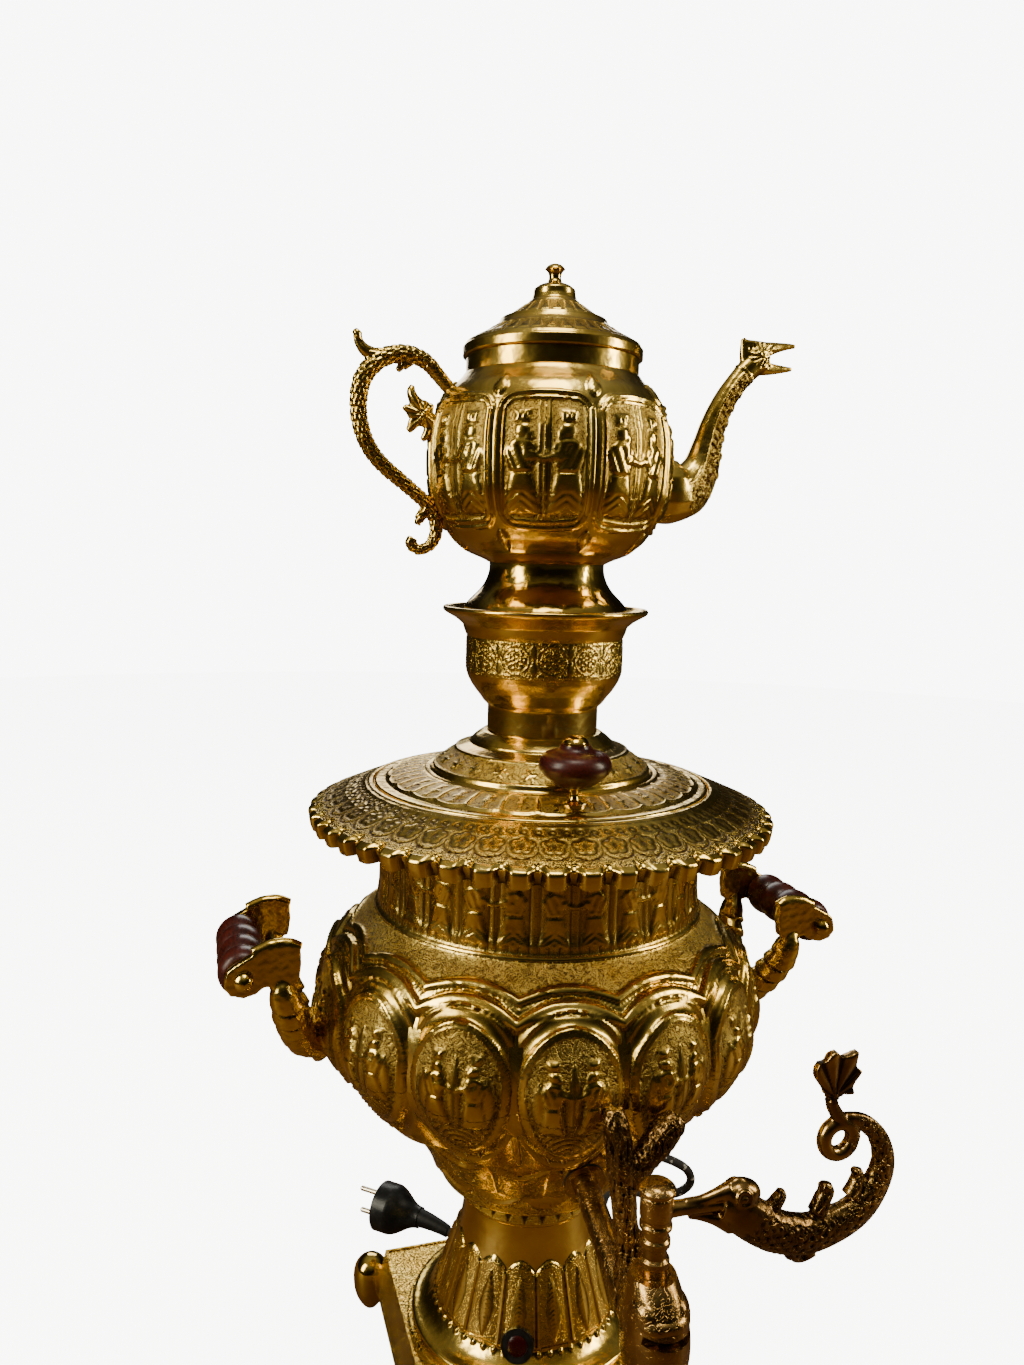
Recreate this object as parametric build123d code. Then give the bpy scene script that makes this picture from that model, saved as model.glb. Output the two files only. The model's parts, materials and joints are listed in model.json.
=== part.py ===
"""Electric samovar with its teapot.

A square plinth on four bulb feet carries a pedestal skirt, a lobed urn with a toothed rim, a lid with
a chimney, a crown that holds the teapot, a tap with a turning plug and two side grips on rods.
Millimetres, +Z up, the tap towards -Y and the teapot's spout towards +X. Outlines are lists of
(radius, height) about the upright axis; the whole part is moved along Y at the end, so that its
origin is the middle of its footprint on the ground.
"""

import math
import os

from build123d import *

os.makedirs("parts", exist_ok=True)

# ---- clearances --------------------------------------------------------------------------------
GAP = 0.3            # between neighbours that only pass each other
SEAT = 0.1           # under a piece that is cut to sit on a curved wall
RUNNING = 0.05       # all round the turning plug and the tang in its key
HOLE_GAP = 0.15      # all round a screw in a clearance hole

# ---- plinth, feet and bottom cover -------------------------------------------------------------
PLINTH_BOTTOM = 13.8
PLINTH_HEIGHT = 33.0
PLINTH_FOOT_HALF = 86.0
PLINTH_HALF = 80.6
PLINTH_WALL = 2.0
EDGE_WIDTH = 1.6
EDGE_HEIGHT = 0.9
FOOT_OUTSET = 3.5
FOOT_R = 12.5
FOOT_HEIGHT = 39.5
FOOT_SOLE_R = 4.5
FOOT_SCREW_Z = 24.0
FOOT_SCREW_R = 2.0
FOOT_SCREW_LENGTH = 20.0
CORNER_BLOCK_HALF = 6.0
CORNER_BLOCK_DEPTH = 9.0
COVER_THICKNESS = 1.2
COVER_RECESS = 2.0
COVER_SLOTS = 5
COVER_SLOT_LENGTH = 44.0
COVER_SLOT_WIDTH = 4.0
COVER_SLOT_PITCH = 12.0
POST_R = 4.0
POST_SPREAD = PLINTH_HALF - 18.6
COVER_SCREW_R = 1.5
COVER_SCREW_LENGTH = 9.0

# ---- step ring, skirt and waist ring -----------------------------------------------------------
STEP_HEIGHT = 4.2
SKIRT_HEIGHT = 85.0
SKIRT_WALL = 1.5
SKIRT_EDGE_R = PLINTH_HALF - EDGE_WIDTH - 3.2
SKIRT_EDGE_HEIGHT = 4.5
SKIRT_PANEL_R = SKIRT_EDGE_R - 15.3
SKIRT_PANEL_HEIGHT = 13.5
SKIRT_TOP_R = 42.0
SKIRT_FLANGE_R = SKIRT_EDGE_R - 13.8
PLINTH_HOLE_R = SKIRT_FLANGE_R - 6.0
SKIRT_FLANGE_HEIGHT = 3.0
BASE_SCREW_CIRCLE = SKIRT_EDGE_R - 7.8
BASE_SCREW_R = 1.5
WAIST_HEIGHT = 14.0
WAIST_R = SKIRT_TOP_R + 2.2
WAIST_WALL = 5.0
STUD_R = 2.0
NUT_ACROSS = 7.0
NUT_HEIGHT = 3.2

# ---- urn ---------------------------------------------------------------------------------------
URN_WALL = 1.2
URN_FOOT_R = SKIRT_TOP_R + 4.0
URN_CUP_R = 66.5
URN_CUP_HEIGHT = 23.0
URN_BELLY_R = 136.0
URN_BELLY_HEIGHT = 119.0
URN_SHOULDER_HEIGHT = 185.0
URN_NECK_HEIGHT = 202.0
URN_TOP_R = 99.3
URN_NECK_R = URN_TOP_R - 1.1
URN_SHOULDER_R = URN_NECK_R + 3.8
URN_HEIGHT = 254.0
CUP_SHAPE = ((0.44, 0.08), (0.70, 0.34))
BELLY_SHAPE = ((0.18, 0.22), (0.48, 0.448), (0.77, 0.677), (0.95, 0.896))
LOBE_COUNT = 14
LOBE_BEARING = -99.65
LOBE_RELIEF = 3.0
LOBE_R = 58.0
LOBE_RISE = 2.0      # of a lobe's middle over the widest place
SHOULDER_SHAPE = ((0.06, 0.106), (0.10, 0.318), (0.276, 0.56), (0.565, 0.78))
NECK_SHAPE = ((0.80, 0.38),)

# ---- heater and switchgear ---------------------------------------------------------------------
HEATER_BORE_R = 14.3
HEATER_NECK_R = 14.0
HEATER_FLANGE_R = 22.0
HEATER_FLANGE_THICKNESS = 3.0
GASKET_THICKNESS = 1.5
HEATER_NUT_ACROSS = 36.0
SKIRT_PORT_R = HEATER_NUT_ACROSS / 2 + 4.0
STUD_CIRCLE = (SKIRT_PORT_R + SKIRT_TOP_R) / 2 + 0.5
HEATER_NUT_HEIGHT = 6.5
HEATER_TUBE_R = 4.0
HEATER_LEG_HALF = 9.0
HEATER_HEIGHT = 82.0
HEATER_PIN_R = 1.5
HEATER_PIN_LENGTH = 9.0
THERMOSTAT_R = 6.0
THERMOSTAT_HEIGHT = 8.0
BLOCK_SIZE = (36.0, 11.0, 14.0)
LEAD_R = 1.3
TAIL_R = 3.0

# ---- lamp and cord gland -----------------------------------------------------------------------
LAMP_BEARING = -112.5
LAMP_HEIGHT = 19.0
LAMP_BEZEL_R = 10.0
LAMP_BARREL_R = 6.0
LAMP_BEZEL_THICKNESS = 3.0
LAMP_DEPTH = 20.0
GLAND_BEARING = 30.0
GLAND_HEIGHT = 53.0
GLAND_FLANGE_R = 9.0
GLAND_FLANGE_THICKNESS = 3.0
GLAND_BARREL_R = 6.0
GLAND_DEPTH = 8.0
GLAND_REACH = 24.0

# ---- cord, coil and plug -----------------------------------------------------------------------
CORD_R = 3.5
COIL_CENTRE = (89.5, 176.0)
COIL_MIDDLE_R = 40.0
COIL_TURNS_ACROSS = 2
COIL_TURNS_UP = 2
COIL_LIFT = 0.9
TIE_THICKNESS = 0.6
TIE_WIDTH = 9.0
PLUG_FACE = (-68.0, 174.0)
PLUG_R = 19.0
PLUG_BODY_LENGTH = 27.0
PLUG_NECK_R = 8.0
PLUG_NECK_LENGTH = 10.0
RELIEF_END = (-21.0, 133.0, 15.0)
RELIEF_END_R = 4.6
PIN_R = 2.0
PIN_LENGTH = 19.0
PIN_PITCH = 19.0
COIL_TURNS = 3 + 160 / 360

# ---- tap ---------------------------------------------------------------------------------------
TAP_REACH = URN_BELLY_R + 53.0
TAP_PORT_HEIGHT = 15.5
TAP_SLOPE = 21.3
PIPE_R = 7.3
PIPE_BORE_R = 4.0
SPIGOT_R = 7.0
BOSS_R = 12.0
BOSS_LENGTH = 17.0
BOSS_PROUD = 8.0
SPIGOT_PAST = 9.0
WASHER_THICKNESS = 1.5
TAP_FLANGE_THICKNESS = 3.0
BACKNUT_ACROSS = 22.0
BACKNUT_HEIGHT = 6.0
HEAD_HEIGHT = 47.5
HEAD_SECTIONS = ((-16.0, 9.5, 11.0, 0.0), (-2.0, 13.5, 17.0, -3.0), (16.0, 16.0, 21.0, -4.0),
                 (34.0, 14.5, 19.0, -2.5), (HEAD_HEIGHT, 11.0, 11.5, 0.0))
MOUTH_LOW = 27.0
MOUTH_HEIGHT = 4.0
MOUTH_DEPTH = 9.0
NOZZLE_R = 7.5
NOZZLE_BORE_R = 4.5
NOZZLE_LENGTH = 27.0
PLUG_SEAT_DEPTH = 9.5
TAPER_TOP_R = 8.0
TAPER_BOTTOM_R = 6.5
PORT_R = 3.5
PLUG_CORE_R = 4.0
PLUG_NECK_HEIGHT = 23.0
TANG_HALF = 3.0
HUB_R = 8.0
HUB_HEIGHT = 18.0
CAP_R = 9.0
CAP_HEIGHT = 5.5
TREE_TRUNK_R = 6.0
TREE_BRANCH_R = 4.2

# ---- side handles ------------------------------------------------------------------------------
ROD_REACH = URN_BELLY_R + 46.5
ROD_HEIGHT = URN_BELLY_HEIGHT + 44.5
ROD_R = 3.0
ROD_NUT_R = 5.0
ROD_NUT_LENGTH = 3.0
GRIP_R = 14.0
GRIP_GROOVE_R = 11.6
GRIP_END_R = 10.5
GRIP_RIDGES = 4
GRIP_HALF = 33.5
EAR_THICKNESS = 7.0
ARM_R = 5.2
HANDLE_FOOT_HALF = 14.0
HANDLE_FOOT_LOW = URN_BELLY_HEIGHT - 25.0
HANDLE_FOOT_HIGH = URN_BELLY_HEIGHT - 1.0
HANDLE_FOOT_REACH = URN_BELLY_R + 7.0
HANDLE_SCREW_R = 2.0
HANDLE_SCREW_LENGTH = 14.0
HANDLE_SCREW_HEIGHTS = (URN_BELLY_HEIGHT - 19.0, URN_BELLY_HEIGHT - 7.0)

# ---- rim collar --------------------------------------------------------------------------------
RIM_R = URN_BELLY_R + 7.0
RIM_WALL = 1.4
RIM_DROP = 12.8
RIM_LEDGE = 3.5
RIM_LIP_R = URN_TOP_R + 4.7
RIM_LIP_HEIGHT = 3.3
RIM_LIP_WIDTH = 2.0
RIM_SLEEVE_DEPTH = 20.0
TOOTH_COUNT = 48
TOOTH_HEIGHT = 9.0
TOOTH_GAP_R = 2.4

# ---- lid and its knobs -------------------------------------------------------------------------
SHEET = 1.2
LID_SPIGOT_DEPTH = 9.5
LID_EDGE_HEIGHT = 4.0
LID_FLAT_R = RIM_LIP_R - 7.0
LID_DOME_R = LID_FLAT_R - 29.0
LID_DOME_BASE = 11.0
LID_NECK_HEIGHT = 35.1
CHIMNEY_R = 32.8
LID_NECK_R = CHIMNEY_R + 3.7
CHIMNEY_HEIGHT = 13.4
KNOB_CIRCLE = (LID_FLAT_R + LID_DOME_R) / 2 + 2.0
KNOB_BEARING = -96.0
KNOB_SEAT = 9.0
KNOB_STEM_R = 2.3
KNOB_STEM_FOOT_R = 7.0
KNOB_R = 20.0
KNOB_HEIGHT = 23.0
KNOB_LOW = 18.5
KNOB_CAP_R = 7.0
KNOB_CAP_HEIGHT = 4.5
KNOB_BORE_R = 2.4

# ---- crown -------------------------------------------------------------------------------------
CROWN_WALL = 1.0
CROWN_SLEEVE_HEIGHT = 15.4
CROWN_BAND_R = 47.8
CROWN_BAND_LOW = 36.4
CROWN_BAND_HIGH = 57.8
CROWN_THROAT_R = 50.6
CROWN_THROAT_HEIGHT = 65.0
CROWN_RIM_R = 62.6
CROWN_RIM_HEIGHT = 74.0
CROWN_PLATE_HEIGHT = 70.0
CROWN_PLATE_THICKNESS = 1.4
STEAM_HOLE_R = 20.0

# ---- teapot ------------------------------------------------------------------------------------
POT_FOOT_R = CROWN_THROAT_R - 0.6
POT_FOOT_WAIST_R = 35.0
POT_FOOT_HEIGHT = 31.0
POT_R = 73.0
POT_BELLY_HEIGHT = 61.0
POT_HEIGHT = 110.0
POT_COLLAR_R = 51.4
POT_SHOULDER_R = POT_COLLAR_R + 1.1
POT_COLLAR_HEIGHT = 10.0
POT_WALL = 1.0
POT_SHAPE = ((0.12, 0.03), (0.35, 0.10), (0.60, 0.215), (0.855, 0.44), (0.975, 0.70))
POT_SHOULDER_SHAPE = ((0.06, 0.30), (0.34, 0.70), (0.73, 0.86))
STRAINER_HOLE_R = 1.8
POT_LID_R = POT_COLLAR_R + 2.1
POT_LID_BRIM = 5.5
POT_LID_HEIGHT = 44.0
POT_LID_SPIGOT = 7.0
POT_KNOB_R = 6.0
POT_KNOB_NECK_R = 3.8
POT_KNOB_HEIGHT = 11.0
POT_KNOB_STUB_R = 1.5
SPOUT_WALL = 1.5
HANDLE_TUBE_R = 4.0
LEAF_THICKNESS = 5.0
JAW_WIDTH = 9.0
HORN_WIDTH = 8.0
MOUTH_BORE_R = 2.6
STRAINER_RING_R = 8.0

# ---- heights of the stacked pieces -------------------------------------------------------------
PLINTH_TOP = PLINTH_BOTTOM + PLINTH_HEIGHT
SKIRT_BASE = PLINTH_TOP + STEP_HEIGHT
SKIRT_TOP = SKIRT_BASE + SKIRT_HEIGHT
URN_BASE = SKIRT_TOP + WAIST_HEIGHT
URN_TOP = URN_BASE + URN_HEIGHT
LID_BASE = URN_TOP + RIM_LEDGE
CROWN_BASE = LID_BASE + LID_NECK_HEIGHT
POT_BASE = CROWN_BASE + CROWN_PLATE_HEIGHT + CROWN_PLATE_THICKNESS
POT_BODY_BASE = POT_BASE + POT_FOOT_HEIGHT
POT_BODY_TOP = POT_BODY_BASE + POT_HEIGHT
POT_LID_BASE = POT_BODY_TOP + POT_COLLAR_HEIGHT
PORT_Z = URN_BASE + TAP_PORT_HEIGHT
HEAD_TOP = PORT_Z + HEAD_HEIGHT
KEY_BASE = HEAD_TOP + PLUG_NECK_HEIGHT

nodes = {}


# ---- outlines ----------------------------------------------------------------------------------
def spot(point):
    """The place in space of a (radius, height) point."""
    return (point[0], 0, point[1])


def straight(*points):
    """Straight runs from point to point."""
    return [[start, end] for start, end in zip(points, points[1:])]


def curve(start, end, shape=()):
    """A smooth run; shape holds its middle points as shares of the way across and up."""
    across = end[0] - start[0]
    up = end[1] - start[1]
    return [[start] + [(start[0] + a * across, start[1] + u * up) for a, u in shape] + [end]]


def lifted(runs, height):
    """Runs moved up."""
    return [[(r, z + height) for r, z in run] for run in runs]


def chain(runs):
    """All points of joined runs in order."""
    return [runs[0][0]] + [point for run in runs for point in run[1:]]


def inset(runs, wall):
    """Runs moved to their left by the wall, with mitred corners."""
    points = chain(runs)
    normals = []
    for start, end in zip(points, points[1:]):
        length = math.dist(start, end)
        normals.append(((start[1] - end[1]) / length, (end[0] - start[0]) / length))
    moved = []
    for index, (r, z) in enumerate(points):
        before = normals[max(index - 1, 0)]
        after = normals[min(index, len(normals) - 1)]
        reach = wall / (1 + before[0] * after[0] + before[1] * after[1])
        moved.append((r + reach * (before[0] + after[0]), z + reach * (before[1] + after[1])))
    inner = []
    first = 0
    for run in runs:
        inner.append(moved[first:first + len(run)])
        first += len(run) - 1
    return inner


def drawn(runs):
    """Edges along runs: a line through two points, a smooth curve through more."""
    return [Line(spot(run[0]), spot(run[1])) if len(run) == 2 else Spline([spot(point) for point in run])
            for run in runs]


def turned(runs):
    """A solid turned from an outline, which a straight line closes if it's open."""
    outline = drawn(runs)
    if math.dist(runs[0][0], runs[-1][-1]) > 1e-6:
        outline.append(Line(spot(runs[-1][-1]), spot(runs[0][0])))
    return revolve(make_face(outline), Axis.Z)


def spun(runs, wall):
    """A sheet of one wall whose outer face follows the runs."""
    inner = [run[::-1] for run in inset(runs, wall)[::-1]]
    return turned(runs + [[runs[-1][-1], inner[0][0]]] + inner)


def filled(runs, growth=0.0):
    """The solid inside the runs, grown all round."""
    grown = inset(runs, -growth) if growth else runs
    first = grown[0][0]
    last = grown[-1][-1]
    closing = [[last, (0, last[1])], [(0, last[1]), (0, first[1])]]
    opening = [] if first[0] == 0 else [[(0, first[1]), first]]
    return turned(opening + grown + closing)


def radius_at(runs, height):
    """The outline's radius at a height, between its points in straight lines."""
    for (r0, z0), (r1, z1) in zip(chain(runs), chain(runs)[1:]):
        if min(z0, z1) <= height <= max(z0, z1) and z0 != z1:
            return r0 + (r1 - r0) * (height - z0) / (z1 - z0)
    return chain(runs)[-1][0]


def slope_at(runs, height):
    """Degrees that the outline's outward normal points up at a height."""
    step = 1.0
    shrink = radius_at(runs, height - step) - radius_at(runs, height + step)
    return math.degrees(math.atan2(shrink, 2 * step))


# ---- simple solids -----------------------------------------------------------------------------
def post(radius, low, high, x=0.0, y=0.0):
    """An upright cylinder."""
    return Pos(x, y, low) * Cylinder(radius, high - low, align=(Align.CENTER, Align.CENTER, Align.MIN))


def pipe_between(start, end, radius, end_radius=None):
    """A round bar, or a cone, from one point to another."""
    along = Vector(*end) - Vector(*start)
    place = Plane(origin=start, z_dir=along)
    base = (Align.CENTER, Align.CENTER, Align.MIN)
    if end_radius is None:
        return place * Cylinder(radius, along.length, align=base)
    return place * Cone(radius, end_radius, along.length, align=base)


def screw(shank_r, length, seat, direction):
    """A slotted screw: its head's underside is at the seat and its shank runs along the direction."""
    head_r = shank_r * 1.8
    head_height = shank_r * 1.2
    shape = post(head_r, -head_height, 0) + post(shank_r, 0, length)
    slot = Pos(0, 0, -head_height) * Box(head_r * 3, shank_r * 0.5, head_height)
    return Plane(origin=seat, z_dir=direction) * (shape - slot)


def hexagon_nut(across, height, bore_r):
    """A hexagon nut standing on the ground plane."""
    prism = extrude(RegularPolygon(across / 2, 6, major_radius=False), height)
    return prism - post(bore_r, -1, height + 1)


def section(centre, direction, across, height):
    """An ellipse across a path in the XZ plane; across is its half width along Y."""
    plane = Plane(origin=centre, x_dir=(0, 1, 0), z_dir=direction)
    return plane * Ellipse(across, height)


def flowing(sections, y=0.0):
    """A solid through (x, z, radius, flatness) sections that follow their own path in the XZ plane."""
    faces = []
    last = len(sections) - 1
    for index, (x, z, radius, flat) in enumerate(sections):
        before = sections[max(index - 1, 0)]
        after = sections[min(index + 1, last)]
        direction = (after[0] - before[0], 0, after[1] - before[1])
        faces.append(section((x, y, z), direction, radius * flat, radius))
    return loft(faces)


def plate_xz(points, y, thickness):
    """A flat plate with an outline in the XZ plane, its middle at y."""
    outline = make_face(Polyline([(x, y, z) for x, z in points], close=True))
    return extrude(outline, thickness / 2, both=True)


def group(solids):
    """Separate solids held by one node."""
    return Compound([solid.solid() for solid in solids])


def four_corners(reach):
    """The four places at plus and minus reach in X and Y."""
    return [(x * reach, y * reach) for x in (-1, 1) for y in (-1, 1)]


def on_wall(runs, bearing, height):
    """A plane on a turned wall, its normal pointing out."""
    radius = radius_at(runs, height)
    tilt = math.radians(slope_at(runs, height))
    turn = math.radians(bearing)
    normal = (math.cos(turn) * math.cos(tilt), math.sin(turn) * math.cos(tilt), math.sin(tilt))
    return Plane(origin=(radius * math.cos(turn), radius * math.sin(turn), height), z_dir=normal)


# ---- plinth ------------------------------------------------------------------------------------
def square(half, height):
    """A level square."""
    return Plane.XY.offset(height) * Rectangle(2 * half, 2 * half)


def plinth_half(height):
    """Half the plinth's outer width at a height."""
    share = (height - PLINTH_BOTTOM) / PLINTH_HEIGHT
    return PLINTH_FOOT_HALF + share * (PLINTH_HALF - PLINTH_FOOT_HALF)


plinth_block = loft([square(PLINTH_FOOT_HALF, PLINTH_BOTTOM), square(PLINTH_HALF, PLINTH_TOP)])
plinth_ceiling = PLINTH_TOP - PLINTH_WALL
cover_low = PLINTH_BOTTOM + COVER_RECESS
cover_top = cover_low + COVER_THICKNESS
corner_face = plinth_half(FOOT_SCREW_Z) - PLINTH_WALL - CORNER_BLOCK_DEPTH / math.sqrt(2)
foot_spread = PLINTH_FOOT_HALF + FOOT_OUTSET
base_screw_spots = four_corners(BASE_SCREW_CIRCLE / math.sqrt(2))
cover_screw_spots = four_corners(POST_SPREAD)


def make_plinth():
    """The square shell with its raised edge, posts, corner blocks and screw holes."""
    room = loft([square(PLINTH_FOOT_HALF - PLINTH_WALL, PLINTH_BOTTOM),
                 square(plinth_half(plinth_ceiling) - PLINTH_WALL, plinth_ceiling)])
    shell = plinth_block - room
    rim = square(PLINTH_HALF, PLINTH_TOP) - square(PLINTH_HALF - EDGE_WIDTH, PLINTH_TOP)
    shell += extrude(rim, EDGE_HEIGHT)
    for x, y in cover_screw_spots:
        shell += post(POST_R, cover_top, plinth_ceiling + PLINTH_WALL / 2, x, y)
    block_low = FOOT_SCREW_Z - CORNER_BLOCK_HALF
    side = 2 * PLINTH_FOOT_HALF
    for x, y in four_corners(1):
        corner = [(x * side, y * side), (x * side, y * (2 * corner_face - side)),
                  (x * (2 * corner_face - side), y * side)]
        prism = extrude(Plane.XY.offset(block_low) * make_face(Polyline(corner, close=True)),
                        2 * CORNER_BLOCK_HALF, dir=(0, 0, 1))
        shell += prism & plinth_block
    shell -= post(PLINTH_HOLE_R, PLINTH_BOTTOM, PLINTH_TOP + 1)
    for x, y in base_screw_spots:
        shell -= post(BASE_SCREW_R + HOLE_GAP, plinth_ceiling - 1, PLINTH_TOP + 1, x, y)
    for x, y in cover_screw_spots:
        shell -= post(COVER_SCREW_R + RUNNING, cover_low, cover_low + COVER_SCREW_LENGTH + 1, x, y)
    for x, y in four_corners(corner_face):
        end = (x * 1.3, y * 1.3, FOOT_SCREW_Z)
        shell -= pipe_between((x, y, FOOT_SCREW_Z), end, FOOT_SCREW_R + HOLE_GAP)
    return shell


nodes["plinth"] = make_plinth()

foot_outline = [[(0, 0), (FOOT_SOLE_R, 0)],
                [(FOOT_SOLE_R, 0), (0.6 * FOOT_R, 0.1 * FOOT_HEIGHT), (0.89 * FOOT_R, 0.3 * FOOT_HEIGHT),
                 (FOOT_R, 0.52 * FOOT_HEIGHT), (0.84 * FOOT_R, 0.85 * FOOT_HEIGHT),
                 (0.5 * FOOT_R, 0.96 * FOOT_HEIGHT), (0, FOOT_HEIGHT)]]
bulb = turned(foot_outline)
feet = []
foot_screws = []
for foot_x, foot_y in four_corners(1):
    seat = (foot_x * corner_face, foot_y * corner_face, FOOT_SCREW_Z)
    outwards = (foot_x, foot_y, 0)
    tip = Vector(*seat) + Vector(*outwards).normalized() * (FOOT_SCREW_LENGTH + 1)
    hole = pipe_between(seat, tuple(tip), FOOT_SCREW_R + RUNNING)
    feet.append(Pos(foot_x * foot_spread, foot_y * foot_spread, 0) * bulb - plinth_block - hole)
    foot_screws.append(screw(FOOT_SCREW_R, FOOT_SCREW_LENGTH, seat, outwards))
nodes["plinth_feet"] = group(feet)
nodes["foot_screws"] = group(foot_screws)

cover_half = plinth_half(cover_top) - PLINTH_WALL - GAP
cover = extrude(square(cover_half, cover_low), COVER_THICKNESS, dir=(0, 0, 1))
for slot_index in range(COVER_SLOTS):
    slot_x = (slot_index - (COVER_SLOTS - 1) / 2) * COVER_SLOT_PITCH
    cover -= Pos(slot_x, 0, cover_low) * Box(COVER_SLOT_WIDTH, COVER_SLOT_LENGTH, 4 * COVER_THICKNESS)
for screw_x, screw_y in cover_screw_spots:
    cover -= post(COVER_SCREW_R + HOLE_GAP, cover_low - 1, cover_top + 1, screw_x, screw_y)
nodes["bottom_cover"] = cover
nodes["cover_screws"] = group(screw(COVER_SCREW_R, COVER_SCREW_LENGTH, (x, y, cover_low), (0, 0, 1))
                              for x, y in cover_screw_spots)

# ---- step ring, skirt, waist ring and what ties them -------------------------------------------
step_r = PLINTH_HALF - EDGE_WIDTH - GAP
step_round = STEP_HEIGHT / 4
step = turned(lifted(straight((PLINTH_HOLE_R, 0), (step_r, 0), (step_r, STEP_HEIGHT - step_round),
                              (step_r - step_round, STEP_HEIGHT), (PLINTH_HOLE_R, STEP_HEIGHT),
                              (PLINTH_HOLE_R, 0)), PLINTH_TOP))
for screw_x, screw_y in base_screw_spots:
    step -= post(BASE_SCREW_R + HOLE_GAP, PLINTH_TOP - 1, SKIRT_BASE + 1, screw_x, screw_y)
nodes["plinth_ring"] = step

skirt_runs = lifted(
    straight((SKIRT_EDGE_R, 0), (SKIRT_EDGE_R, SKIRT_EDGE_HEIGHT))
    + curve((SKIRT_EDGE_R, SKIRT_EDGE_HEIGHT), (SKIRT_PANEL_R, SKIRT_PANEL_HEIGHT), ((0.63, 0.30),))
    + curve((SKIRT_PANEL_R, SKIRT_PANEL_HEIGHT), (SKIRT_TOP_R, SKIRT_HEIGHT),
            ((0.10, 0.09), (0.36, 0.28), (0.60, 0.47), (0.84, 0.68), (0.93, 0.82)))
    + straight((SKIRT_TOP_R, SKIRT_HEIGHT), (SKIRT_PORT_R, SKIRT_HEIGHT)), SKIRT_BASE)
skirt_wall = skirt_runs[:-1]
lamp_plane = on_wall(skirt_wall, LAMP_BEARING, SKIRT_BASE + LAMP_HEIGHT)
gland_plane = on_wall(skirt_wall, GLAND_BEARING, SKIRT_BASE + GLAND_HEIGHT)
stud_bearings = (90, 210, 330)
stud_spots = [(STUD_CIRCLE * math.cos(math.radians(b)), STUD_CIRCLE * math.sin(math.radians(b)))
              for b in stud_bearings]

skirt = spun(skirt_runs, SKIRT_WALL)
skirt += post(SKIRT_EDGE_R - SKIRT_WALL / 2, SKIRT_BASE, SKIRT_BASE + SKIRT_FLANGE_HEIGHT) \
    - post(SKIRT_FLANGE_R, SKIRT_BASE - 1, SKIRT_TOP)
for screw_x, screw_y in base_screw_spots:
    skirt -= post(BASE_SCREW_R + RUNNING, SKIRT_BASE - 1, SKIRT_BASE + SKIRT_FLANGE_HEIGHT - 0.5,
                  screw_x, screw_y)
for stud_x, stud_y in stud_spots:
    skirt -= post(STUD_R + HOLE_GAP, SKIRT_TOP - 2 * SKIRT_WALL, SKIRT_TOP + 1, stud_x, stud_y)
skirt -= lamp_plane * post(LAMP_BARREL_R + HOLE_GAP, -LAMP_DEPTH, LAMP_DEPTH)
skirt -= gland_plane * post(GLAND_BARREL_R + HOLE_GAP, -LAMP_DEPTH, LAMP_DEPTH)
nodes["base_skirt"] = skirt

base_screw_length = PLINTH_WALL + STEP_HEIGHT + SKIRT_FLANGE_HEIGHT - 1
nodes["base_screws"] = group(screw(BASE_SCREW_R, base_screw_length, (x, y, plinth_ceiling), (0, 0, 1))
                             for x, y in base_screw_spots)

waist_edge = WAIST_R - SKIRT_TOP_R
waist_runs = [[(WAIST_R - WAIST_WALL, 0), (SKIRT_TOP_R, 0)],
              [(SKIRT_TOP_R, 0), (WAIST_R - waist_edge / 4, WAIST_HEIGHT * 0.2),
               (WAIST_R, WAIST_HEIGHT / 2), (WAIST_R - waist_edge / 4, WAIST_HEIGHT * 0.8),
               (SKIRT_TOP_R, WAIST_HEIGHT)],
              [(SKIRT_TOP_R, WAIST_HEIGHT), (WAIST_R - WAIST_WALL, WAIST_HEIGHT)]]
nodes["waist_ring"] = turned(lifted(waist_runs, SKIRT_TOP))

stud_low = SKIRT_TOP - SKIRT_WALL - NUT_HEIGHT - 2
nodes["tie_studs"] = group(post(STUD_R, stud_low, URN_BASE, x, y) for x, y in stud_spots)
nodes["tie_nuts"] = group(Pos(x, y, SKIRT_TOP - SKIRT_WALL - NUT_HEIGHT)
                          * hexagon_nut(NUT_ACROSS, NUT_HEIGHT, STUD_R + RUNNING) for x, y in stud_spots)

# ---- urn ---------------------------------------------------------------------------------------
urn_foot = (URN_FOOT_R, 0)
urn_cup = (URN_CUP_R, URN_CUP_HEIGHT)
urn_belly = (URN_BELLY_R - LOBE_RELIEF, URN_BELLY_HEIGHT)
urn_shoulder = (URN_SHOULDER_R, URN_SHOULDER_HEIGHT)
urn_neck = (URN_NECK_R, URN_NECK_HEIGHT)
urn_top = (URN_TOP_R, URN_HEIGHT)
urn_runs = lifted(straight((HEATER_BORE_R, 0), urn_foot)
                  + curve(urn_foot, urn_cup, CUP_SHAPE)
                  + curve(urn_cup, urn_belly, BELLY_SHAPE)
                  + curve(urn_belly, urn_shoulder, SHOULDER_SHAPE)
                  + curve(urn_shoulder, urn_neck, NECK_SHAPE)
                  + straight(urn_neck, (URN_TOP_R, URN_HEIGHT - RIM_SLEEVE_DEPTH), urn_top), URN_BASE)
lobe_spot = Pos(URN_BELLY_R + 0.5 - LOBE_R, 0, URN_BASE + URN_BELLY_HEIGHT + LOBE_RISE)


def lobe_balls(radius):
    """The balls that bulge out of the belly as its lobes."""
    turn = 360 / LOBE_COUNT
    return [Rot(0, 0, LOBE_BEARING + index * turn) * lobe_spot * Sphere(radius)
            for index in range(LOBE_COUNT)]


urn_clear = filled(urn_runs, SEAT) + lobe_balls(LOBE_R + SEAT)

slope = math.radians(TAP_SLOPE)


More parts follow.
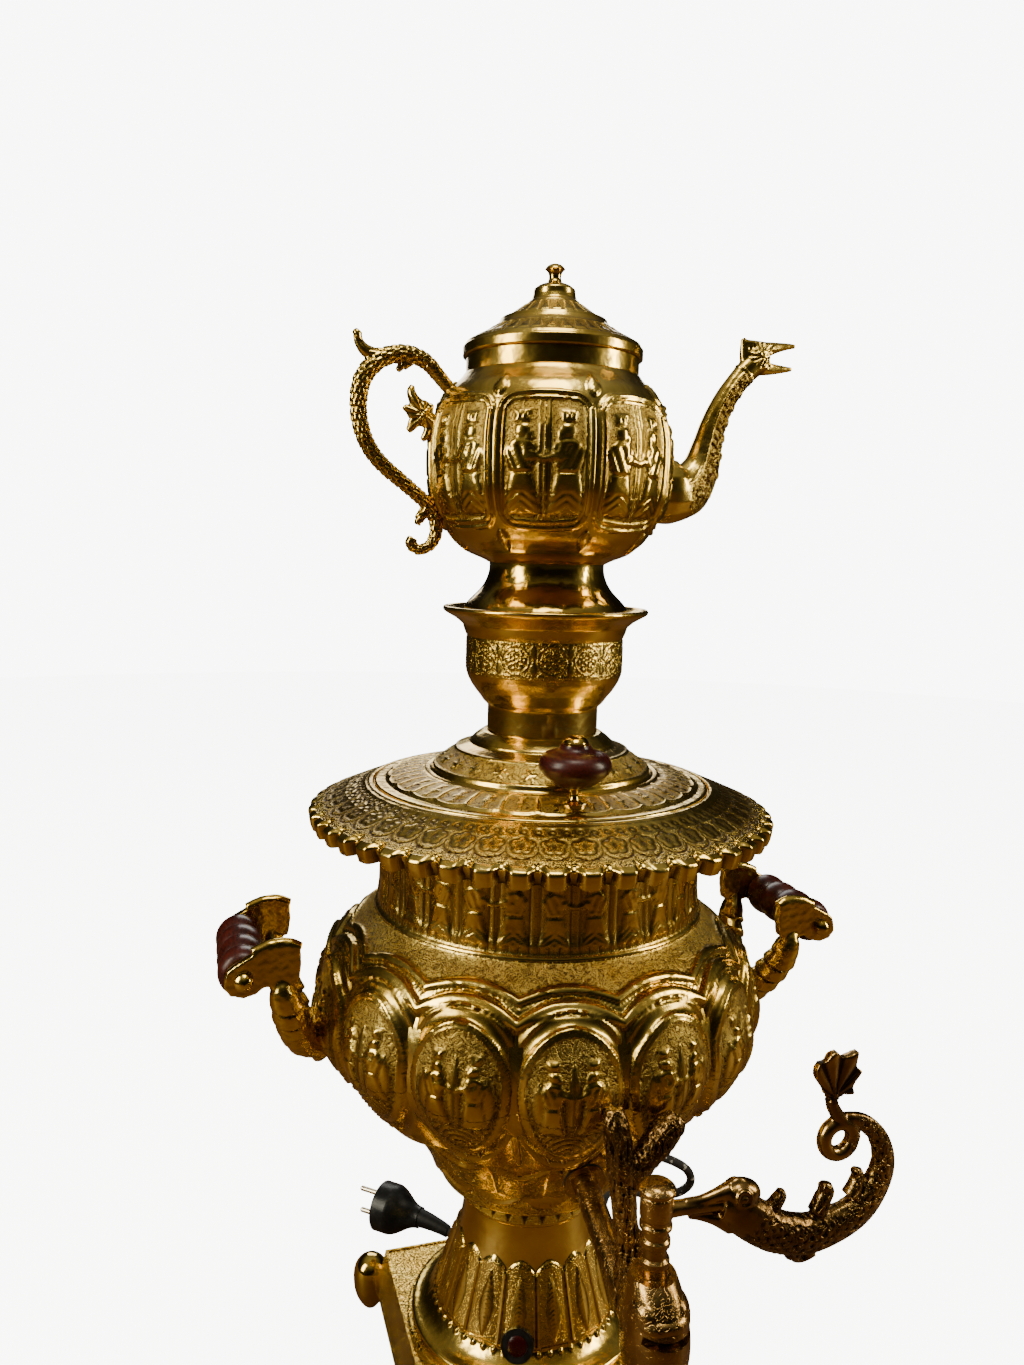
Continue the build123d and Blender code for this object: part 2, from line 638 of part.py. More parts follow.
def on_tap(distance):
    """The point on the tap's axis at a distance from the valve towards the urn."""
    return (0, -TAP_REACH + distance * math.cos(slope), PORT_Z + distance * math.sin(slope))


def wall_distance():
    """How far from the valve the tap's axis meets the urn's wall."""
    near = 0.0
    far = TAP_REACH
    while far - near > 0.001:
        middle = (near + far) / 2
        _, y, z = on_tap(middle)
        if -y > radius_at(urn_runs, z):
            near = middle
        else:
            far = middle
    return near


BOSS_FACE = round(wall_distance() - BOSS_PROUD, 3)
SPIGOT_END = BOSS_FACE + BOSS_LENGTH + SPIGOT_PAST
urn_middle = filled(inset(urn_runs, URN_WALL / 2))
urn = spun(urn_runs, URN_WALL) + [ball - urn_middle for ball in lobe_balls(LOBE_R)]
boss_end = BOSS_FACE + BOSS_LENGTH
urn += pipe_between(on_tap(BOSS_FACE), on_tap(boss_end), BOSS_R)
urn -= pipe_between(on_tap(BOSS_FACE - 1), on_tap(boss_end + BOSS_R), SPIGOT_R + HOLE_GAP)
handle_screw_spots = [(side, URN_BASE + height) for side in (-1, 1) for height in HANDLE_SCREW_HEIGHTS]
for side, height in handle_screw_spots:
    urn -= pipe_between((0, 0, height), (side * HANDLE_FOOT_REACH, 0, height), HANDLE_SCREW_R + HOLE_GAP)
nodes["urn_shell"] = urn

# ---- heater and switchgear ---------------------------------------------------------------------
urn_floor = URN_BASE + URN_WALL
gasket_top = urn_floor + GASKET_THICKNESS
flange_top = gasket_top + HEATER_FLANGE_THICKNESS
neck_low = URN_BASE - HEATER_NUT_HEIGHT - 3
leg = HEATER_LEG_HALF
heater_top = flange_top + HEATER_HEIGHT
heater_dip = flange_top + 12
heater_points = [(-leg, -leg, flange_top), (-leg, -leg, heater_top), (-leg, leg, heater_top),
                 (-leg, leg, heater_dip), (leg, leg, heater_dip), (leg, leg, heater_top),
                 (leg, -leg, heater_top), (leg, -leg, flange_top)]
heater_path = FilletPolyline(heater_points, radius=leg - 0.4)
nodes["heater_element"] = sweep(Plane(origin=heater_points[0], z_dir=(0, 0, 1)) * Circle(HEATER_TUBE_R),
                                path=heater_path)
nodes["heater_gasket"] = post(HEATER_FLANGE_R, urn_floor, gasket_top) \
    - post(HEATER_NECK_R + HOLE_GAP, urn_floor - 1, gasket_top + 1)
heater_flange = post(HEATER_FLANGE_R, gasket_top, flange_top) + post(HEATER_NECK_R, neck_low, gasket_top)
for pin_x in (-leg, leg):
    heater_flange += post(HEATER_PIN_R, neck_low - HEATER_PIN_LENGTH, neck_low, pin_x, -leg / 2)
nodes["heater_flange"] = heater_flange
nodes["heater_nut"] = Pos(0, 0, URN_BASE - HEATER_NUT_HEIGHT) \
    * hexagon_nut(HEATER_NUT_ACROSS, HEATER_NUT_HEIGHT, HEATER_NECK_R + RUNNING)

thermostat_top = SKIRT_TOP - SKIRT_WALL
thermostat = post(THERMOSTAT_R, thermostat_top - THERMOSTAT_HEIGHT, thermostat_top, STUD_CIRCLE - 2, 0)
nodes["thermostat"] = thermostat
block_width, block_depth, block_height = BLOCK_SIZE
block_y = (PLINTH_HOLE_R + PLINTH_HALF) / 2 - PLINTH_WALL / 2
nodes["terminal_block"] = Pos(0, block_y, plinth_ceiling - block_height / 2) \
    * Box(block_width, block_depth, block_height)

block_face = block_y - block_depth / 2
block_z = plinth_ceiling - block_height / 2
lead_top = neck_low - HEATER_PIN_LENGTH


def lead(points, radius):
    """A bent wire, its bends as wide as its shorter runs allow."""
    path = FilletPolyline(points, radius=4 * radius)
    start = Vector(*points[1]) - Vector(*points[0])
    return sweep(Plane(origin=points[0], z_dir=start) * Circle(radius), path=path)


gland_inside = gland_plane.origin - gland_plane.z_dir * GLAND_DEPTH
tail_bend = gland_plane.origin - gland_plane.z_dir * (GLAND_DEPTH + 14)
leads = [lead([(side * leg, block_face, block_z), (side * leg, block_face - 14, block_z),
               (side * leg, -leg / 2, block_z + 30), (side * leg, -leg / 2, lead_top)], LEAD_R)
         for side in (-1, 1)]
leads.append(lead([tuple(gland_inside), tuple(tail_bend), (block_width / 3, block_face - 18, block_z),
                   (block_width / 3, block_face, block_z)], TAIL_R))
nodes["inner_leads"] = group(leads)

# ---- lamp and gland ----------------------------------------------------------------------------
skirt_clear = filled(skirt_wall, SEAT)
lamp_face = LAMP_BEZEL_THICKNESS
bezel = lamp_plane * (post(LAMP_BEZEL_R, -LAMP_BEZEL_R, lamp_face)
                      - post(LAMP_BARREL_R + HOLE_GAP, -LAMP_DEPTH, LAMP_DEPTH))
nodes["lamp_bezel"] = bezel - skirt_clear
nodes["lamp_body"] = lamp_plane * post(LAMP_BARREL_R, 1 - LAMP_DEPTH, 1)
lens_runs = curve((LAMP_BARREL_R, lamp_face), (0, lamp_face + 1.5), ((0.45, 0.75),))
nodes["lamp_lens"] = lamp_plane * turned([[(0, 1), (LAMP_BARREL_R, 1)],
                                          [(LAMP_BARREL_R, 1), (LAMP_BARREL_R, lamp_face)]] + lens_runs)

gland = gland_plane * post(GLAND_FLANGE_R, -GLAND_FLANGE_R / 2, GLAND_FLANGE_THICKNESS) - skirt_clear
gland += gland_plane * post(GLAND_BARREL_R, -GLAND_DEPTH, GLAND_FLANGE_THICKNESS)
gland_end = gland_plane.origin + gland_plane.z_dir * GLAND_REACH
gland += pipe_between(tuple(gland_plane.origin + gland_plane.z_dir * GLAND_FLANGE_THICKNESS),
                      tuple(gland_end), GLAND_BARREL_R, RELIEF_END_R)
nodes["cord_gland"] = gland

# ---- cord, coil, tie and plug ------------------------------------------------------------------
coil_x, coil_y = COIL_CENTRE
coil_half = CORD_R * COIL_TURNS_ACROSS
coil_top = COIL_LIFT + 2 * CORD_R * COIL_TURNS_UP
coil_turn_r = COIL_MIDDLE_R + coil_half - CORD_R
COIL_IN_BEARING = math.radians(20.0)
COIL_IN = (coil_x + coil_turn_r * math.cos(COIL_IN_BEARING), coil_y + coil_turn_r * math.sin(COIL_IN_BEARING),
           COIL_LIFT + CORD_R)
COIL_OUT = (coil_x - coil_turn_r, coil_y, coil_top - CORD_R)

CORD_OUT = [tuple(gland_end), tuple(gland_end + gland_plane.z_dir * 20.0), (98.5, 56.9, 112.5),
            (125.0, 72.3, 94.5), (150.0, 87.0, 76.5), (172.0, 101.0, 56.0), (182.0, 114.0, 33.5),
            (176.0, 130.0, 15.0), (159.0, 147.0, 5.2), (142.5, 167.0, 3.6), COIL_IN]
CORD_ON = [COIL_OUT, (46.1, 143.0, 7.5), (35.0, 124.8, 5.0), (15.4, 116.0, 6.5), (-5.2, 119.2, 12.2),
           RELIEF_END]


def cord_tube(points):
    """A free stretch of the cord: straight runs joined by the widest arcs that fit them."""
    places = [Vector(*point) for point in points]
    runs = [end - start for start, end in zip(places, places[1:])]
    radii = []
    for before, after in zip(runs, runs[1:]):
        half_turn = math.radians(before.get_angle(after)) / 2
        radii.append(0.45 * min(before.length, after.length) / math.tan(half_turn))
    path = FilletPolyline(points, radius=radii)
    tube = sweep(Plane(origin=points[0], z_dir=runs[0]) * Circle(CORD_R), path=path)
    print("cord runs", [round(run.length, 1) for run in runs])
    print("cord radii", [round(radius, 1) for radius in radii], "length", round(path.length, 1))
    print("tube volume", round(tube.volume, 1), "section x length",
          round(math.pi * CORD_R ** 2 * path.length, 1))
    return tube, path.length


cord_out, out_length = cord_tube(CORD_OUT)
cord_on, on_length = cord_tube(CORD_ON)
nodes["power_cord"] = group([cord_out, cord_on])
coil_length = COIL_TURNS * 2 * math.pi * COIL_MIDDLE_R
print("cord length", round(out_length + on_length + coil_length, 1))
coil_inner = COIL_MIDDLE_R - coil_half
coil_outer = COIL_MIDDLE_R + coil_half
bevel = CORD_R * 0.8
coil_runs = straight((coil_inner + bevel, COIL_LIFT), (coil_outer - bevel, COIL_LIFT),
                     (coil_outer, COIL_LIFT + bevel), (coil_outer, coil_top - bevel),
                     (coil_outer - bevel, coil_top), (coil_inner + bevel, coil_top),
                     (coil_inner, coil_top - bevel), (coil_inner, COIL_LIFT + bevel),
                     (coil_inner + bevel, COIL_LIFT))
nodes["cord_coil"] = Pos(coil_x, coil_y, 0) * turned(coil_runs)
tie_outer = 2 * (coil_half + COIL_LIFT + GAP)
tie_height = coil_top + COIL_LIFT
tie = Box(TIE_WIDTH, tie_outer, tie_height) \
    - Box(2 * TIE_WIDTH, tie_outer - 2 * TIE_THICKNESS, tie_height - 2 * TIE_THICKNESS)
nodes["coil_tie"] = Pos(coil_x, coil_y + COIL_MIDDLE_R, tie_height / 2) * tie

plug_axis = Vector(RELIEF_END[0] - PLUG_FACE[0], RELIEF_END[1] - PLUG_FACE[1], 0).normalized()
plug_centre = Vector(PLUG_FACE[0], PLUG_FACE[1], PLUG_R)
plug_plane = Plane(origin=plug_centre, x_dir=(0, 0, 1), z_dir=plug_axis)
waist_z = PLUG_BODY_LENGTH
plug_runs = [[(0, 0), (PLUG_R - 1, 0)], [(PLUG_R - 1, 0), (PLUG_R, 1)],
             [(PLUG_R, 1), (PLUG_R, 0.45 * waist_z)],
             [(PLUG_R, 0.45 * waist_z), (0.86 * PLUG_R, 0.72 * waist_z), (0.6 * PLUG_R, waist_z),
              (PLUG_NECK_R, waist_z + PLUG_NECK_LENGTH)],
             [(PLUG_NECK_R, waist_z + PLUG_NECK_LENGTH), (0, waist_z + PLUG_NECK_LENGTH)]]
nodes["plug_body"] = plug_plane * turned(plug_runs)
neck_end = plug_centre + plug_axis * (waist_z + PLUG_NECK_LENGTH)
relief_way = Vector(*CORD_ON[-2]) - Vector(*CORD_ON[-1])
relief_middle = (neck_end + Vector(*RELIEF_END)) / 2 + Vector(0, 0, 0.8)
relief_stations = ((neck_end, plug_axis, PLUG_NECK_R - 1),
                   (relief_middle, plug_axis, (PLUG_NECK_R + RELIEF_END_R) / 2 - 0.5),
                   (RELIEF_END, relief_way, RELIEF_END_R))
nodes["plug_relief"] = loft([Plane(origin=middle, x_dir=(0, 0, 1), z_dir=way) * Circle(radius)
                             for middle, way, radius in relief_stations])
pin_round = PIN_R / 2
pin_runs = straight((0, 0), (PIN_R, 0), (PIN_R, -PIN_LENGTH + pin_round), (pin_round, -PIN_LENGTH),
                    (0, -PIN_LENGTH))
nodes["plug_pins"] = group(plug_plane * Pos(side * PIN_PITCH / 2, 0, 0) * turned(pin_runs)
                           for side in (-1, 1))

# ---- tap ---------------------------------------------------------------------------------------
washer_face = BOSS_FACE - WASHER_THICKNESS
flange_face = washer_face - TAP_FLANGE_THICKNESS
seat_low = PORT_Z - PLUG_SEAT_DEPTH
tap_head = loft([Plane.XY.offset(PORT_Z + height) * Pos(0, -TAP_REACH + shift) * Ellipse(half_x, half_y)
                 for height, half_x, half_y, shift in HEAD_SECTIONS])
tap = tap_head + pipe_between(on_tap(0), on_tap(flange_face + 1), PIPE_R)
tap += pipe_between(on_tap(flange_face), on_tap(washer_face), BOSS_R)
tap += pipe_between(on_tap(flange_face), on_tap(SPIGOT_END), SPIGOT_R)
tap += post(NOZZLE_R, PORT_Z - NOZZLE_LENGTH, PORT_Z, 0, -TAP_REACH)
mouth_front = -TAP_REACH + HEAD_SECTIONS[2][3] - HEAD_SECTIONS[2][2]
tap -= Pos(0, mouth_front, PORT_Z + MOUTH_LOW) * Box(4 * BOSS_R, 2 * MOUTH_DEPTH, MOUTH_HEIGHT)
tap -= pipe_between(on_tap(0), on_tap(SPIGOT_END + 1), PIPE_BORE_R)
tap -= post(NOZZLE_BORE_R, PORT_Z - NOZZLE_LENGTH - 1, PORT_Z, 0, -TAP_REACH)
tap -= pipe_between((0, -TAP_REACH, seat_low), (0, -TAP_REACH, HEAD_TOP), TAPER_BOTTOM_R + RUNNING,
                    TAPER_TOP_R + RUNNING)
nodes["tap_body"] = tap
nodes["tap_washer"] = pipe_between(on_tap(washer_face), on_tap(BOSS_FACE), BOSS_R) \
    - pipe_between(on_tap(washer_face - 1), on_tap(BOSS_FACE + 1), SPIGOT_R + HOLE_GAP)
backnut_plane = Plane(origin=on_tap(boss_end), x_dir=(1, 0, 0), z_dir=Vector(*on_tap(1)) - Vector(*on_tap(0)))
nodes["tap_backnut"] = backnut_plane * hexagon_nut(BACKNUT_ACROSS, BACKNUT_HEIGHT, SPIGOT_R + RUNNING)

# towards the urn from the valve and above the port
TRUNK_LINE = ((27.0, 13.0), (34.0, 48.0), (38.5, 77.0), (49.0, 105.0))
TRUNK_BEND_R = 40.0
# sideways, towards the urn and above the port
FORK = (0.0, 38.0, 72.0)
BRANCH_ELBOW = (18.0, 45.0, 84.0)
BRANCH_TIP = (32.0, 45.0, 99.0)


def tree_spot(sideways, inwards, up):
    """A place on the branch, from the valve's axis at the height of the port."""
    return (sideways, -TAP_REACH + inwards, PORT_Z + up)


trunk = FilletPolyline(*[tree_spot(0, inwards, up) for inwards, up in TRUNK_LINE], radius=TRUNK_BEND_R)
tree = sweep(Plane(origin=trunk @ 0, z_dir=trunk % 0) * Circle(TREE_TRUNK_R), path=trunk)
tree += pipe_between(tree_spot(*FORK), tree_spot(*BRANCH_ELBOW), TREE_BRANCH_R + 0.8, TREE_BRANCH_R)
tree += pipe_between(tree_spot(*BRANCH_ELBOW), tree_spot(*BRANCH_TIP), TREE_BRANCH_R, TREE_BRANCH_R - 2)
tree += Pos(*tree_spot(*BRANCH_ELBOW)) * Sphere(TREE_BRANCH_R)
tree -= pipe_between(on_tap(0), on_tap(flange_face), PIPE_R + SEAT)
tree -= urn_clear
nodes["tap_tree"] = tree

# ---- turning plug and key ----------------------------------------------------------------------
plug_low = seat_low + GAP
taper_share = GAP / (HEAD_TOP - seat_low)
plug_low_r = TAPER_BOTTOM_R + taper_share * (TAPER_TOP_R - TAPER_BOTTOM_R)
neck = PLUG_NECK_HEIGHT
plug_outline = lifted(straight((0, plug_low - HEAD_TOP), (plug_low_r, plug_low - HEAD_TOP), (TAPER_TOP_R, 0),
                               (TAPER_TOP_R - 1, GAP), (6.2, GAP), (6.2, 0.17 * neck), (7.4, 0.22 * neck),
                               (7.4, 0.34 * neck), (6.0, 0.40 * neck), (6.0, 0.60 * neck),
                               (7.4, 0.66 * neck), (7.4, 0.78 * neck), (6.4, 0.83 * neck), (6.4, neck),
                               (0, neck)), HEAD_TOP)
plug = turned(plug_outline)
plug += Pos(0, 0, KEY_BASE + HUB_HEIGHT / 2) * Box(2 * TANG_HALF, 2 * TANG_HALF, HUB_HEIGHT)
plug -= post(PLUG_CORE_R, plug_low - 1, PORT_Z + PLUG_CORE_R)
plug -= pipe_between((0, 0, PORT_Z), (-2 * TAPER_TOP_R, 0, PORT_Z), PORT_R)
nodes["tap_plug"] = Pos(0, -TAP_REACH, 0) * plug

key_z = KEY_BASE + HUB_HEIGHT / 2 - 1
tang_hole = Box(2 * (TANG_HALF + RUNNING), 2 * (TANG_HALF + RUNNING), 3 * HUB_HEIGHT)
hub = turned(lifted(straight((0, 0), (HUB_R - 1, 0), (HUB_R, 1), (HUB_R, 3), (HUB_R - 0.8, 3.6),
                             (HUB_R - 0.8, 5.4), (HUB_R, 6), (HUB_R, HUB_HEIGHT - 1),
                             (HUB_R - 1, HUB_HEIGHT), (0, HUB_HEIGHT)), KEY_BASE))
# x and z from the hub, half height of the body and its thickness as a share of that
DOLPHIN = ((21.5, -1.6, 4.4, 1.0), (27.0, -3.0, 5.4, 0.95), (33.0, -3.4, 8.4, 0.85), (41.0, -4.5, 11.6, 0.75),
           (51.0, -12.5, 12.0, 0.7), (65.0, -21.5, 12.2, 0.7),
           (82.0, -26.0, 12.4, 0.7), (98.0, -23.8, 11.6, 0.7), (111.5, -18.0, 11.0, 0.7),
           (120.5, -8.0, 10.4, 0.7), (124.3, 3.5, 8.6, 0.75), (122.4, 14.5, 6.6, 0.8),
           (116.5, 24.0, 4.8, 0.9), (107.5, 30.5, 3.6, 1.0), (97.5, 31.5, 3.0, 1.0))
dolphin = flowing([(x, z + key_z, r, flat) for x, z, r, flat in DOLPHIN])
TAIL_RING = (97.8, 22.3)
TAIL_RING_R = 8.0
TAIL_RING_BAR_R = 3.0
tail_ring = Pos(TAIL_RING[0], 0, key_z + TAIL_RING[1]) * Rot(90, 0, 0) * Torus(TAIL_RING_R, TAIL_RING_BAR_R)
stem = pipe_between((97, 0, key_z + 31), (92.5, 0, key_z + 48), 2.4)
LEAF = ((89.0, 46.0), (81.7, 62.5), (88.0, 60.0), (95.3, 69.0), (99.0, 61.0), (108.0, 52.5), (97.0, 47.0))
leaf = plate_xz([(x, key_z + z) for x, z in LEAF], 0, 3.0)
FINS = (((60.0, -12.0), (68.0, 1.0), (75.0, -15.0)), ((86.0, -15.0), (93.6, 2.0), (100.0, -13.0)),
        ((104.0, -9.0), (110.0, 6.0), (114.0, -2.0)), ((74.0, -36.0), (80.5, -41.0), (88.0, -36.0)))
key = hub - tang_hole.moved(Location((0, 0, key_z)))
neck_bar = pipe_between((0, 0, key_z), (23, 0, key_z - 2), 5.0, 4.3)
key += neck_bar - post(HUB_R - 1.5, KEY_BASE - 1, KEY_BASE + HUB_HEIGHT + 1)
key += dolphin
key += tail_ring
key += stem
key += leaf
for fin in FINS:
    key += plate_xz([(x, key_z + z) for x, z in fin], 0, 3.0)
nodes["tap_key"] = Pos(0, -TAP_REACH, 0) * key
cap_base = KEY_BASE + HUB_HEIGHT
cap_runs = [[(0, 0), (CAP_R - 1, 0)], [(CAP_R - 1, 0), (CAP_R, 1)], [(CAP_R, 1), (CAP_R, 2.5)],
            [(CAP_R, 2.5), (0.72 * CAP_R, 0.86 * CAP_HEIGHT), (0, CAP_HEIGHT)]]
nodes["tap_key_cap"] = Pos(0, -TAP_REACH, 0) * turned(lifted(cap_runs, cap_base))

# ---- side handles ------------------------------------------------------------------------------
rod_z = URN_BASE + ROD_HEIGHT
ear_middle = GRIP_HALF + GAP + EAR_THICKNESS / 2
ear_outer = GRIP_HALF + GAP + EAR_THICKNESS
# from the rod's axis, outwards positive
EAR = ((9.0, -1.0), (6.0, 6.5), (-1.0, 9.0), (-14.0, 17.5), (-30.0, 15.0), (-29.0, 0.5), (-10.0, -8.0),
       (5.0, -7.0))


def handle(side):
    """The cast yoke with its two ears, arms and foot, on one side of the urn."""
    yoke = None
    for way in (-1, 1):
        ear = plate_xz([(side * (ROD_REACH + x), rod_z + z) for x, z in EAR], way * ear_middle, EAR_THICKNESS)
        route = FilletPolyline((side * (ROD_REACH - 24), way * ear_middle, rod_z + 5),
                               (side * (ROD_REACH - 25.5), way * (ear_middle - 2), rod_z - 14),
                               (side * (ROD_REACH - 29), way * 24, rod_z - 35),
                               (side * (ROD_REACH - 40), way * 9, rod_z - 54),
                               (side * (HANDLE_FOOT_REACH - 7), 0, rod_z - 58), radius=9)
        arm = sweep(Plane(origin=route @ 0, z_dir=route % 0) * Circle(ARM_R), path=route)
        yoke = ear + arm if yoke is None else yoke + ear + arm
    foot_height = HANDLE_FOOT_HIGH - HANDLE_FOOT_LOW
    foot_z = URN_BASE + (HANDLE_FOOT_HIGH + HANDLE_FOOT_LOW) / 2
    foot_depth = HANDLE_FOOT_REACH - URN_BELLY_R + 2 * HANDLE_FOOT_HALF
    foot = Pos(side * (HANDLE_FOOT_REACH - foot_depth / 2), 0, foot_z) \
        * Box(foot_depth, 2 * HANDLE_FOOT_HALF, foot_height)
    yoke += fillet(foot.edges().filter_by(Axis.X), 5)
    yoke -= urn_clear
    yoke -= pipe_between((side * ROD_REACH, -2 * ear_outer, rod_z), (side * ROD_REACH, 2 * ear_outer, rod_z),
                         ROD_R + RUNNING)
    for height in HANDLE_SCREW_HEIGHTS:
        end = radius_at(urn_runs, URN_BASE + height) - URN_WALL + HANDLE_SCREW_LENGTH
        yoke -= pipe_between((0, 0, URN_BASE + height), (side * (end + 1), 0, URN_BASE + height),
                             HANDLE_SCREW_R + RUNNING)
    return yoke


def grip(side):
    """The ridged wooden grip on its rod."""
    length = 2 * GRIP_HALF / GRIP_RIDGES
    runs = [[(ROD_R + GAP, -GRIP_HALF), (GRIP_END_R, -GRIP_HALF)]]
    start = (GRIP_END_R, -GRIP_HALF)
    for index in range(GRIP_RIDGES):
        last = index == GRIP_RIDGES - 1
        end = (GRIP_END_R if last else GRIP_GROOVE_R, -GRIP_HALF + (index + 1) * length)
        runs.append([start, (GRIP_R - 0.6, start[1] + 0.22 * length), (GRIP_R, start[1] + 0.5 * length),
                     (GRIP_R - 0.6, start[1] + 0.78 * length), end])
        start = end
    runs.append([start, (ROD_R + GAP, GRIP_HALF)])
    return Plane(origin=(side * ROD_REACH, 0, rod_z), x_dir=(1, 0, 0), z_dir=(0, 1, 0)) * turned(runs)


nodes["handle_left"] = handle(-1)
nodes["handle_right"] = handle(1)
nodes["grip_left"] = grip(-1)
nodes["grip_right"] = grip(1)
rod_half = ear_outer + ROD_NUT_LENGTH
nodes["handle_rods"] = group(pipe_between((side * ROD_REACH, -rod_half, rod_z),
                                          (side * ROD_REACH, rod_half, rod_z), ROD_R) for side in (-1, 1))
rod_nut = turned([[(ROD_R + RUNNING, 0), (ROD_NUT_R, 0)], [(ROD_NUT_R, 0), (ROD_NUT_R, ROD_NUT_LENGTH)],
                  [(ROD_NUT_R, ROD_NUT_LENGTH), (0.7 * ROD_NUT_R, 1.5 * ROD_NUT_LENGTH),
                   (0, 2 * ROD_NUT_LENGTH)],
                  [(0, 2 * ROD_NUT_LENGTH), (0, ROD_NUT_LENGTH + RUNNING)],
                  [(0, ROD_NUT_LENGTH + RUNNING), (ROD_R + RUNNING, ROD_NUT_LENGTH + RUNNING)]])
nodes["rod_nuts"] = group(Plane(origin=(side * ROD_REACH, way * ear_outer, rod_z), z_dir=(0, way, 0))
                          * rod_nut for side in (-1, 1) for way in (-1, 1))


def handle_screw(side, height):
    """A screw from inside the urn, its head against the wall."""
    head_r = 1.8 * HANDLE_SCREW_R
    wall = inset(urn_runs, URN_WALL)
    seat_x = min(radius_at(wall, height - head_r), radius_at(wall, height + head_r))
    seat_x = math.sqrt(seat_x ** 2 - head_r ** 2)
    return screw(HANDLE_SCREW_R, HANDLE_SCREW_LENGTH, (side * seat_x, 0, height), (side, 0, 0))


nodes["handle_screws"] = group(handle_screw(side, height) for side, height in handle_screw_spots)

# ---- rim collar --------------------------------------------------------------------------------
sleeve_in = URN_TOP_R + GAP
mouth_r = URN_TOP_R - URN_WALL
ledge_r = mouth_r + GAP
sleeve_out = sleeve_in + RIM_WALL
rim_low = URN_TOP - RIM_SLEEVE_DEPTH
lip_top = LID_BASE + RIM_LIP_HEIGHT
lip_out = RIM_LIP_R + RIM_LIP_WIDTH
rim_edge = LID_BASE - RIM_DROP
tooth_low = rim_edge - TOOTH_HEIGHT
rim_outline = straight((sleeve_in, rim_low), (sleeve_out, rim_low), (sleeve_out, URN_TOP - RIM_WALL),
                       (RIM_R - RIM_WALL, rim_edge - RIM_WALL), (RIM_R - RIM_WALL, tooth_low),
                       (RIM_R, tooth_low), (RIM_R, rim_edge),
                       (lip_out + 2, lip_top - 1.8), (lip_out, lip_top),
                       (RIM_LIP_R, lip_top), (RIM_LIP_R - 0.4, LID_BASE), (ledge_r, LID_BASE),
                       (ledge_r, URN_TOP), (sleeve_in, URN_TOP), (sleeve_in, rim_low))
rim = turned(rim_outline)
gap_bar = post(TOOTH_GAP_R, RIM_R - 4 * RIM_WALL, RIM_R + RIM_WALL)
gap_slot = Pos(0, 0, RIM_R - 1.5 * RIM_WALL) * Box(TOOTH_HEIGHT, 2 * TOOTH_GAP_R, 5 * RIM_WALL)
gap_tool = Rot(0, 90, 0) * gap_bar + Rot(0, 90, 0) * Pos(TOOTH_HEIGHT / 2, 0, 0) * gap_slot
gap_top = rim_edge - TOOTH_GAP_R - 2 * RIM_WALL
rim -= [Rot(0, 0, index * 360 / TOOTH_COUNT) * Pos(0, 0, gap_top) * gap_tool for index in range(TOOTH_COUNT)]
nodes["rim_collar"] = rim

# ---- lid and its knobs -------------------------------------------------------------------------
lid_edge_r = RIM_LIP_R - 0.4 - GAP
lid_spigot_r = mouth_r - GAP
flat_edge = (LID_FLAT_R, LID_EDGE_HEIGHT)
dome_foot = (LID_DOME_R, LID_DOME_BASE)
lid_neck = (LID_NECK_R, LID_NECK_HEIGHT)
chimney_top = LID_NECK_HEIGHT + CHIMNEY_HEIGHT
dome_shoulder = (0.5 * (LID_DOME_R + LID_NECK_R) - 4, LID_DOME_BASE + 15.5)
lid_runs = lifted(
    straight((lid_edge_r, 0), (lid_edge_r, LID_EDGE_HEIGHT), flat_edge)
    + curve(flat_edge, (LID_DOME_R + 2, LID_DOME_BASE - 1), ((0.22, 0.42), (0.70, 0.97)))
    + straight((LID_DOME_R + 2, LID_DOME_BASE - 1), dome_foot)
    + curve(dome_foot, dome_shoulder, ((0.10, 0.18), (0.55, 0.65)))
    + straight(dome_shoulder, (LID_NECK_R + 8, LID_DOME_BASE + 16.5), (LID_NECK_R + 7.5, LID_DOME_BASE + 18))
    + curve((LID_NECK_R + 7.5, LID_DOME_BASE + 18), lid_neck, ((0.45, 0.40),))
    + straight(lid_neck, (CHIMNEY_R, LID_NECK_HEIGHT), (CHIMNEY_R, chimney_top)), LID_BASE)
lid = spun(lid_runs, SHEET)
lid += post(lid_spigot_r, LID_BASE - LID_SPIGOT_DEPTH, LID_BASE + LID_EDGE_HEIGHT - SHEET / 2) \
    - post(lid_spigot_r - SHEET, LID_BASE - LID_SPIGOT_DEPTH - 1, LID_BASE + LID_EDGE_HEIGHT)
lid += post(lid_edge_r - SHEET / 2, LID_BASE, LID_BASE + SHEET) \
    - post(lid_spigot_r - SHEET / 2, LID_BASE - 1, LID_BASE + 2 * SHEET)
knob_spots = [(KNOB_CIRCLE * math.cos(math.radians(b)), KNOB_CIRCLE * math.sin(math.radians(b)))
              for b in (KNOB_BEARING, KNOB_BEARING + 180)]
lid_clear = filled(lid_runs[:-2], SEAT)
knob_seat = LID_BASE + KNOB_SEAT
knob_low = LID_BASE + KNOB_LOW
knob_top = knob_low + KNOB_HEIGHT
for knob_x, knob_y in knob_spots:
    lid -= post(KNOB_STEM_R + HOLE_GAP, LID_BASE, knob_low, knob_x, knob_y)
nodes["lid"] = lid

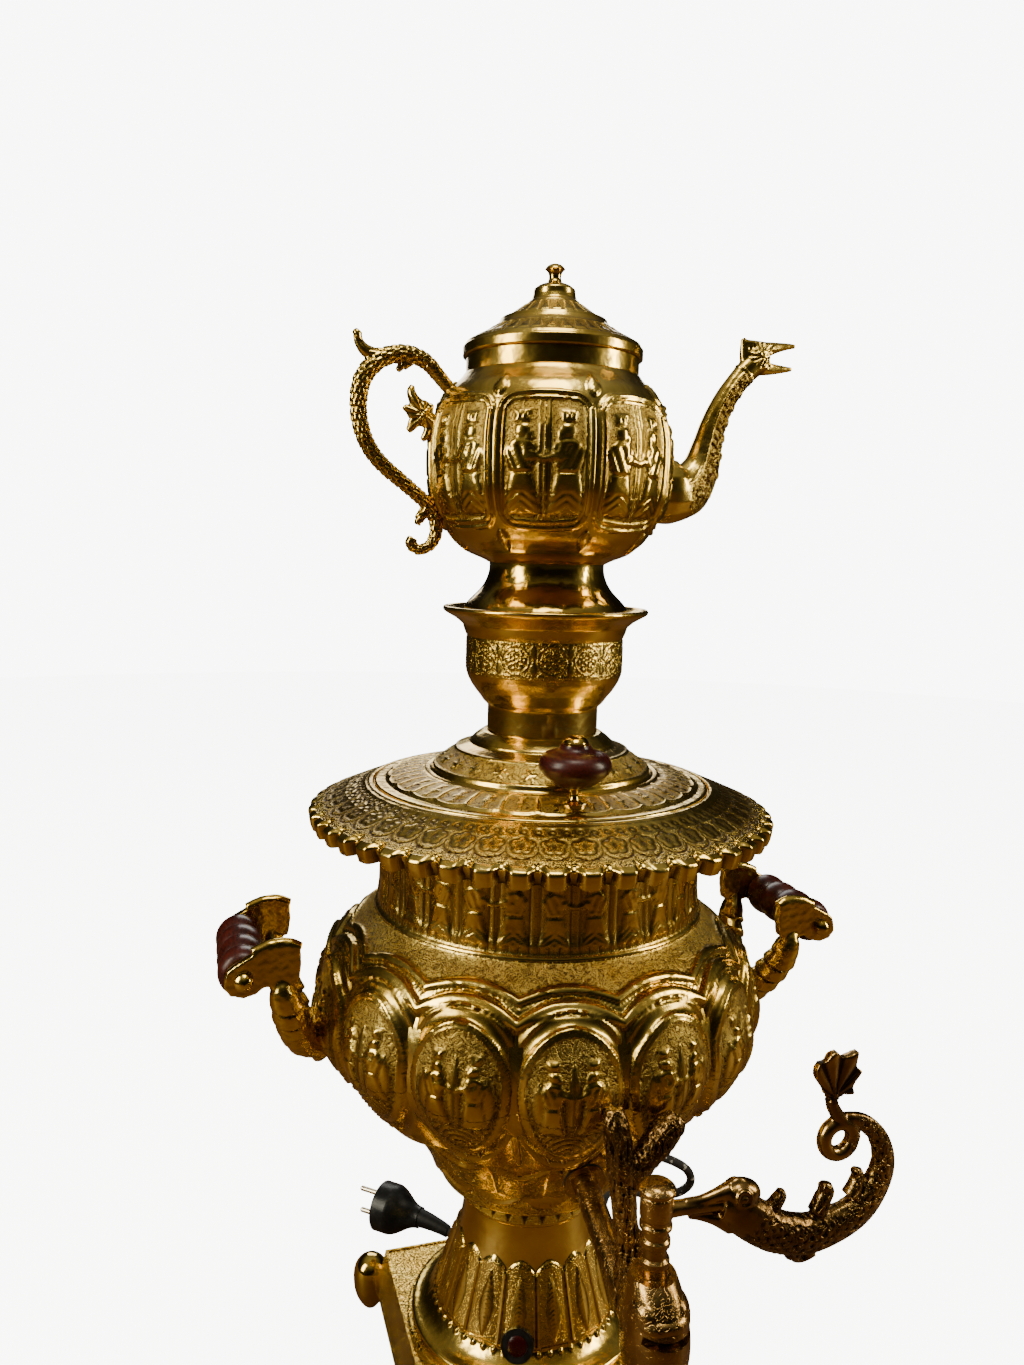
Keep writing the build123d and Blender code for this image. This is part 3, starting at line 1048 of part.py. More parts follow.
stem_foot = KNOB_STEM_FOOT_R
stem_runs = [[(0, knob_seat - 4), (stem_foot, knob_seat - 4)],
             [(stem_foot, knob_seat - 4), (stem_foot, knob_seat)],
             [(stem_foot, knob_seat), (0.45 * stem_foot, knob_seat + 2), (KNOB_STEM_R, knob_seat + 5)],
             [(KNOB_STEM_R, knob_seat + 5), (KNOB_STEM_R, knob_low - 2)],
             [(KNOB_STEM_R, knob_low - 2), (2.4 * KNOB_STEM_R, knob_low - 1)],
             [(2.4 * KNOB_STEM_R, knob_low - 1), (2.4 * KNOB_STEM_R, knob_low)],
             [(2.4 * KNOB_STEM_R, knob_low), (KNOB_STEM_R, knob_low)],
             [(KNOB_STEM_R, knob_low), (KNOB_STEM_R, knob_top)], [(KNOB_STEM_R, knob_top), (0, knob_top)]]
stem_body = turned(stem_runs)
stem_nut_top = LID_BASE + KNOB_SEAT - 4.6
stem_tail = post(KNOB_STEM_R, stem_nut_top - NUT_HEIGHT - 1, knob_seat)
nodes["lid_knob_stems"] = group(Pos(x, y, 0) * stem_body - lid_clear + Pos(x, y, 0) * stem_tail
                                for x, y in knob_spots)
nodes["lid_knob_nuts"] = group(Pos(x, y, stem_nut_top - NUT_HEIGHT)
                               * hexagon_nut(NUT_ACROSS, NUT_HEIGHT, KNOB_STEM_R + RUNNING)
                               for x, y in knob_spots)
knob_runs = [[(KNOB_BORE_R, 0), (0.42 * KNOB_R, 0)],
             [(0.42 * KNOB_R, 0), (0.80 * KNOB_R, 0.22 * KNOB_HEIGHT), (KNOB_R, 0.52 * KNOB_HEIGHT),
              (0.86 * KNOB_R, 0.76 * KNOB_HEIGHT), (0.5 * KNOB_R, 0.88 * KNOB_HEIGHT),
              (0.40 * KNOB_R, KNOB_HEIGHT)],
             [(0.40 * KNOB_R, KNOB_HEIGHT), (KNOB_BORE_R, KNOB_HEIGHT)],
             [(KNOB_BORE_R, KNOB_HEIGHT), (KNOB_BORE_R, 0)]]
nodes["lid_knobs"] = group(Pos(x, y, knob_low) * turned(knob_runs) for x, y in knob_spots)
knob_cap_runs = [[(0, 0), (KNOB_CAP_R, 0)], [(KNOB_CAP_R, 0), (KNOB_CAP_R, 1.2)],
                 [(KNOB_CAP_R, 1.2), (0.7 * KNOB_CAP_R, 0.8 * KNOB_CAP_HEIGHT), (0, KNOB_CAP_HEIGHT)]]
nodes["lid_knob_caps"] = group(Pos(x, y, knob_top) * turned(knob_cap_runs) for x, y in knob_spots)

# ---- crown -------------------------------------------------------------------------------------
crown_r = CHIMNEY_R + GAP + CROWN_WALL
band_low = (CROWN_BAND_R, CROWN_BAND_LOW)
band_high = (CROWN_BAND_R, CROWN_BAND_HIGH)
throat = (CROWN_THROAT_R, CROWN_THROAT_HEIGHT)
crown_rim = (CROWN_RIM_R, CROWN_RIM_HEIGHT)
crown_runs = lifted(straight((crown_r, 0), (crown_r, CROWN_SLEEVE_HEIGHT))
                    + curve((crown_r, CROWN_SLEEVE_HEIGHT), band_low,
                            ((0.22, 0.13), (0.60, 0.47), (0.92, 0.81)))
                    + straight(band_low, band_high, (CROWN_BAND_R + 0.8, CROWN_BAND_HIGH + 0.8), throat,
                               (CROWN_THROAT_R + 4, CROWN_THROAT_HEIGHT + 3.4),
                               (CROWN_RIM_R - 0.9, CROWN_RIM_HEIGHT - 1.9),
                               crown_rim, (CROWN_RIM_R - 0.3, CROWN_RIM_HEIGHT + 1.8)), CROWN_BASE)
nodes["crown_body"] = spun(crown_runs, CROWN_WALL)
plate_z = CROWN_BASE + CROWN_PLATE_HEIGHT
plate_r = radius_at(inset(crown_runs, CROWN_WALL), plate_z) - SEAT
nodes["crown_plate"] = post(plate_r, plate_z, POT_BASE) - post(STEAM_HOLE_R, plate_z - 1, POT_BASE + 1)

# ---- teapot ------------------------------------------------------------------------------------
pot_foot_runs = lifted(straight((POT_FOOT_R, 0), (POT_FOOT_R, 4))
                       + curve((POT_FOOT_R, 4), (POT_FOOT_WAIST_R, POT_FOOT_HEIGHT),
                               ((0.2, 0.15), (0.65, 0.41), (0.93, 0.69))), POT_BASE)
nodes["teapot_foot"] = spun(pot_foot_runs, SHEET)
pot_waist = (POT_FOOT_WAIST_R, 0)
pot_belly = (POT_R, POT_BELLY_HEIGHT)
pot_shoulder = (POT_SHOULDER_R, POT_HEIGHT)
pot_collar = (POT_COLLAR_R, POT_HEIGHT)
pot_runs = lifted(straight((0, 0), pot_waist)
                  + curve(pot_waist, pot_belly, POT_SHAPE)
                  + curve(pot_belly, pot_shoulder, POT_SHOULDER_SHAPE)
                  + straight(pot_shoulder, pot_collar, (POT_COLLAR_R, POT_HEIGHT + POT_COLLAR_HEIGHT)),
                  POT_BODY_BASE)
pot_clear = filled(pot_runs, SEAT)
pot = spun(pot_runs, POT_WALL)
spout_root_z = POT_BODY_BASE + 0.427 * POT_HEIGHT
for hole_angle in range(0, 360, 60):
    hole_y = STRAINER_RING_R * math.cos(math.radians(hole_angle))
    hole_z = spout_root_z + STRAINER_RING_R * math.sin(math.radians(hole_angle))
    pot -= pipe_between((POT_R / 2, hole_y, hole_z), (POT_R + 1, hole_y, hole_z), STRAINER_HOLE_R)
pot -= pipe_between((POT_R / 2, 0, spout_root_z), (POT_R + 1, 0, spout_root_z), STRAINER_HOLE_R)
nodes["teapot_body"] = pot

# how far out of the belly, share of the body's height, radius, width as a share of it
SPOUT = ((-9.0, 0.414, 21, 0.75), (7.0, 0.423, 20.5, 0.75), (20.0, 0.455, 16, 0.8),
         (28.0, 0.564, 12, 0.85), (31.5, 0.691, 9.6, 0.9), (35.0, 0.809, 8.3, 0.95),
         (41.5, 0.941, 7.3, 1), (50.5, 1.059, 6.8, 1), (60.0, 1.145, 7.2, 0.95),
         (68.0, 1.191, 6.4, 0.9))
SPOUT_BORE = SPOUT[:-1] + ((70.0, 1.203, 5.4, 0.9),)
UPPER_JAW = ((64.0, 1.245), (73.0, 1.268), (90.2, 1.291), (90.0, 1.262), (75.0, 1.209),
             (66.0, 1.191))
LOWER_JAW = ((66.0, 1.164), (74.0, 1.186), (89.0, 1.173), (88.0, 1.145), (74.0, 1.123),
             (65.0, 1.127))
HORNS = ((53.0, 1.182), (51.0, 1.291), (56.0, 1.305), (63.0, 1.227))


def pot_spot(out, up, side=1):
    """The (x, z) place of a point outside the pot; side is -1 where the handle is."""
    return (side * (POT_R + out), POT_BODY_BASE + up * POT_HEIGHT)


spout = flowing([(*pot_spot(out, up), r, flat) for out, up, r, flat in SPOUT])
spout -= flowing([(*pot_spot(out, up), r - SPOUT_WALL, flat) for out, up, r, flat in SPOUT_BORE])
for jaw in (UPPER_JAW, LOWER_JAW):
    spout += plate_xz([pot_spot(out, up) for out, up in jaw], 0, JAW_WIDTH)
spout += plate_xz([pot_spot(out, up) for out, up in HORNS], 0, HORN_WIDTH)
throat_x, throat_z = pot_spot(60.0, 1.145)
mouth_x, mouth_z = pot_spot(77.0, 1.218)
spout -= pipe_between((throat_x, 0, throat_z), (mouth_x, 0, mouth_z), MOUTH_BORE_R)
nodes["teapot_spout"] = spout - pot_clear

HANDLE_LINE = ((-13.0, 0.882), (-5.0, 0.955), (4.4, 1.041), (16.0, 1.068), (30.0, 1.027),
               (40.0, 0.900), (42.3, 0.764), (37.4, 0.596), (26.3, 0.478), (9.8, 0.361),
               (-0.8, 0.264), (-3.4, 0.155), (0.5, 0.077), (8.5, 0.064), (11.5, 0.105))
handle_places = [pot_spot(out, up, -1) for out, up in HANDLE_LINE]
handle_path = Spline([(x, 0, z) for x, z in handle_places])
handle_start = Plane(origin=handle_path @ 0, z_dir=handle_path % 0)
pot_handle = sweep(handle_start * Circle(HANDLE_TUBE_R), path=handle_path)
HANDLE_LEAF = ((28.0, 1.018), (35.0, 1.073), (46.0, 1.114), (44.5, 1.159), (32.0, 1.109),
               (22.0, 1.055))
INNER_LEAF = ((-3.0, 0.718), (5.0, 0.709), (14.0, 0.700), (11.0, 0.836), (3.0, 0.864), (-5.0, 0.845))
pot_handle += plate_xz([pot_spot(out, up, -1) for out, up in HANDLE_LEAF], 0, LEAF_THICKNESS)
inner_leaf = plate_xz([pot_spot(out, up, -1) for out, up in INNER_LEAF], 0, LEAF_THICKNESS) - pot_clear
nodes["teapot_handle"] = pot_handle - pot_clear
nodes["teapot_handle_leaf"] = inner_leaf

# ---- teapot lid --------------------------------------------------------------------------------
lid_top = (0.15 * POT_LID_R, POT_LID_HEIGHT - 1)
pot_lid_runs = lifted(straight((POT_LID_R, 0), (POT_LID_R, POT_LID_BRIM), (POT_LID_R - 2, POT_LID_BRIM + 2))
                      + curve((POT_LID_R - 2, POT_LID_BRIM + 2), (0.58 * POT_LID_R, 22.5),
                              ((0.38, 0.28), (0.63, 0.48), (0.88, 0.76)))
                      + curve((0.58 * POT_LID_R, 22.5), (0.24 * POT_LID_R, 36.0),
                              ((0.38, 0.30), (0.88, 0.73)))
                      + straight((0.24 * POT_LID_R, 36.0), (0.23 * POT_LID_R, 40.0), lid_top,
                                 (POT_KNOB_STUB_R + HOLE_GAP, POT_LID_HEIGHT)), POT_LID_BASE)
pot_lid = spun(pot_lid_runs, POT_WALL)
spigot_r = POT_COLLAR_R - POT_WALL - GAP
pot_lid += post(POT_LID_R - POT_WALL / 2, POT_LID_BASE, POT_LID_BASE + POT_WALL) \
    - post(spigot_r - POT_WALL, POT_LID_BASE - 1, POT_LID_BASE + 2 * POT_WALL)
pot_lid += post(spigot_r, POT_LID_BASE - POT_LID_SPIGOT, POT_LID_BASE + POT_WALL) \
    - post(spigot_r - POT_WALL, POT_LID_BASE - POT_LID_SPIGOT - 1, POT_LID_BASE + 2 * POT_WALL)
nodes["teapot_lid"] = pot_lid
knob_z = POT_LID_BASE + POT_LID_HEIGHT
pot_knob_runs = [[(0, -5), (POT_KNOB_STUB_R, -5)], [(POT_KNOB_STUB_R, -5), (POT_KNOB_STUB_R, 0)],
                 [(POT_KNOB_STUB_R, 0), (POT_KNOB_NECK_R + 1.2, 0)],
                 [(POT_KNOB_NECK_R + 1.2, 0), (POT_KNOB_NECK_R, 2), (POT_KNOB_NECK_R, 5),
                  (POT_KNOB_R, POT_KNOB_HEIGHT - 3)],
                 [(POT_KNOB_R, POT_KNOB_HEIGHT - 3), (0.6 * POT_KNOB_R, POT_KNOB_HEIGHT - 0.6),
                  (0, POT_KNOB_HEIGHT)]]
nodes["teapot_lid_knob"] = turned(lifted(pot_knob_runs, knob_z))
nodes["teapot_lid_nut"] = Pos(0, 0, knob_z - POT_WALL - 3) * hexagon_nut(5.5, 2.4, POT_KNOB_STUB_R + RUNNING)

# ---- place and write ---------------------------------------------------------------------------
CORD_NODES = ("power_cord", "cord_coil", "coil_tie", "plug_body", "plug_relief", "plug_pins")
boxes = [shape.bounding_box() for name, shape in nodes.items() if name not in CORD_NODES]
front = min(box.min.Y for box in boxes)
back = max(box.max.Y for box in boxes)
left = min(box.min.X for box in boxes)
right = max(box.max.X for box in boxes)
depth_shift = -(front + back) / 2
print("moved along Y by", round(depth_shift, 4), "width", round(left, 3), round(right, 3),
      "ground", round(min(box.min.Z for box in boxes), 4), "top", round(max(box.max.Z for box in boxes), 3))
for name, shape in nodes.items():
    export_step(Pos(0, depth_shift, 0) * shape, f"parts/{name}.step")
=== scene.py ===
"""A gold-plated, chased electric samovar with its teapot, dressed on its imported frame.

Each sub-assembly is a class that holds its own sizes in millimetres and builds, chases and
dresses its pieces. Every piece stays where the frame's nodes are.
"""

from __future__ import annotations

import json
import logging
import math
from dataclasses import dataclass, field
from enum import Enum
from functools import cache
from typing import Callable, Optional, Sequence, Union

import bpy
import numpy as np
from mathutils import Matrix, Vector

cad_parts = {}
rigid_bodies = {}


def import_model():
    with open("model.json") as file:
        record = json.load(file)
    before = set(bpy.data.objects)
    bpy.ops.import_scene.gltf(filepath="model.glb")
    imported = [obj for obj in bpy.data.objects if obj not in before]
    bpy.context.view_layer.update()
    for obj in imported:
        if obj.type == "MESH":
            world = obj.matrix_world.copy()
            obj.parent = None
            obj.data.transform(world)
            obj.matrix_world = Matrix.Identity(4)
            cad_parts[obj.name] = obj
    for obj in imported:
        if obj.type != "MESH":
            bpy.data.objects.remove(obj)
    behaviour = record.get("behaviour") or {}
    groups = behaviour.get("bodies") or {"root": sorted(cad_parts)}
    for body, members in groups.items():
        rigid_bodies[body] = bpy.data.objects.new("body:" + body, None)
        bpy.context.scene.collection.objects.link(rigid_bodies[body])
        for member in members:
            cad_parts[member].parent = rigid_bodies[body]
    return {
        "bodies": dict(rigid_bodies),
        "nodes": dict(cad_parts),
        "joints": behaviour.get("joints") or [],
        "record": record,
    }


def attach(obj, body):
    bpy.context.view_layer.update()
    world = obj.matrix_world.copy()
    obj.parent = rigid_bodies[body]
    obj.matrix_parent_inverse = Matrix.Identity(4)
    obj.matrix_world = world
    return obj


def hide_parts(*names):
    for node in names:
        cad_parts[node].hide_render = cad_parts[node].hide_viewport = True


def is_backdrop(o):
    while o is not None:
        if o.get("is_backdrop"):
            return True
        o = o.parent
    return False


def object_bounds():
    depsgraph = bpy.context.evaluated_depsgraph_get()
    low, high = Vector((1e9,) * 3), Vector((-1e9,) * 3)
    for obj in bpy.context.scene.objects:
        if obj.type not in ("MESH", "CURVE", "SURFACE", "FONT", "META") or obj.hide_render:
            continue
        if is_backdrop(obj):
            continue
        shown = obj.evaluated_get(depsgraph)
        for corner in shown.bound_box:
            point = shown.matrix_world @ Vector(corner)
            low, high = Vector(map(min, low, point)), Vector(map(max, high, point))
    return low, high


LOG = logging.getLogger("samovar")

MM = 0.001
TURN = 2.0 * math.pi
AXIS_Y = 35.5247
AXIS = np.array([0.0, AXIS_Y, 0.0])
LOBES = 14
LOBE_CENTRE = math.radians(-99.65)
CHUNK = 8192

Array = np.ndarray
Point = tuple[float, float, float]
Profile = tuple[tuple[float, float], ...]
Rows = tuple[Point, ...]
Limbs = tuple[tuple[str, Rows], ...]
Line = Sequence[Sequence[float]]
Piece = bpy.types.Object
Value = Union["Signal", float, int]


class Body(str, Enum):
    """The frame's bodies, by the names that pieces ride on."""

    SAMOVAR = "samovar"
    KEY = "tap_turn"
    LID = "lid"
    CROWN = "crown"
    TEAPOT = "teapot"
    TEAPOT_COVER = "teapot_cover"


# ---- shader wiring


class Signal:
    """A shader socket that takes part in Python arithmetic."""

    def __init__(self, wiring: "Wiring", socket: bpy.types.NodeSocket) -> None:
        """Wraps one output socket of a material's tree."""
        self.wiring = wiring
        self.socket = socket

    def __add__(self, other: Value) -> "Signal":
        """Sum of two numbers."""
        return self.wiring.math("ADD", self, other)

    def __sub__(self, other: Value) -> "Signal":
        """Difference of two numbers."""
        return self.wiring.math("SUBTRACT", self, other)

    def __rsub__(self, other: Value) -> "Signal":
        """Difference with a plain number first."""
        return self.wiring.math("SUBTRACT", other, self)

    def __mul__(self, other: Value) -> "Signal":
        """Product of two numbers."""
        return self.wiring.math("MULTIPLY", self, other)

    def __abs__(self) -> "Signal":
        """Distance from nought."""
        return self.wiring.math("ABSOLUTE", self)

    __radd__ = __add__
    __rmul__ = __mul__

    def fract(self) -> "Signal":
        """The part after the decimal point."""
        return self.wiring.math("FRACT", self)

    def at_most(self, other: Value) -> "Signal":
        """The smaller of two numbers."""
        return self.wiring.math("MINIMUM", self, other)

    def at_least(self, other: Value) -> "Signal":
        """The larger of two numbers."""
        return self.wiring.math("MAXIMUM", self, other)


class Wiring:
    """The node tree of one material."""

    def __init__(self, name: str) -> None:
        """Starts an empty material.

        Args:
            name: The finish's name.
        """
        self.material = bpy.data.materials.new(name)
        self.material.use_nodes = True
        self.tree = self.material.node_tree
        self.tree.nodes.clear()

    def node(
        self,
        kind: str,
        settings: Optional[dict[str, object]] = None,
        inputs: Optional[dict[Union[str, int], object]] = None,
    ) -> bpy.types.Node:
        """Adds one node.

        Args:
            kind: The node's type, without its ShaderNode prefix.
            settings: Properties that are set before the sockets.
            inputs: Values or links by the socket's name or number.

        Returns:
            The new node.
        """
        made = self.tree.nodes.new("ShaderNode" + kind)
        for key, value in (settings or {}).items():
            setattr(made, key, value)
        for key, value in (inputs or {}).items():
            if isinstance(value, Signal):
                self.tree.links.new(value.socket, made.inputs[key])
            else:
                made.inputs[key].default_value = value
        return made

    def out(self, made: bpy.types.Node, name: Union[str, int] = 0) -> Signal:
        """Wraps one output of a node."""
        return Signal(self, made.outputs[name])

    def math(self, operation: str, *values: Value) -> Signal:
        """Adds a Math node on up to three values."""
        return self.out(self.node("Math", {"operation": operation}, dict(enumerate(values))))

    def mix(self, factor: Value, low: object, high: object) -> Signal:
        """Mixes two colours.

        Args:
            factor: Nought for the first, one for the second.
            low: The first colour or link.
            high: The second colour or link.

        Returns:
            The mixed colour.
        """
        inputs = {0: factor, 6: low, 7: high}
        return self.out(self.node("Mix", {"data_type": "RGBA"}, inputs), 2)

    def place(self) -> Signal:
        """The piece's own coordinates, in metres."""
        return self.out(self.node("TexCoord"), "Object")

    def work(self) -> tuple[Signal, Signal, Signal]:
        """The chaser's marks: how much painted shade a place gets, where it is stippled and where engraved."""
        marks = self.node("Attribute", {"attribute_name": "chased"})
        parts = self.node("SeparateColor", None, {0: self.out(marks, "Color")})
        return self.out(parts, 0), self.out(parts, 1), self.out(parts, 2)

    def smooth(self, value: Value, low: float, high: float, first: float = 0.0, last: float = 1.0) -> Signal:
        """Maps a value between two limits onto two results, eased at both ends."""
        settings = {"interpolation_type": "SMOOTHSTEP"}
        return self.out(self.node("MapRange", settings, {0: value, 1: low, 2: high, 3: first, 4: last}))

    def noise(self, scale: float, detail: float = 2.0, roughness: float = 0.5, warp: float = 0.0) -> Signal:
        """Cloudy variation over the piece.

        Args:
            scale: Clouds per metre.
            detail: How many finer layers are added.
            roughness: How strong the finer layers are.
            warp: How much the clouds are twisted.

        Returns:
            A number from nought to one.
        """
        inputs = {"Vector": self.place(), "Scale": scale, "Detail": detail, "Roughness": roughness, "Distortion": warp}
        return self.out(self.node("TexNoise", None, inputs))

    def pits(self, scale: float) -> Signal:
        """Distance from the middle of the nearest punch mark."""
        inputs = {"Vector": self.place(), "Scale": scale, "Randomness": 0.75}
        return self.out(self.node("TexVoronoi", {"feature": "F1"}, inputs), "Distance")

    def bump(self, height: Value, depth: float, under: Optional[Signal] = None) -> Signal:
        """Turns a height into a normal.

        Args:
            height: The height, about nought to one.
            depth: Millimetres that a height of one stands for.
            under: A normal that this one is laid over.

        Returns:
            The new normal.
        """
        inputs: dict[Union[str, int], object] = {"Height": height, "Strength": 1.0, "Distance": depth * MM}
        if under is not None:
            inputs["Normal"] = under
        return self.out(self.node("Bump", None, inputs))

    def surface(self, **sockets: object) -> bpy.types.Material:
        """Ends the tree in a Principled shader.

        Args:
            **sockets: Values or links, with underscores for the spaces in the sockets' names.

        Returns:
            The finished material.
        """
        inputs = {key.replace("_", " "): value for key, value in sockets.items()}
        shader = self.node("BsdfPrincipled", None, inputs)
        self.node("OutputMaterial", None, {"Surface": self.out(shader)})
        return self.material


# ---- finishes


@dataclass(frozen=True)
class Plate:
    """Polished metal with painted shade, a warm dark brown, in its hollows.

    A chased plate reads the marks that the chaser left on the mesh.
    """

    name: str
    bright: Point
    warm: Point
    # the colour of the painted shade in the hollows
    painted_shade: Point
    roughness: float = 0.13
    grime: float = 0.10
    chased: bool = False
    engraved: float = 0.0
    slot: str = "gold_plate"

    def build(self) -> bpy.types.Material:
        """Wires the finish.

        Returns:
            The material.
        """
        w = Wiring(self.name)
        cloud = w.smooth(w.noise(19.0, 3.0, 0.6), 0.35, 0.68)
        smear = w.noise(140.0, 4.0, 0.62, 0.6)
        colour = w.mix(cloud, (*self.warm, 1.0), (*self.bright, 1.0))
        ripple = w.noise(95.0, 2.0, 0.5)
        normal = w.bump(ripple, 0.55)
        rough = self.roughness + self.grime * smear
        if self.chased:
            painted_shade_mask, stippled, cut = w.work()
            punch = w.smooth(w.pits(980.0), 0.16, 0.44, 1.0, 0.0) * stippled
            vine = abs((w.noise(130.0, 1.5, 0.45, 0.9) * 7.0).fract() - 0.5)
            line = w.smooth(vine, 0.12, 0.26, 1.0, 0.0) * cut
            hatch = w.smooth(w.noise(1100.0, 2.0, 0.6), 0.42, 0.62) * (stippled + cut * 0.5)
            mark = (punch + line).at_most(1.0)
            # painted shade: the chaser's shade marks, punch pits and engraved lines are darkened towards the shade
            # colour
            dark = (painted_shade_mask * 0.92 + mark * 0.72 + hatch * 0.25).at_most(1.0)
            colour = w.mix(dark, colour, (*self.painted_shade, 1.0))
            rough = rough + 0.12 * stippled + 0.12 * painted_shade_mask
            normal = w.bump(0.0 - mark - hatch * 0.3, 0.34, normal)
        elif self.engraved > 0.0:
            vine = abs((w.noise(190.0, 1.5, 0.45, 0.9) * 7.0).fract() - 0.5)
            line = w.smooth(vine, 0.08, 0.22, 1.0, 0.0)
            pit = w.smooth(w.noise(620.0, 2.0, 0.6), 0.36, 0.5, 1.0, 0.0)
            # painted shade: the engraved lines and pits are darkened towards the shade colour
            dark = (line * 0.7 + pit * 0.4).at_most(1.0) * self.engraved
            colour = w.mix(dark, colour, (*self.painted_shade, 1.0))
            normal = w.bump(0.0 - line - pit * 0.5, 0.55 * self.engraved, normal)
        return w.surface(Base_Color=colour, Metallic=1.0, Roughness=rough, Normal=normal)


@dataclass(frozen=True)
class Wood:
    """Turned wood, stained dark red under lacquer."""

    name: str = "red_wood"
    dark: Point = (0.016, 0.0028, 0.0018)
    light: Point = (0.060, 0.0085, 0.0045)
    slot: str = "red_wood"

    def build(self) -> bpy.types.Material:
        """Wires the finish.

        Returns:
            The material.
        """
        w = Wiring(self.name)
        stretch = w.node("Mapping", None, {"Vector": w.place(), "Scale": (900.0, 90.0, 900.0)})
        inputs = {"Vector": w.out(stretch), "Scale": 1.0, "Detail": 4.0, "Roughness": 0.6}
        grain = w.out(w.node("TexNoise", None, inputs))
        cloud = w.noise(60.0, 2.0, 0.5)
        tone = w.smooth(grain * 0.6 + cloud * 0.4, 0.35, 0.65)
        colour = w.mix(tone, (*self.dark, 1.0), (*self.light, 1.0))
        normal = w.bump(grain, 0.05)
        rough = w.smooth(cloud, 0.3, 0.7, 0.26, 0.36)
        return w.surface(Base_Color=colour, Roughness=rough, Normal=normal, IOR=1.36)


@dataclass(frozen=True)
class Moulded:
    """Moulded plastic or rubber with a faint grain and handling marks."""

    name: str
    colour: Point
    worn: Point
    roughness: float
    slot: str
    grain: float = 0.05
    through: float = 0.0

    def build(self) -> bpy.types.Material:
        """Wires the finish.

        Returns:
            The material.
        """
        w = Wiring(self.name)
        cloud = w.smooth(w.noise(120.0, 4.0, 0.6), 0.42, 0.75)
        fine = w.noise(2600.0, 2.0, 0.5)
        colour = w.mix(cloud, (*self.colour, 1.0), (*self.worn, 1.0))
        rough = self.roughness + 0.12 * cloud
        normal = w.bump(fine, self.grain)
        extra = {"Transmission_Weight": self.through} if self.through else {}
        return w.surface(Base_Color=colour, Roughness=rough, Normal=normal, IOR=1.34, **extra)


@dataclass(frozen=True)
class Braid:
    """A black textile braid with white flecks; it follows the cord's own length."""

    name: str = "cord_braid"
    slot: str = "cord_braid"

    def build(self) -> bpy.types.Material:
        """Wires the finish.

        Returns:
            The material.
        """
        w = Wiring(self.name)
        uv = w.node("SeparateXYZ", None, {0: w.out(w.node("TexCoord"), "UV")})
        along, around = w.out(uv, 0) * 620.0, w.out(uv, 1) * 12.0
        one = abs((along + around).fract() - 0.5) * 2.0
        two = abs((along - around).fract() - 0.5) * 2.0
        weave = one.at_least(two)
        fleck = w.smooth(w.noise(170.0, 1.0, 0.4), 0.60, 0.64) * w.smooth(weave, 0.5, 0.8)
        colour = w.mix(fleck, (0.012, 0.012, 0.013, 1.0), (0.62, 0.6, 0.56, 1.0))
        return w.surface(Base_Color=colour, Roughness=0.78, Normal=w.bump(weave, 0.22))


Finish = Union[Plate, Wood, Moulded, Braid]

GOLD = (0.78, 0.56, 0.13)
AMBER = (0.60, 0.375, 0.055)
# the colour of the painted shade in the hollows
SHADE_UMBER = (0.060, 0.026, 0.005)
PLAIN_GOLD = Plate("gold_plate", GOLD, AMBER, SHADE_UMBER, 0.10, 0.08)
CHASED_GOLD = Plate("chased_gold", GOLD, AMBER, SHADE_UMBER, 0.16, chased=True)
WORKED_GOLD = Plate("worked_gold", GOLD, AMBER, SHADE_UMBER, 0.2, engraved=0.7)
# bronze: a lighter and a darker tone that vary at random, the painted shade's colour in the hollows, roughness and its
# variation
DARK = ((0.47, 0.285, 0.085), (0.17, 0.092, 0.027), (0.012, 0.006, 0.003), 0.17, 0.12)
BRONZE = Plate("antique_bronze", *DARK, engraved=0.1, slot="antique_bronze")
CHASED_BRONZE = Plate("chased_bronze", *DARK, chased=True, slot="antique_bronze")
PLAIN_BRASS = Plate("plain_brass", (0.72, 0.52, 0.2), (0.6, 0.4, 0.12), SHADE_UMBER, 0.25, slot="plain_brass")
STEEL = Plate("steel", (0.6, 0.6, 0.58), (0.45, 0.45, 0.44), (0.1, 0.1, 0.1), 0.3, slot="steel")
NICKEL = Plate("nickel", (0.74, 0.66, 0.5), (0.62, 0.52, 0.36), (0.2, 0.15, 0.1), 0.2, slot="nickel")
RED_WOOD = Wood()
BLACK_PLASTIC = Moulded("black_plastic", (0.004, 0.004, 0.004), (0.012, 0.012, 0.012), 0.3, "black_plastic")
BLACK_RUBBER = Moulded("black_rubber", (0.004, 0.004, 0.004), (0.012, 0.012, 0.012), 0.5, "black_rubber")
RED_LENS = Moulded("red_lens", (0.035, 0.002, 0.002), (0.06, 0.004, 0.003), 0.2, "red_lens", 0.02, 0.35)
SLEEVE = Moulded("lead_sleeve", (0.6, 0.6, 0.55), (0.5, 0.5, 0.45), 0.5, "lead_sleeve")
BRAID = Braid()


@cache
def material_of(finish: Finish) -> bpy.types.Material:
    """The material of a finish, wired once and kept."""
    return finish.build()


# ---- chasing


def step(value: Array, low: float, high: float) -> Array:
    """Eased climb from nought to one between two limits."""
    share = np.clip((value - low) / (high - low), 0.0, 1.0)
    return share * share * (3.0 - 2.0 * share)


def aside(value: Array) -> Array:
    """How far a number lies from the nearest whole one, less than nought below it."""
    return value - np.round(value)


def cord_line(distance: Array, half: float) -> Array:
    """A raised round line, half its width to each side of where the distance is nought."""
    return np.sqrt(np.clip(1.0 - (distance / half) ** 2, 0.0, 1.0))


def dome(x: Array, y: Array, rx: float, ry: float) -> Array:
    """A raised round or oval boss."""
    return np.sqrt(np.clip(1.0 - (x / rx) ** 2 - (y / ry) ** 2, 0.0, 1.0))


def beads(along: Array, across: Array, pitch: float, radius: float) -> Array:
    """A row of round beads."""
    return dome(aside(along / pitch) * pitch, across, radius, radius)


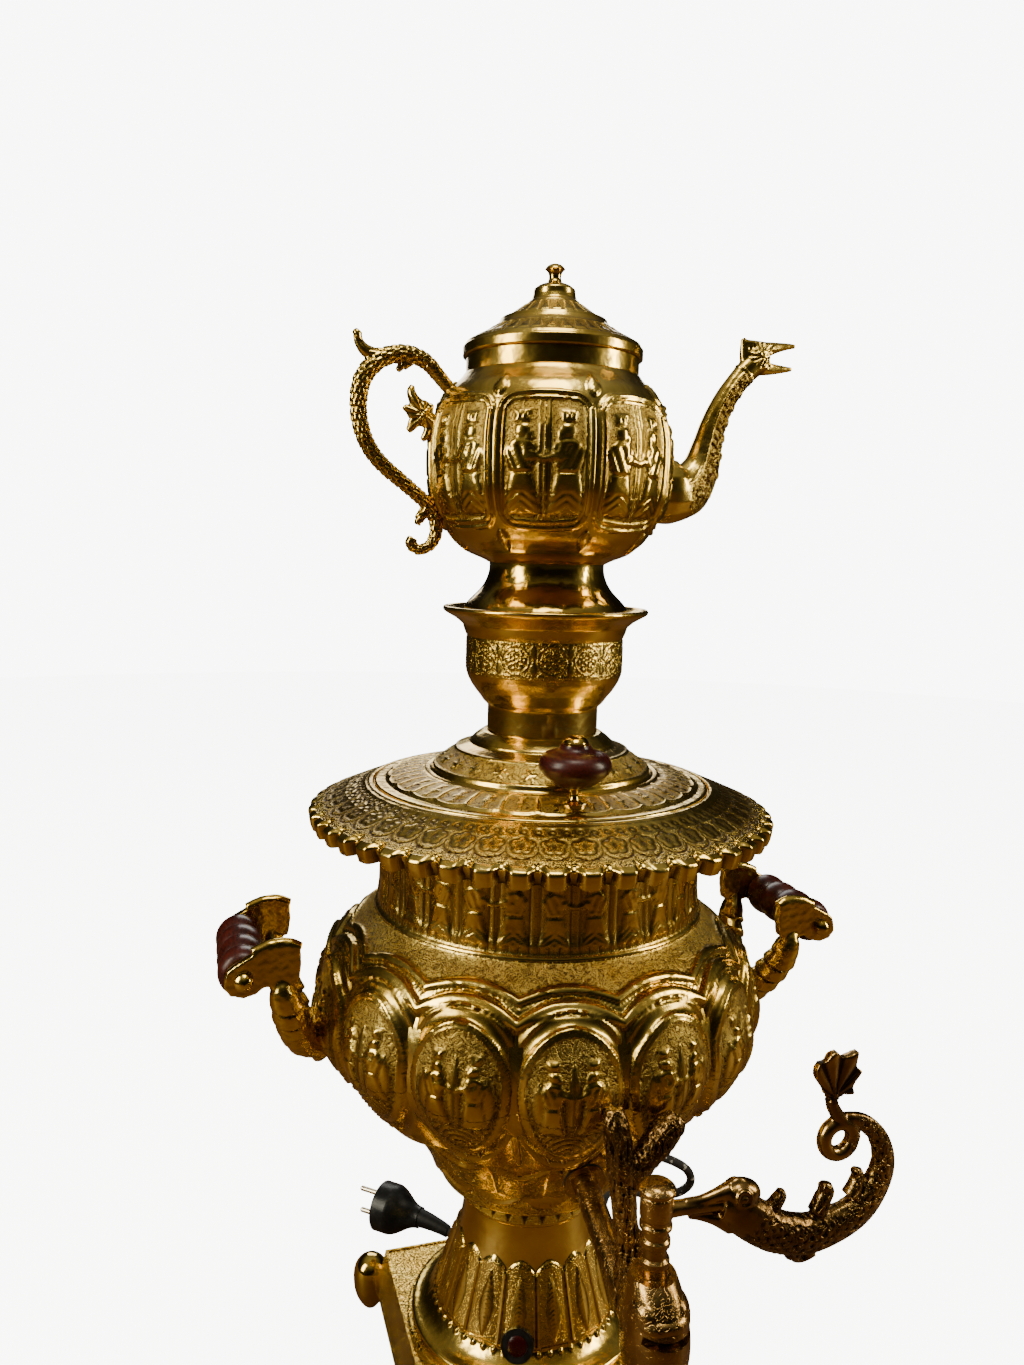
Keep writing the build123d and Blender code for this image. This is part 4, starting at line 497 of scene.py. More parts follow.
def oval(x: Array, y: Array, rx: float, ry: float) -> Array:
    """Distance outside an oval, about in millimetres; less than nought inside."""
    return (np.sqrt((x / rx) ** 2 + (y / ry) ** 2) - 1.0) * min(rx, ry)


def rounded(x: Array, y: Array, hx: float, hy: float, corner: float) -> Array:
    """Distance outside a rectangle with round corners; less than nought inside.

    Args:
        x: Millimetres aside of its middle.
        y: Millimetres above its middle.
        hx: Half its width.
        hy: Half its height.
        corner: Radius of its corners.

    Returns:
        The distance in millimetres.
    """
    dx, dy = np.abs(x) - hx + corner, np.abs(y) - hy + corner
    outside = np.hypot(np.maximum(dx, 0.0), np.maximum(dy, 0.0))
    return outside + np.minimum(np.maximum(dx, dy), 0.0) - corner


def flower(x: Array, y: Array, radius: float, petals: int) -> Array:
    """A raised flower with a boss in its middle.

    Args:
        x: Millimetres aside of its middle.
        y: Millimetres above its middle.
        radius: Its size.
        petals: How many petals it has.

    Returns:
        The height of the relief, nought to one.
    """
    rho, phi = np.hypot(x, y), np.arctan2(y, x)
    edge = radius * (0.74 + 0.26 * np.cos(petals * phi))
    petal = step(edge - rho, -0.1, radius * 0.22) * (0.75 + 0.25 * np.cos(petals * phi))
    return np.maximum(petal * 0.8, dome(x, y, radius * 0.3, radius * 0.3))


def leaf(x: Array, y: Array, length: float, width: float) -> Array:
    """A raised pointed leaf that grows up from its foot, with a mid rib and veins.

    Args:
        x: Millimetres aside of its rib.
        y: Millimetres above its foot.
        length: Its length.
        width: Half its width, about.

    Returns:
        The height of the relief, nought to one.
    """
    share = np.clip(y / length, 0.0, 1.0)
    half = width * np.sin(np.pi * share**0.8) + 0.01
    inside = np.clip(1.0 - np.abs(x) / half, 0.0, 1.0) * ((y > 0) & (y < length))
    veins = 0.5 + 0.5 * np.cos((y + np.abs(x)) * 2.6)
    return np.sqrt(inside) * (0.72 + 0.28 * veins)


def robed_figure(x: Array, y: Array, tall: float) -> Array:
    """A standing figure in a long pleated robe and a fluted cap, seen from its side, with a staff.

    Args:
        x: Millimetres forward of the figure's middle.
        y: Millimetres above its feet.
        tall: Height with the cap.

    Returns:
        The height of the relief, nought to one.
    """
    u, v = x / tall, y / tall
    half = np.interp(v, (0.0, 0.05, 0.36, 0.43, 0.58, 0.66, 0.72), (0.205, 0.195, 0.125, 0.115, 0.175, 0.14, 0.06))
    robe = np.minimum(half - np.abs(u), np.minimum(v, 0.73 - v))
    head = 0.082 - np.hypot(u - 0.012, (v - 0.79) * 0.9)
    beard = 0.05 - np.hypot(u - 0.07, (v - 0.74) * 0.7)
    cap = np.minimum(0.078 + 0.16 * (v - 0.86) - np.abs(u), np.minimum(v - 0.855, 0.99 - v))
    reach = np.clip((u - 0.08) / 0.15, 0.0, 1.0)
    arm = 0.036 - np.hypot(u - 0.08 - 0.15 * reach, v - 0.56 + 0.04 * reach)
    staff = np.minimum(0.012 - np.abs(u - 0.255), np.minimum(v, 0.86 - v))
    inside = np.maximum.reduce([robe, head, beard, cap, arm, staff])
    form = np.sqrt(np.clip(inside / 0.06, 0.0, 1.0))
    pleats = step(np.cos(v * 80.0 + np.abs(u) * 60.0), 0.2, 0.95) * (v < 0.22) * 0.7
    flutes = step(np.cos(u * 240.0), 0.3, 0.9) * (v > 0.89) * (v < 0.965)
    belt = cord_line(v - 0.40, 0.016) * (robe > 0.0)
    brim = cord_line(v - 0.855, 0.014) * (np.abs(u) < 0.09)
    sleeve = cord_line(arm + 0.018, 0.014) * (robe > 0.0) * (reach > 0.02)
    folds = cord_line((u * 9.0 + v * 4.0) % 1.0 - 0.5, 0.22) * ((v > 0.44) & (v < 0.66) & (arm < -0.02)) * 0.7
    return form * (1.0 - 0.5 * np.maximum.reduce([pleats, flutes, belt, brim, sleeve, folds]))


@dataclass
class Chased:
    """What the chaser does to a surface.

    The height is along the surface's normal and the reach away from the axis, both in
    millimetres; the other three are kinds of mark, nought to one: painted shade in the hollows, stipple and engraving.
    """

    CLEAR = 0.25
    EDGE = 0.12

    height: Array
    painted_shade: Array
    stipple: Array
    engrave: Array
    reach: Array

    @classmethod
    def plain(cls, like: Array) -> "Chased":
        """Nothing done yet, for as many places as the array has."""
        return cls(*(np.zeros_like(like) for _ in range(5)))

    def paint_shade(self, shade: Array) -> None:
        """Paints shade into the hollows: darkens them to at least the given amount."""
        self.painted_shade = np.maximum(self.painted_shade, shade)

    def raise_to(self, form: Array, tall: float, base: float = 0.0) -> None:
        """Lifts a form out of the ground, over what is lower, paints shade on its lower flanks and leaves a dark line
        of painted shade round it.

        Args:
            form: The form's shape, nought to one.
            tall: Its height where the shape is one.
            base: The height that the form stands on.
        """
        lifted = base + form * tall
        here, clear = form > 0.02, form > self.CLEAR
        self.height = np.where(here, np.maximum(self.height, lifted), self.height)
        self.stipple = np.where(clear, 0.0, self.stipple)
        self.engrave = np.where(clear, 0.0, self.engrave)
        edge = np.clip(1.0 - np.abs(form - self.EDGE) / self.EDGE, 0.0, 1.0) * here
        # painted shade on the form's lower flanks, and a line of painted shade round its foot
        shade = np.where(clear, step(0.8 - form, 0.0, 0.55) * 0.8, self.painted_shade)
        self.painted_shade = np.maximum(shade, edge * 0.85)


Chaser = Callable[[Array, Array, Array], Chased]


# ---- making pieces


def let_go() -> None:
    """Deselects every object."""
    if bpy.context.object and bpy.context.object.mode != "OBJECT":
        bpy.ops.object.mode_set(mode="OBJECT")
    bpy.ops.object.select_all(action="DESELECT")


def take(piece: Piece) -> None:
    """Makes one object the only selected and active one."""
    let_go()
    piece.select_set(True)
    bpy.context.view_layer.objects.active = piece


def placed(name: str, data: bpy.types.ID) -> Piece:
    """Puts new data into the scene as an object at the origin."""
    made = bpy.data.objects.new(name, data)
    bpy.context.scene.collection.objects.link(made)
    return made


def run_along(points: Array) -> Array:
    """Distance from a line's start to each of its points."""
    return np.concatenate([[0.0], np.cumsum(np.linalg.norm(np.diff(points, axis=0), axis=1))])


def nearest_of(places: Array, rows: Array) -> Array:
    """Which of the rows each place is nearest to.

    Args:
        places: The places.
        rows: Points as wide as the places.

    Returns:
        The number of the nearest row for each place.
    """
    nearest = np.empty(len(places), int)
    for start in range(0, len(places), CHUNK):
        part = slice(start, start + CHUNK)
        nearest[part] = ((places[part, None, :] - rows[None]) ** 2).sum(axis=2).argmin(axis=1)
    return nearest


def resampled(line: Sequence[tuple[float, float]], pitch: float) -> Array:
    """Points along a profile, a given distance apart.

    Args:
        line: The profile's corners, radius and height in millimetres.
        pitch: The distance between points.

    Returns:
        The points, radius and height.
    """
    points = np.array(line, float)
    run = run_along(points)
    at = np.linspace(0.0, run[-1], max(2, int(round(run[-1] / pitch)) + 1))
    return np.stack([np.interp(at, run, points[:, 0]), np.interp(at, run, points[:, 1])], axis=1)


def shaped(piece: Piece, kind: str, **settings: object) -> None:
    """Adds one modifier with its settings and applies it.

    Args:
        piece: The piece.
        kind: The modifier's type.
        **settings: Its properties.
    """
    take(piece)
    bpy.ops.object.modifier_add(type=kind)
    modifier = piece.modifiers[-1]
    for key, value in settings.items():
        setattr(modifier, key, value)
    bpy.ops.object.modifier_apply(modifier=modifier.name)


def mended(piece: Piece) -> None:
    """Merges doubled points and turns every face outwards.

    Args:
        piece: The piece.
    """
    take(piece)
    bpy.ops.object.mode_set(mode="EDIT")
    bpy.ops.mesh.select_all(action="SELECT")
    bpy.ops.mesh.remove_doubles(threshold=1e-6)
    bpy.ops.mesh.normals_make_consistent(inside=False)
    bpy.ops.object.mode_set(mode="OBJECT")


def one_part(piece: Piece) -> None:
    """Keeps a cut piece's largest part and drops the slivers beside it.

    Args:
        piece: The cut piece.
    """
    take(piece)
    bpy.ops.object.mode_set(mode="EDIT")
    bpy.ops.mesh.select_all(action="SELECT")
    bpy.ops.mesh.remove_doubles(threshold=1e-5)
    bpy.ops.mesh.dissolve_degenerate(threshold=1e-6)
    bpy.ops.mesh.separate(type="LOOSE")
    bpy.ops.object.mode_set(mode="OBJECT")
    parts = sorted(bpy.context.selected_objects, key=lambda part: len(part.data.polygons))
    piece.data, parts[-1].data = parts[-1].data, piece.data
    for part in parts:
        if part is not piece:
            bpy.data.objects.remove(part)
    mended(piece)


def spun(
    name: str,
    outline: Array,
    steps: int,
    middle: Point = (0.0, 0.0, 0.0),
    upward: Point = (0.0, 0.0, 1.0),
) -> Piece:
    """Turns a closed outline about an axis.

    Args:
        name: The piece's name.
        outline: Radius and height of each point, in millimetres.
        steps: How many places there are around the axis.
        middle: A point of the axis, from the samovar's own axis.
        upward: The way of the axis.

    Returns:
        The turned piece.
    """
    mesh = bpy.data.meshes.new(name)
    points = [(r * MM, 0.0, z * MM) for r, z in outline]
    mesh.from_pydata(points, [(i, (i + 1) % len(points)) for i in range(len(points))], [])
    piece = placed(name, mesh)
    shaped(
        piece, "SCREW", axis="Z", angle=TURN, steps=steps, render_steps=steps, use_merge_vertices=True,
        merge_threshold=1e-6,
    )
    mended(piece)
    turn = Vector((0.0, 0.0, 1.0)).rotation_difference(Vector(upward)).to_matrix().to_4x4()
    x, y, z = middle
    piece.data.transform(Matrix.Translation(Vector((x, y + AXIS_Y, z)) * MM) @ turn)
    return piece


def marks(piece: Piece, painted_shade: Array, stipple: Array, engrave: Array) -> None:
    """Writes the chaser's marks on a mesh, for its finish to read.

    Args:
        piece: The piece.
        painted_shade: How much painted shade each point gets.
        stipple: How much it is stippled.
        engrave: How much it is engraved.
    """
    layer = piece.data.attributes.new("chased", "FLOAT_COLOR", "POINT")
    colours = np.stack([painted_shade, stipple, engrave, np.ones_like(painted_shade)], axis=1)
    layer.data.foreach_set("color", np.clip(colours, 0.0, 1.0).astype(np.float32).ravel())


def chase(piece: Piece, outline: Array, worked: int, chaser: Chaser) -> None:
    """Works a relief into a turned piece.

    Args:
        piece: The turned piece.
        outline: The outline it was turned from.
        worked: How many points of the outline, from its start, the chaser may reach.
        chaser: Gives the work for bearings, heights and radii.
    """
    count = len(piece.data.vertices)
    flat = np.empty(count * 3, np.float32)
    piece.data.vertices.foreach_get("co", flat)
    place = flat.reshape(-1, 3).astype(float) / MM
    dx, dy = place[:, 0], place[:, 1] - AXIS_Y
    radius, bearing = np.hypot(dx, dy), np.arctan2(dy, dx)
    nearest = nearest_of(np.stack([radius, place[:, 2]], axis=1), outline)
    slope = np.gradient(outline[:worked], axis=0)
    length = np.hypot(slope[:, 0], slope[:, 1])
    normal = np.zeros((len(outline), 2))
    normal[:worked] = np.stack([slope[:, 1] / length, -slope[:, 0] / length], axis=1)
    made = chaser(bearing, place[:, 2], radius)
    on = nearest < worked
    lift = np.where(on, made.height, 0.0)
    out = normal[nearest]
    radius = radius + out[:, 0] * lift + np.where(on, made.reach, 0.0)
    place[:, 0], place[:, 1] = radius * np.cos(bearing), radius * np.sin(bearing) + AXIS_Y
    place[:, 2] += out[:, 1] * lift
    piece.data.vertices.foreach_set("co", (place * MM).astype(np.float32).ravel())
    piece.data.update()
    marks(piece, made.painted_shade * on, made.stipple * on, made.engrave * on)


def turned(
    name: str, face: Array, back: Line, steps: int, chaser: Chaser, plain: int = 0
) -> Piece:
    """Turns a ring from the outline of its face and its back, and chases the face.

    Args:
        name: The piece's name.
        face: The face's outline, radius and height in millimetres.
        back: The outline behind it, the other way round.
        steps: How many places there are around the axis.
        chaser: Gives the work for bearings, heights and radii.
        plain: How many points at the end of the face stay as they are.

    Returns:
        The chased ring.
    """
    ring = np.vstack([face, back])
    piece = spun(name, ring, steps)
    chase(piece, ring, len(face) - plain, chaser)
    return piece


def smoothed(line: Line, pitch: float, across: int = 3) -> Array:
    """Points along a smooth curve.

    Args:
        line: Rows that it goes through; they may hold more than a place.
        pitch: The distance between points.
        across: How many numbers of a row are its place.

    Returns:
        The points, as wide as the rows.
    """
    rows = np.array(line, float)
    run = run_along(rows[:, :across])
    at = np.linspace(0.0, run[-1], max(2, int(round(run[-1] / pitch)) + 1))
    ends = np.vstack([2 * rows[0] - rows[1], rows, 2 * rows[-1] - rows[-2]])
    index = np.clip(np.searchsorted(run, at, side="right") - 1, 0, len(rows) - 2)
    t = ((at - run[index]) / (run[index + 1] - run[index]))[:, None]
    p0, p1, p2, p3 = (ends[index + k] for k in range(4))
    square, cube = 2 * p0 - 5 * p1 + 4 * p2 - p3, 3 * p1 - p0 - 3 * p2 + p3
    return 0.5 * (2 * p1 + (p2 - p0) * t + square * t**2 + cube * t**3)


def limb(name: str, line: Line, sides: int = 4) -> Piece:
    """A round bar along a smooth line, thicker and thinner on its way.

    Args:
        name: The piece's name.
        line: Rows of x, y and z from the samovar's axis and the radius there, in millimetres.
        sides: The roundness of the bar.

    Returns:
        The bar, closed at both ends.
    """
    data = bpy.data.curves.new(name, "CURVE")
    data.dimensions = "3D"
    data.bevel_depth = MM
    data.bevel_resolution = sides
    data.use_fill_caps = True
    rows = smoothed(line, 1.5)
    bar = data.splines.new("POLY")
    bar.points.add(len(rows) - 1)
    for point, (x, y, z, radius) in zip(bar.points, rows[:, :4]):
        point.co = (x * MM, (y + AXIS_Y) * MM, z * MM, 1.0)
        point.radius = radius
    take(placed(name, data))
    bpy.ops.object.convert(target="MESH")
    return bpy.context.object


def upright(rows: Line, y: float = 0.0, up: float = 0.0) -> list[tuple[float, float, float, float]]:
    """Rows of x, z and a radius as places in the upright plane at y, raised by a height."""
    return [(x, y, z + up, radius) for x, z, radius in rows]


def lump(name: str, middle: Point, radii: Point) -> Piece:
    """A ball stretched along the three axes.

    Args:
        name: The piece's name.
        middle: Its middle, in millimetres from the samovar's axis.
        radii: Its radii in millimetres.

    Returns:
        The ball.
    """
    let_go()
    x, y, z = middle
    bpy.ops.mesh.primitive_uv_sphere_add(
        segments=28, ring_count=18, radius=MM, location=(x * MM, (y + AXIS_Y) * MM, z * MM), scale=radii
    )
    piece = bpy.context.object
    piece.name = name
    bpy.ops.object.transform_apply(location=True, rotation=True, scale=True)
    return piece


def hoop(name: str, middle: Point, radius: float, bar: float, facing: Point = (0.0, 1.0, 0.0)) -> Piece:
    """A round bar bent into a ring that faces one way.

    Args:
        name: The piece's name.
        middle: Its middle, in millimetres from the samovar's axis.
        radius: The ring's radius.
        bar: The bar's radius.
        facing: The way that the ring faces.

    Returns:
        The ring.
    """
    let_go()
    x, y, z = middle
    turn = Vector((0.0, 0.0, 1.0)).rotation_difference(Vector(facing)).to_euler()
    bpy.ops.mesh.primitive_torus_add(
        major_segments=48, minor_segments=16, major_radius=radius * MM, minor_radius=bar * MM,
        location=(x * MM, (y + AXIS_Y) * MM, z * MM), rotation=turn,
    )
    piece = bpy.context.object
    piece.name = name
    bpy.ops.object.transform_apply(location=True, rotation=True, scale=True)
    return piece


def blade(name: str, outline: Sequence[tuple[float, float]], y: float, thick: float) -> Piece:
    """A flat plate in an upright plane that faces the front.

    Args:
        name: The piece's name.
        outline: Its corners, x and z in millimetres.
        y: Where the middle of its thickness lies.
        thick: Its thickness.

    Returns:
        The plate.
    """
    mesh = bpy.data.meshes.new(name)
    front = (y + AXIS_Y - thick / 2.0) * MM
    mesh.from_pydata([(x * MM, front, z * MM) for x, z in outline], [], [tuple(range(len(outline)))])
    piece = placed(name, mesh)
    take(piece)
    bpy.ops.object.mode_set(mode="EDIT")
    bpy.ops.mesh.select_all(action="SELECT")
    bpy.ops.mesh.extrude_region_move(TRANSFORM_OT_translate={"value": (0.0, thick * MM, 0.0)})
    bpy.ops.mesh.select_all(action="SELECT")
    bpy.ops.mesh.normals_make_consistent(inside=False)
    bpy.ops.object.mode_set(mode="OBJECT")
    return piece


def places_of(piece: Piece) -> Array:
    """Every point of a mesh, in millimetres from the samovar's axis."""
    flat = np.empty(len(piece.data.vertices) * 3, np.float32)
    piece.data.vertices.foreach_get("co", flat)
    return flat.reshape(-1, 3).astype(float) / MM - AXIS


def put(piece: Piece, places: Array) -> None:
    """Moves every point of a mesh to a new place."""
    moved = (places + AXIS) * MM
    piece.data.vertices.foreach_set("co", moved.astype(np.float32).ravel())
    piece.data.update()


def squeeze(piece: Piece, y: float, share: float) -> Piece:
    """Flattens a piece towards an upright plane.

    Args:
        piece: The piece.
        y: Where the plane stands.
        share: What is left of its thickness.

    Returns:
        The same piece.
    """
    places = places_of(piece)
    places[:, 1] = y + (places[:, 1] - y) * share
    put(piece, places)
    return piece


def fused(name: str, pieces: Sequence[Piece], voxel: float, soft: int = 3) -> Piece:
    """Melts several pieces into one cast skin.

    Args:
        name: The new piece's name.
        pieces: The pieces, which are used up.
        voxel: The size of the skin's faces in millimetres.
        soft: How many times the skin is evened out.

    Returns:
        The cast piece.
    """
    let_go()
    for piece in pieces:
        piece.select_set(True)
    bpy.context.view_layer.objects.active = pieces[0]
    if len(pieces) > 1:
        bpy.ops.object.join()
    cast = bpy.context.view_layer.objects.active
    cast.name = name
    shaped(cast, "REMESH", mode="VOXEL", voxel_size=voxel * MM)
    shaped(cast, "SMOOTH", factor=0.5, iterations=soft)
    return cast


def follow(places: Array, line: Line) -> tuple[Array, Array, Array]:
    """Where each place lies beside a smooth line.

    Args:
        places: The places.
        line: Rows that start with x, y and z.

    Returns:
        The distance along the line, the way from the line to the place, and the line's own
        direction there.
    """
    rows = smoothed([row[:3] for row in line], 0.8)
    nearest = nearest_of(places, rows)
    way = np.gradient(rows, axis=0)
    way /= np.linalg.norm(way, axis=1)[:, None]
    return run_along(rows)[nearest], places - rows[nearest], way[nearest]


def outward(off: Array, way: Array) -> Array:
    """How far a place lies to the outer side of a line in an upright plane."""
    return off[:, 0] * way[:, 2] - off[:, 2] * way[:, 0]


def scales(along: Array, across: Array) -> tuple[Array, Array]:
    """Places among staggered rows of scales.

    Args:
        along: Distance up the rows, in rows.
        across: Distance along a row, in scales.

    Returns:
        How far aside of its scale's middle a place lies, in half widths, and how far up its row.
    """
    row = np.floor(along)
    shift = np.where(row.astype(int) % 2 == 0, 0.0, 0.5)
    return aside(across + shift) * 2.0, along - row


Carver = Callable[[Array, Array], Chased]


def carve(piece: Piece, carver: Carver) -> None:
    """Works a cast piece's skin along its normals.

    Args:
        piece: The piece.
        carver: Gives the work for the places and their normals.
    """
    places = places_of(piece)
    normals = np.empty(len(places) * 3, np.float32)
    piece.data.vertex_normals.foreach_get("vector", normals)
    normals = normals.reshape(-1, 3).astype(float)
    made = carver(places, normals)
    put(piece, places + normals * made.height[:, None])
    marks(piece, made.painted_shade, made.stipple, made.engrave)


def dress(
    piece: Piece,
    finish: Finish,
    body: Body,
    replaced: Sequence[str] = (),
    crease: float = 60.0,
) -> None:
    """Gives a piece its finish and hands it to the frame.

    Args:
        piece: The finished mesh or curve.
        finish: The finish.
        body: The body it rides on.
        replaced: Nodes of the frame that it stands for.
        crease: Degrees above which an edge stays sharp.
    """
    piece.data.materials.clear()
    piece.data.materials.append(material_of(finish))
    if piece.type == "MESH":
        take(piece)
        bpy.ops.object.shade_smooth_by_angle(angle=math.radians(crease))
        let_go()
    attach(piece, body.value)
    if replaced:
        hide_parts(*replaced)
    LOG.info("%s: %d faces", piece.name, len(getattr(piece.data, "polygons", ())))


# ---- the set


@dataclass
class Studio:
    """A pale floor, soft light and the camera."""

    eye: Point = (-202.7, -561.28, 552.5)
    ahead: tuple[float, float] = (0.2924, 0.9563)
    down: float = math.radians(7.3535)
    roll: float = math.radians(1.4515)
    focal_px: float = 1025.0
    frame_px: float = 1365.0
    sensor: float = 36.0
    aim: float = 0.36
    floor_radius: float = 4.0
    paper: tuple[float, float, float, float] = (8.5, 8.5, 8.4, 1.0)
    room: Profile = ((0.0, 0.03), (0.08, 0.006), (0.45, 0.006), (0.62, 0.05), (0.8, 0.20), (1.0, 0.38))
    softboxes: tuple[tuple[str, Point, tuple[float, float], float, Point], ...] = (
        ("window", (-1.6, -0.35, 1.15), (0.55, 1.2), 36.0, (1.0, 0.94, 0.74)),
        ("side", (1.45, -0.6, 0.95), (0.28, 1.0), 24.0, (1.0, 0.93, 0.70)),
        ("top", (-0.1, -0.35, 1.9), (0.6, 0.6), 15.0, (1.0, 0.95, 0.80)),
        ("back", (0.4, 1.8, 1.2), (1.2, 0.6), 12.0, (1.0, 0.98, 0.92)),
    )

    def camera(self) -> None:
        """Stands the camera where the samovar is seen from."""
        data = bpy.data.cameras.new("camera")
        data.sensor_width = self.sensor
        data.lens = self.sensor * self.focal_px / self.frame_px
        data.clip_start = 0.01
        eye = placed("camera", data)
        bpy.context.scene.camera = eye
        x, y = self.ahead
        forward = Vector((x * math.cos(self.down), y * math.cos(self.down), -math.sin(self.down))).normalized()
        right = forward.cross(Vector((0.0, 0.0, 1.0))).normalized()
        up = right.cross(forward)
        across = right * math.cos(self.roll) + up * math.sin(self.roll)
        upward = up * math.cos(self.roll) - right * math.sin(self.roll)
        turn = Matrix((across, upward, -forward)).transposed().to_4x4()
        eye.matrix_world = Matrix.Translation(Vector(self.eye) * MM) @ turn

    def light(self, name: str, place: Point, size: tuple[float, float], power: float, colour: Point) -> None:
        """Hangs one softbox, aimed at the samovar's middle.

        Args:
            name: The light's name.
            place: Where it hangs, in metres.
            size: Its width and height, in metres.
            power: Its power in watts.
            colour: Its colour.
        """
        data = bpy.data.lights.new(name, "AREA")
        data.shape = "RECTANGLE"
        data.size, data.size_y = size
        data.energy, data.color = power, colour
        lamp = placed(name, data)
        lamp.location = place
        way = Vector((0.0, AXIS_Y * MM, self.aim)) - Vector(place)
        lamp.rotation_euler = way.to_track_quat("-Z", "Y").to_euler()

    def sky(self) -> None:
        """A pale surround; what the metal mirrors of it is a dim room."""
        world = bpy.data.worlds.new("surround")
        bpy.context.scene.world = world
        world.use_nodes = True
        tree = world.node_tree
        tree.nodes.clear()
        where = tree.nodes.new("ShaderNodeTexCoord")
        parts = tree.nodes.new("ShaderNodeSeparateXYZ")
        ramp = tree.nodes.new("ShaderNodeValToRGB")
        seen = tree.nodes.new("ShaderNodeLightPath")
        choose = tree.nodes.new("ShaderNodeMix")
        glow = tree.nodes.new("ShaderNodeBackground")
        end = tree.nodes.new("ShaderNodeOutputWorld")
        choose.data_type = "RGBA"
        while len(ramp.color_ramp.elements) < len(self.room):
            ramp.color_ramp.elements.new(0.5)
        for element, (at, tone) in zip(ramp.color_ramp.elements, self.room):
            element.position, element.color = at, (tone, tone * 0.96, tone * 0.8, 1.0)
        tree.links.new(where.outputs["Generated"], parts.inputs[0])
        tree.links.new(parts.outputs["Z"], ramp.inputs[0])
        tree.links.new(seen.outputs["Is Camera Ray"], choose.inputs[0])
        tree.links.new(ramp.outputs["Color"], choose.inputs[6])
        choose.inputs[7].default_value = self.paper
        tree.links.new(choose.outputs[2], glow.inputs["Color"])
        tree.links.new(glow.outputs[0], end.inputs["Surface"])

    def floor(self) -> None:
        """Lays the pale floor, lit as evenly as the surround."""
        let_go()
        bpy.ops.mesh.primitive_circle_add(
            vertices=96, radius=self.floor_radius, fill_type="NGON", location=(0.0, 0.0, -0.0005)
        )
        ground = bpy.context.object
        ground.name = "floor"
        w = Wiring("floor")
        tone = w.mix(w.noise(3.0, 2.0, 0.5), (0.78, 0.775, 0.765, 1.0), (0.82, 0.815, 0.805, 1.0))
        lit = {"Base Color": tone, "Roughness": 0.6, "Emission Color": self.paper, "Emission Strength": 0.9}
        pale = w.node("BsdfPrincipled", None, lit)
        warm = w.node("BsdfPrincipled", None, {"Base Color": (0.11, 0.05, 0.012, 1.0), "Roughness": 0.6})
        seen = w.out(w.node("LightPath"), "Is Camera Ray")
        both = w.node("MixShader", None, {0: seen, 1: w.out(warm), 2: w.out(pale)})
        w.node("OutputMaterial", None, {"Surface": w.out(both)})
        ground.data.materials.append(w.material)
        ground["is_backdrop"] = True

    def build(self) -> None:
        """Sets all of it up."""
        self.camera()
        self.sky()
        self.floor()
        for softbox in self.softboxes:
            self.light(*softbox)


# ---- mains lead


@dataclass
class MainsLead:
    """The braided lead and its coil."""

    diameter: float = 7.0
    length: float = 1258.8
    out: Rows = (
        (61.2035, 35.3358, 110.806), (77.813, 44.925, 116.477), (98.5, 56.9, 112.5), (125.0, 72.3, 94.5),
        (150.0, 87.0, 76.5), (172.0, 101.0, 56.0), (182.0, 114.0, 33.5), (176.0, 130.0, 15.0), (159.0, 147.0, 5.2),
        (142.5, 167.0, 3.6),
    )
    on: Rows = (
        (46.1, 143.0, 7.5), (35.0, 124.8, 5.0), (15.4, 116.0, 6.5), (-5.2, 119.2, 12.2), (-21.0, 133.0, 15.0),
    )
    coil_centre: tuple[float, float] = (89.5, 176.0)
    columns: tuple[float, float] = (43.5, 36.5)
    layers: tuple[float, float] = (4.4, 11.4)
    coil_start: float = math.radians(20.0)
    coil_turns: float = 3.0 + 160.0 / 360.0
    turn_points: int = 16
    inwards_at: float = 0.55
    upwards_at: float = 1.45
    outwards_at: float = 2.45
    change: float = 0.5

    def changed(self, turn: float, start: float) -> float:
        """How far the lead has changed over to its next place, nought to one."""
        return min(max((turn - start) / self.change, 0.0), 1.0)

    def coil(self) -> list[Point]:
        """Winds the coil: two turns side by side on the floor and the rest on top of them.

        Returns:
            The coil's points, from the samovar's axis.
        """
        points = []
        count = int(round(self.coil_turns * self.turn_points))
        for i in range(count + 1):
            turn = i / self.turn_points
            bearing = self.coil_start + turn * TURN
            up = self.changed(turn, self.upwards_at)
            across = self.changed(turn, self.inwards_at) - self.changed(turn, self.outwards_at)
            radius = self.columns[0] + (self.columns[1] - self.columns[0]) * across
            height = self.layers[0] + (self.layers[1] - self.layers[0]) * up
            x = self.coil_centre[0] + radius * math.cos(bearing)
            y = self.coil_centre[1] + radius * math.sin(bearing)
            points.append((x, y, height))
        return points

    def build(self, nodes: dict[str, Piece]) -> None:
        """Args:
            nodes: The frame's nodes; not used.
        """
        route = [*self.out, *self.coil(), *self.on]
        data = bpy.data.curves.new("mains_lead", "CURVE")
        data.dimensions = "3D"
        data.bevel_depth = self.diameter / 2.0 * MM
        data.bevel_resolution = 4
        data.resolution_u = 6
        data.use_fill_caps = True
        line = data.splines.new("NURBS")
        line.points.add(len(route) - 1)
        for point, (x, y, z) in zip(line.points, route):
            point.co = (x * MM, (y + AXIS_Y) * MM, z * MM, 1.0)
        line.order_u = 3
        line.use_endpoint_u = True
        lead = placed("mains_lead", data)
        dress(lead, BRAID, Body.SAMOVAR, ("power_cord", "cord_coil"))
        first = self.out[0]
        first[0] * MM
        (first[1] + AXIS_Y) * MM
        first[2] * MM


# ---- urn


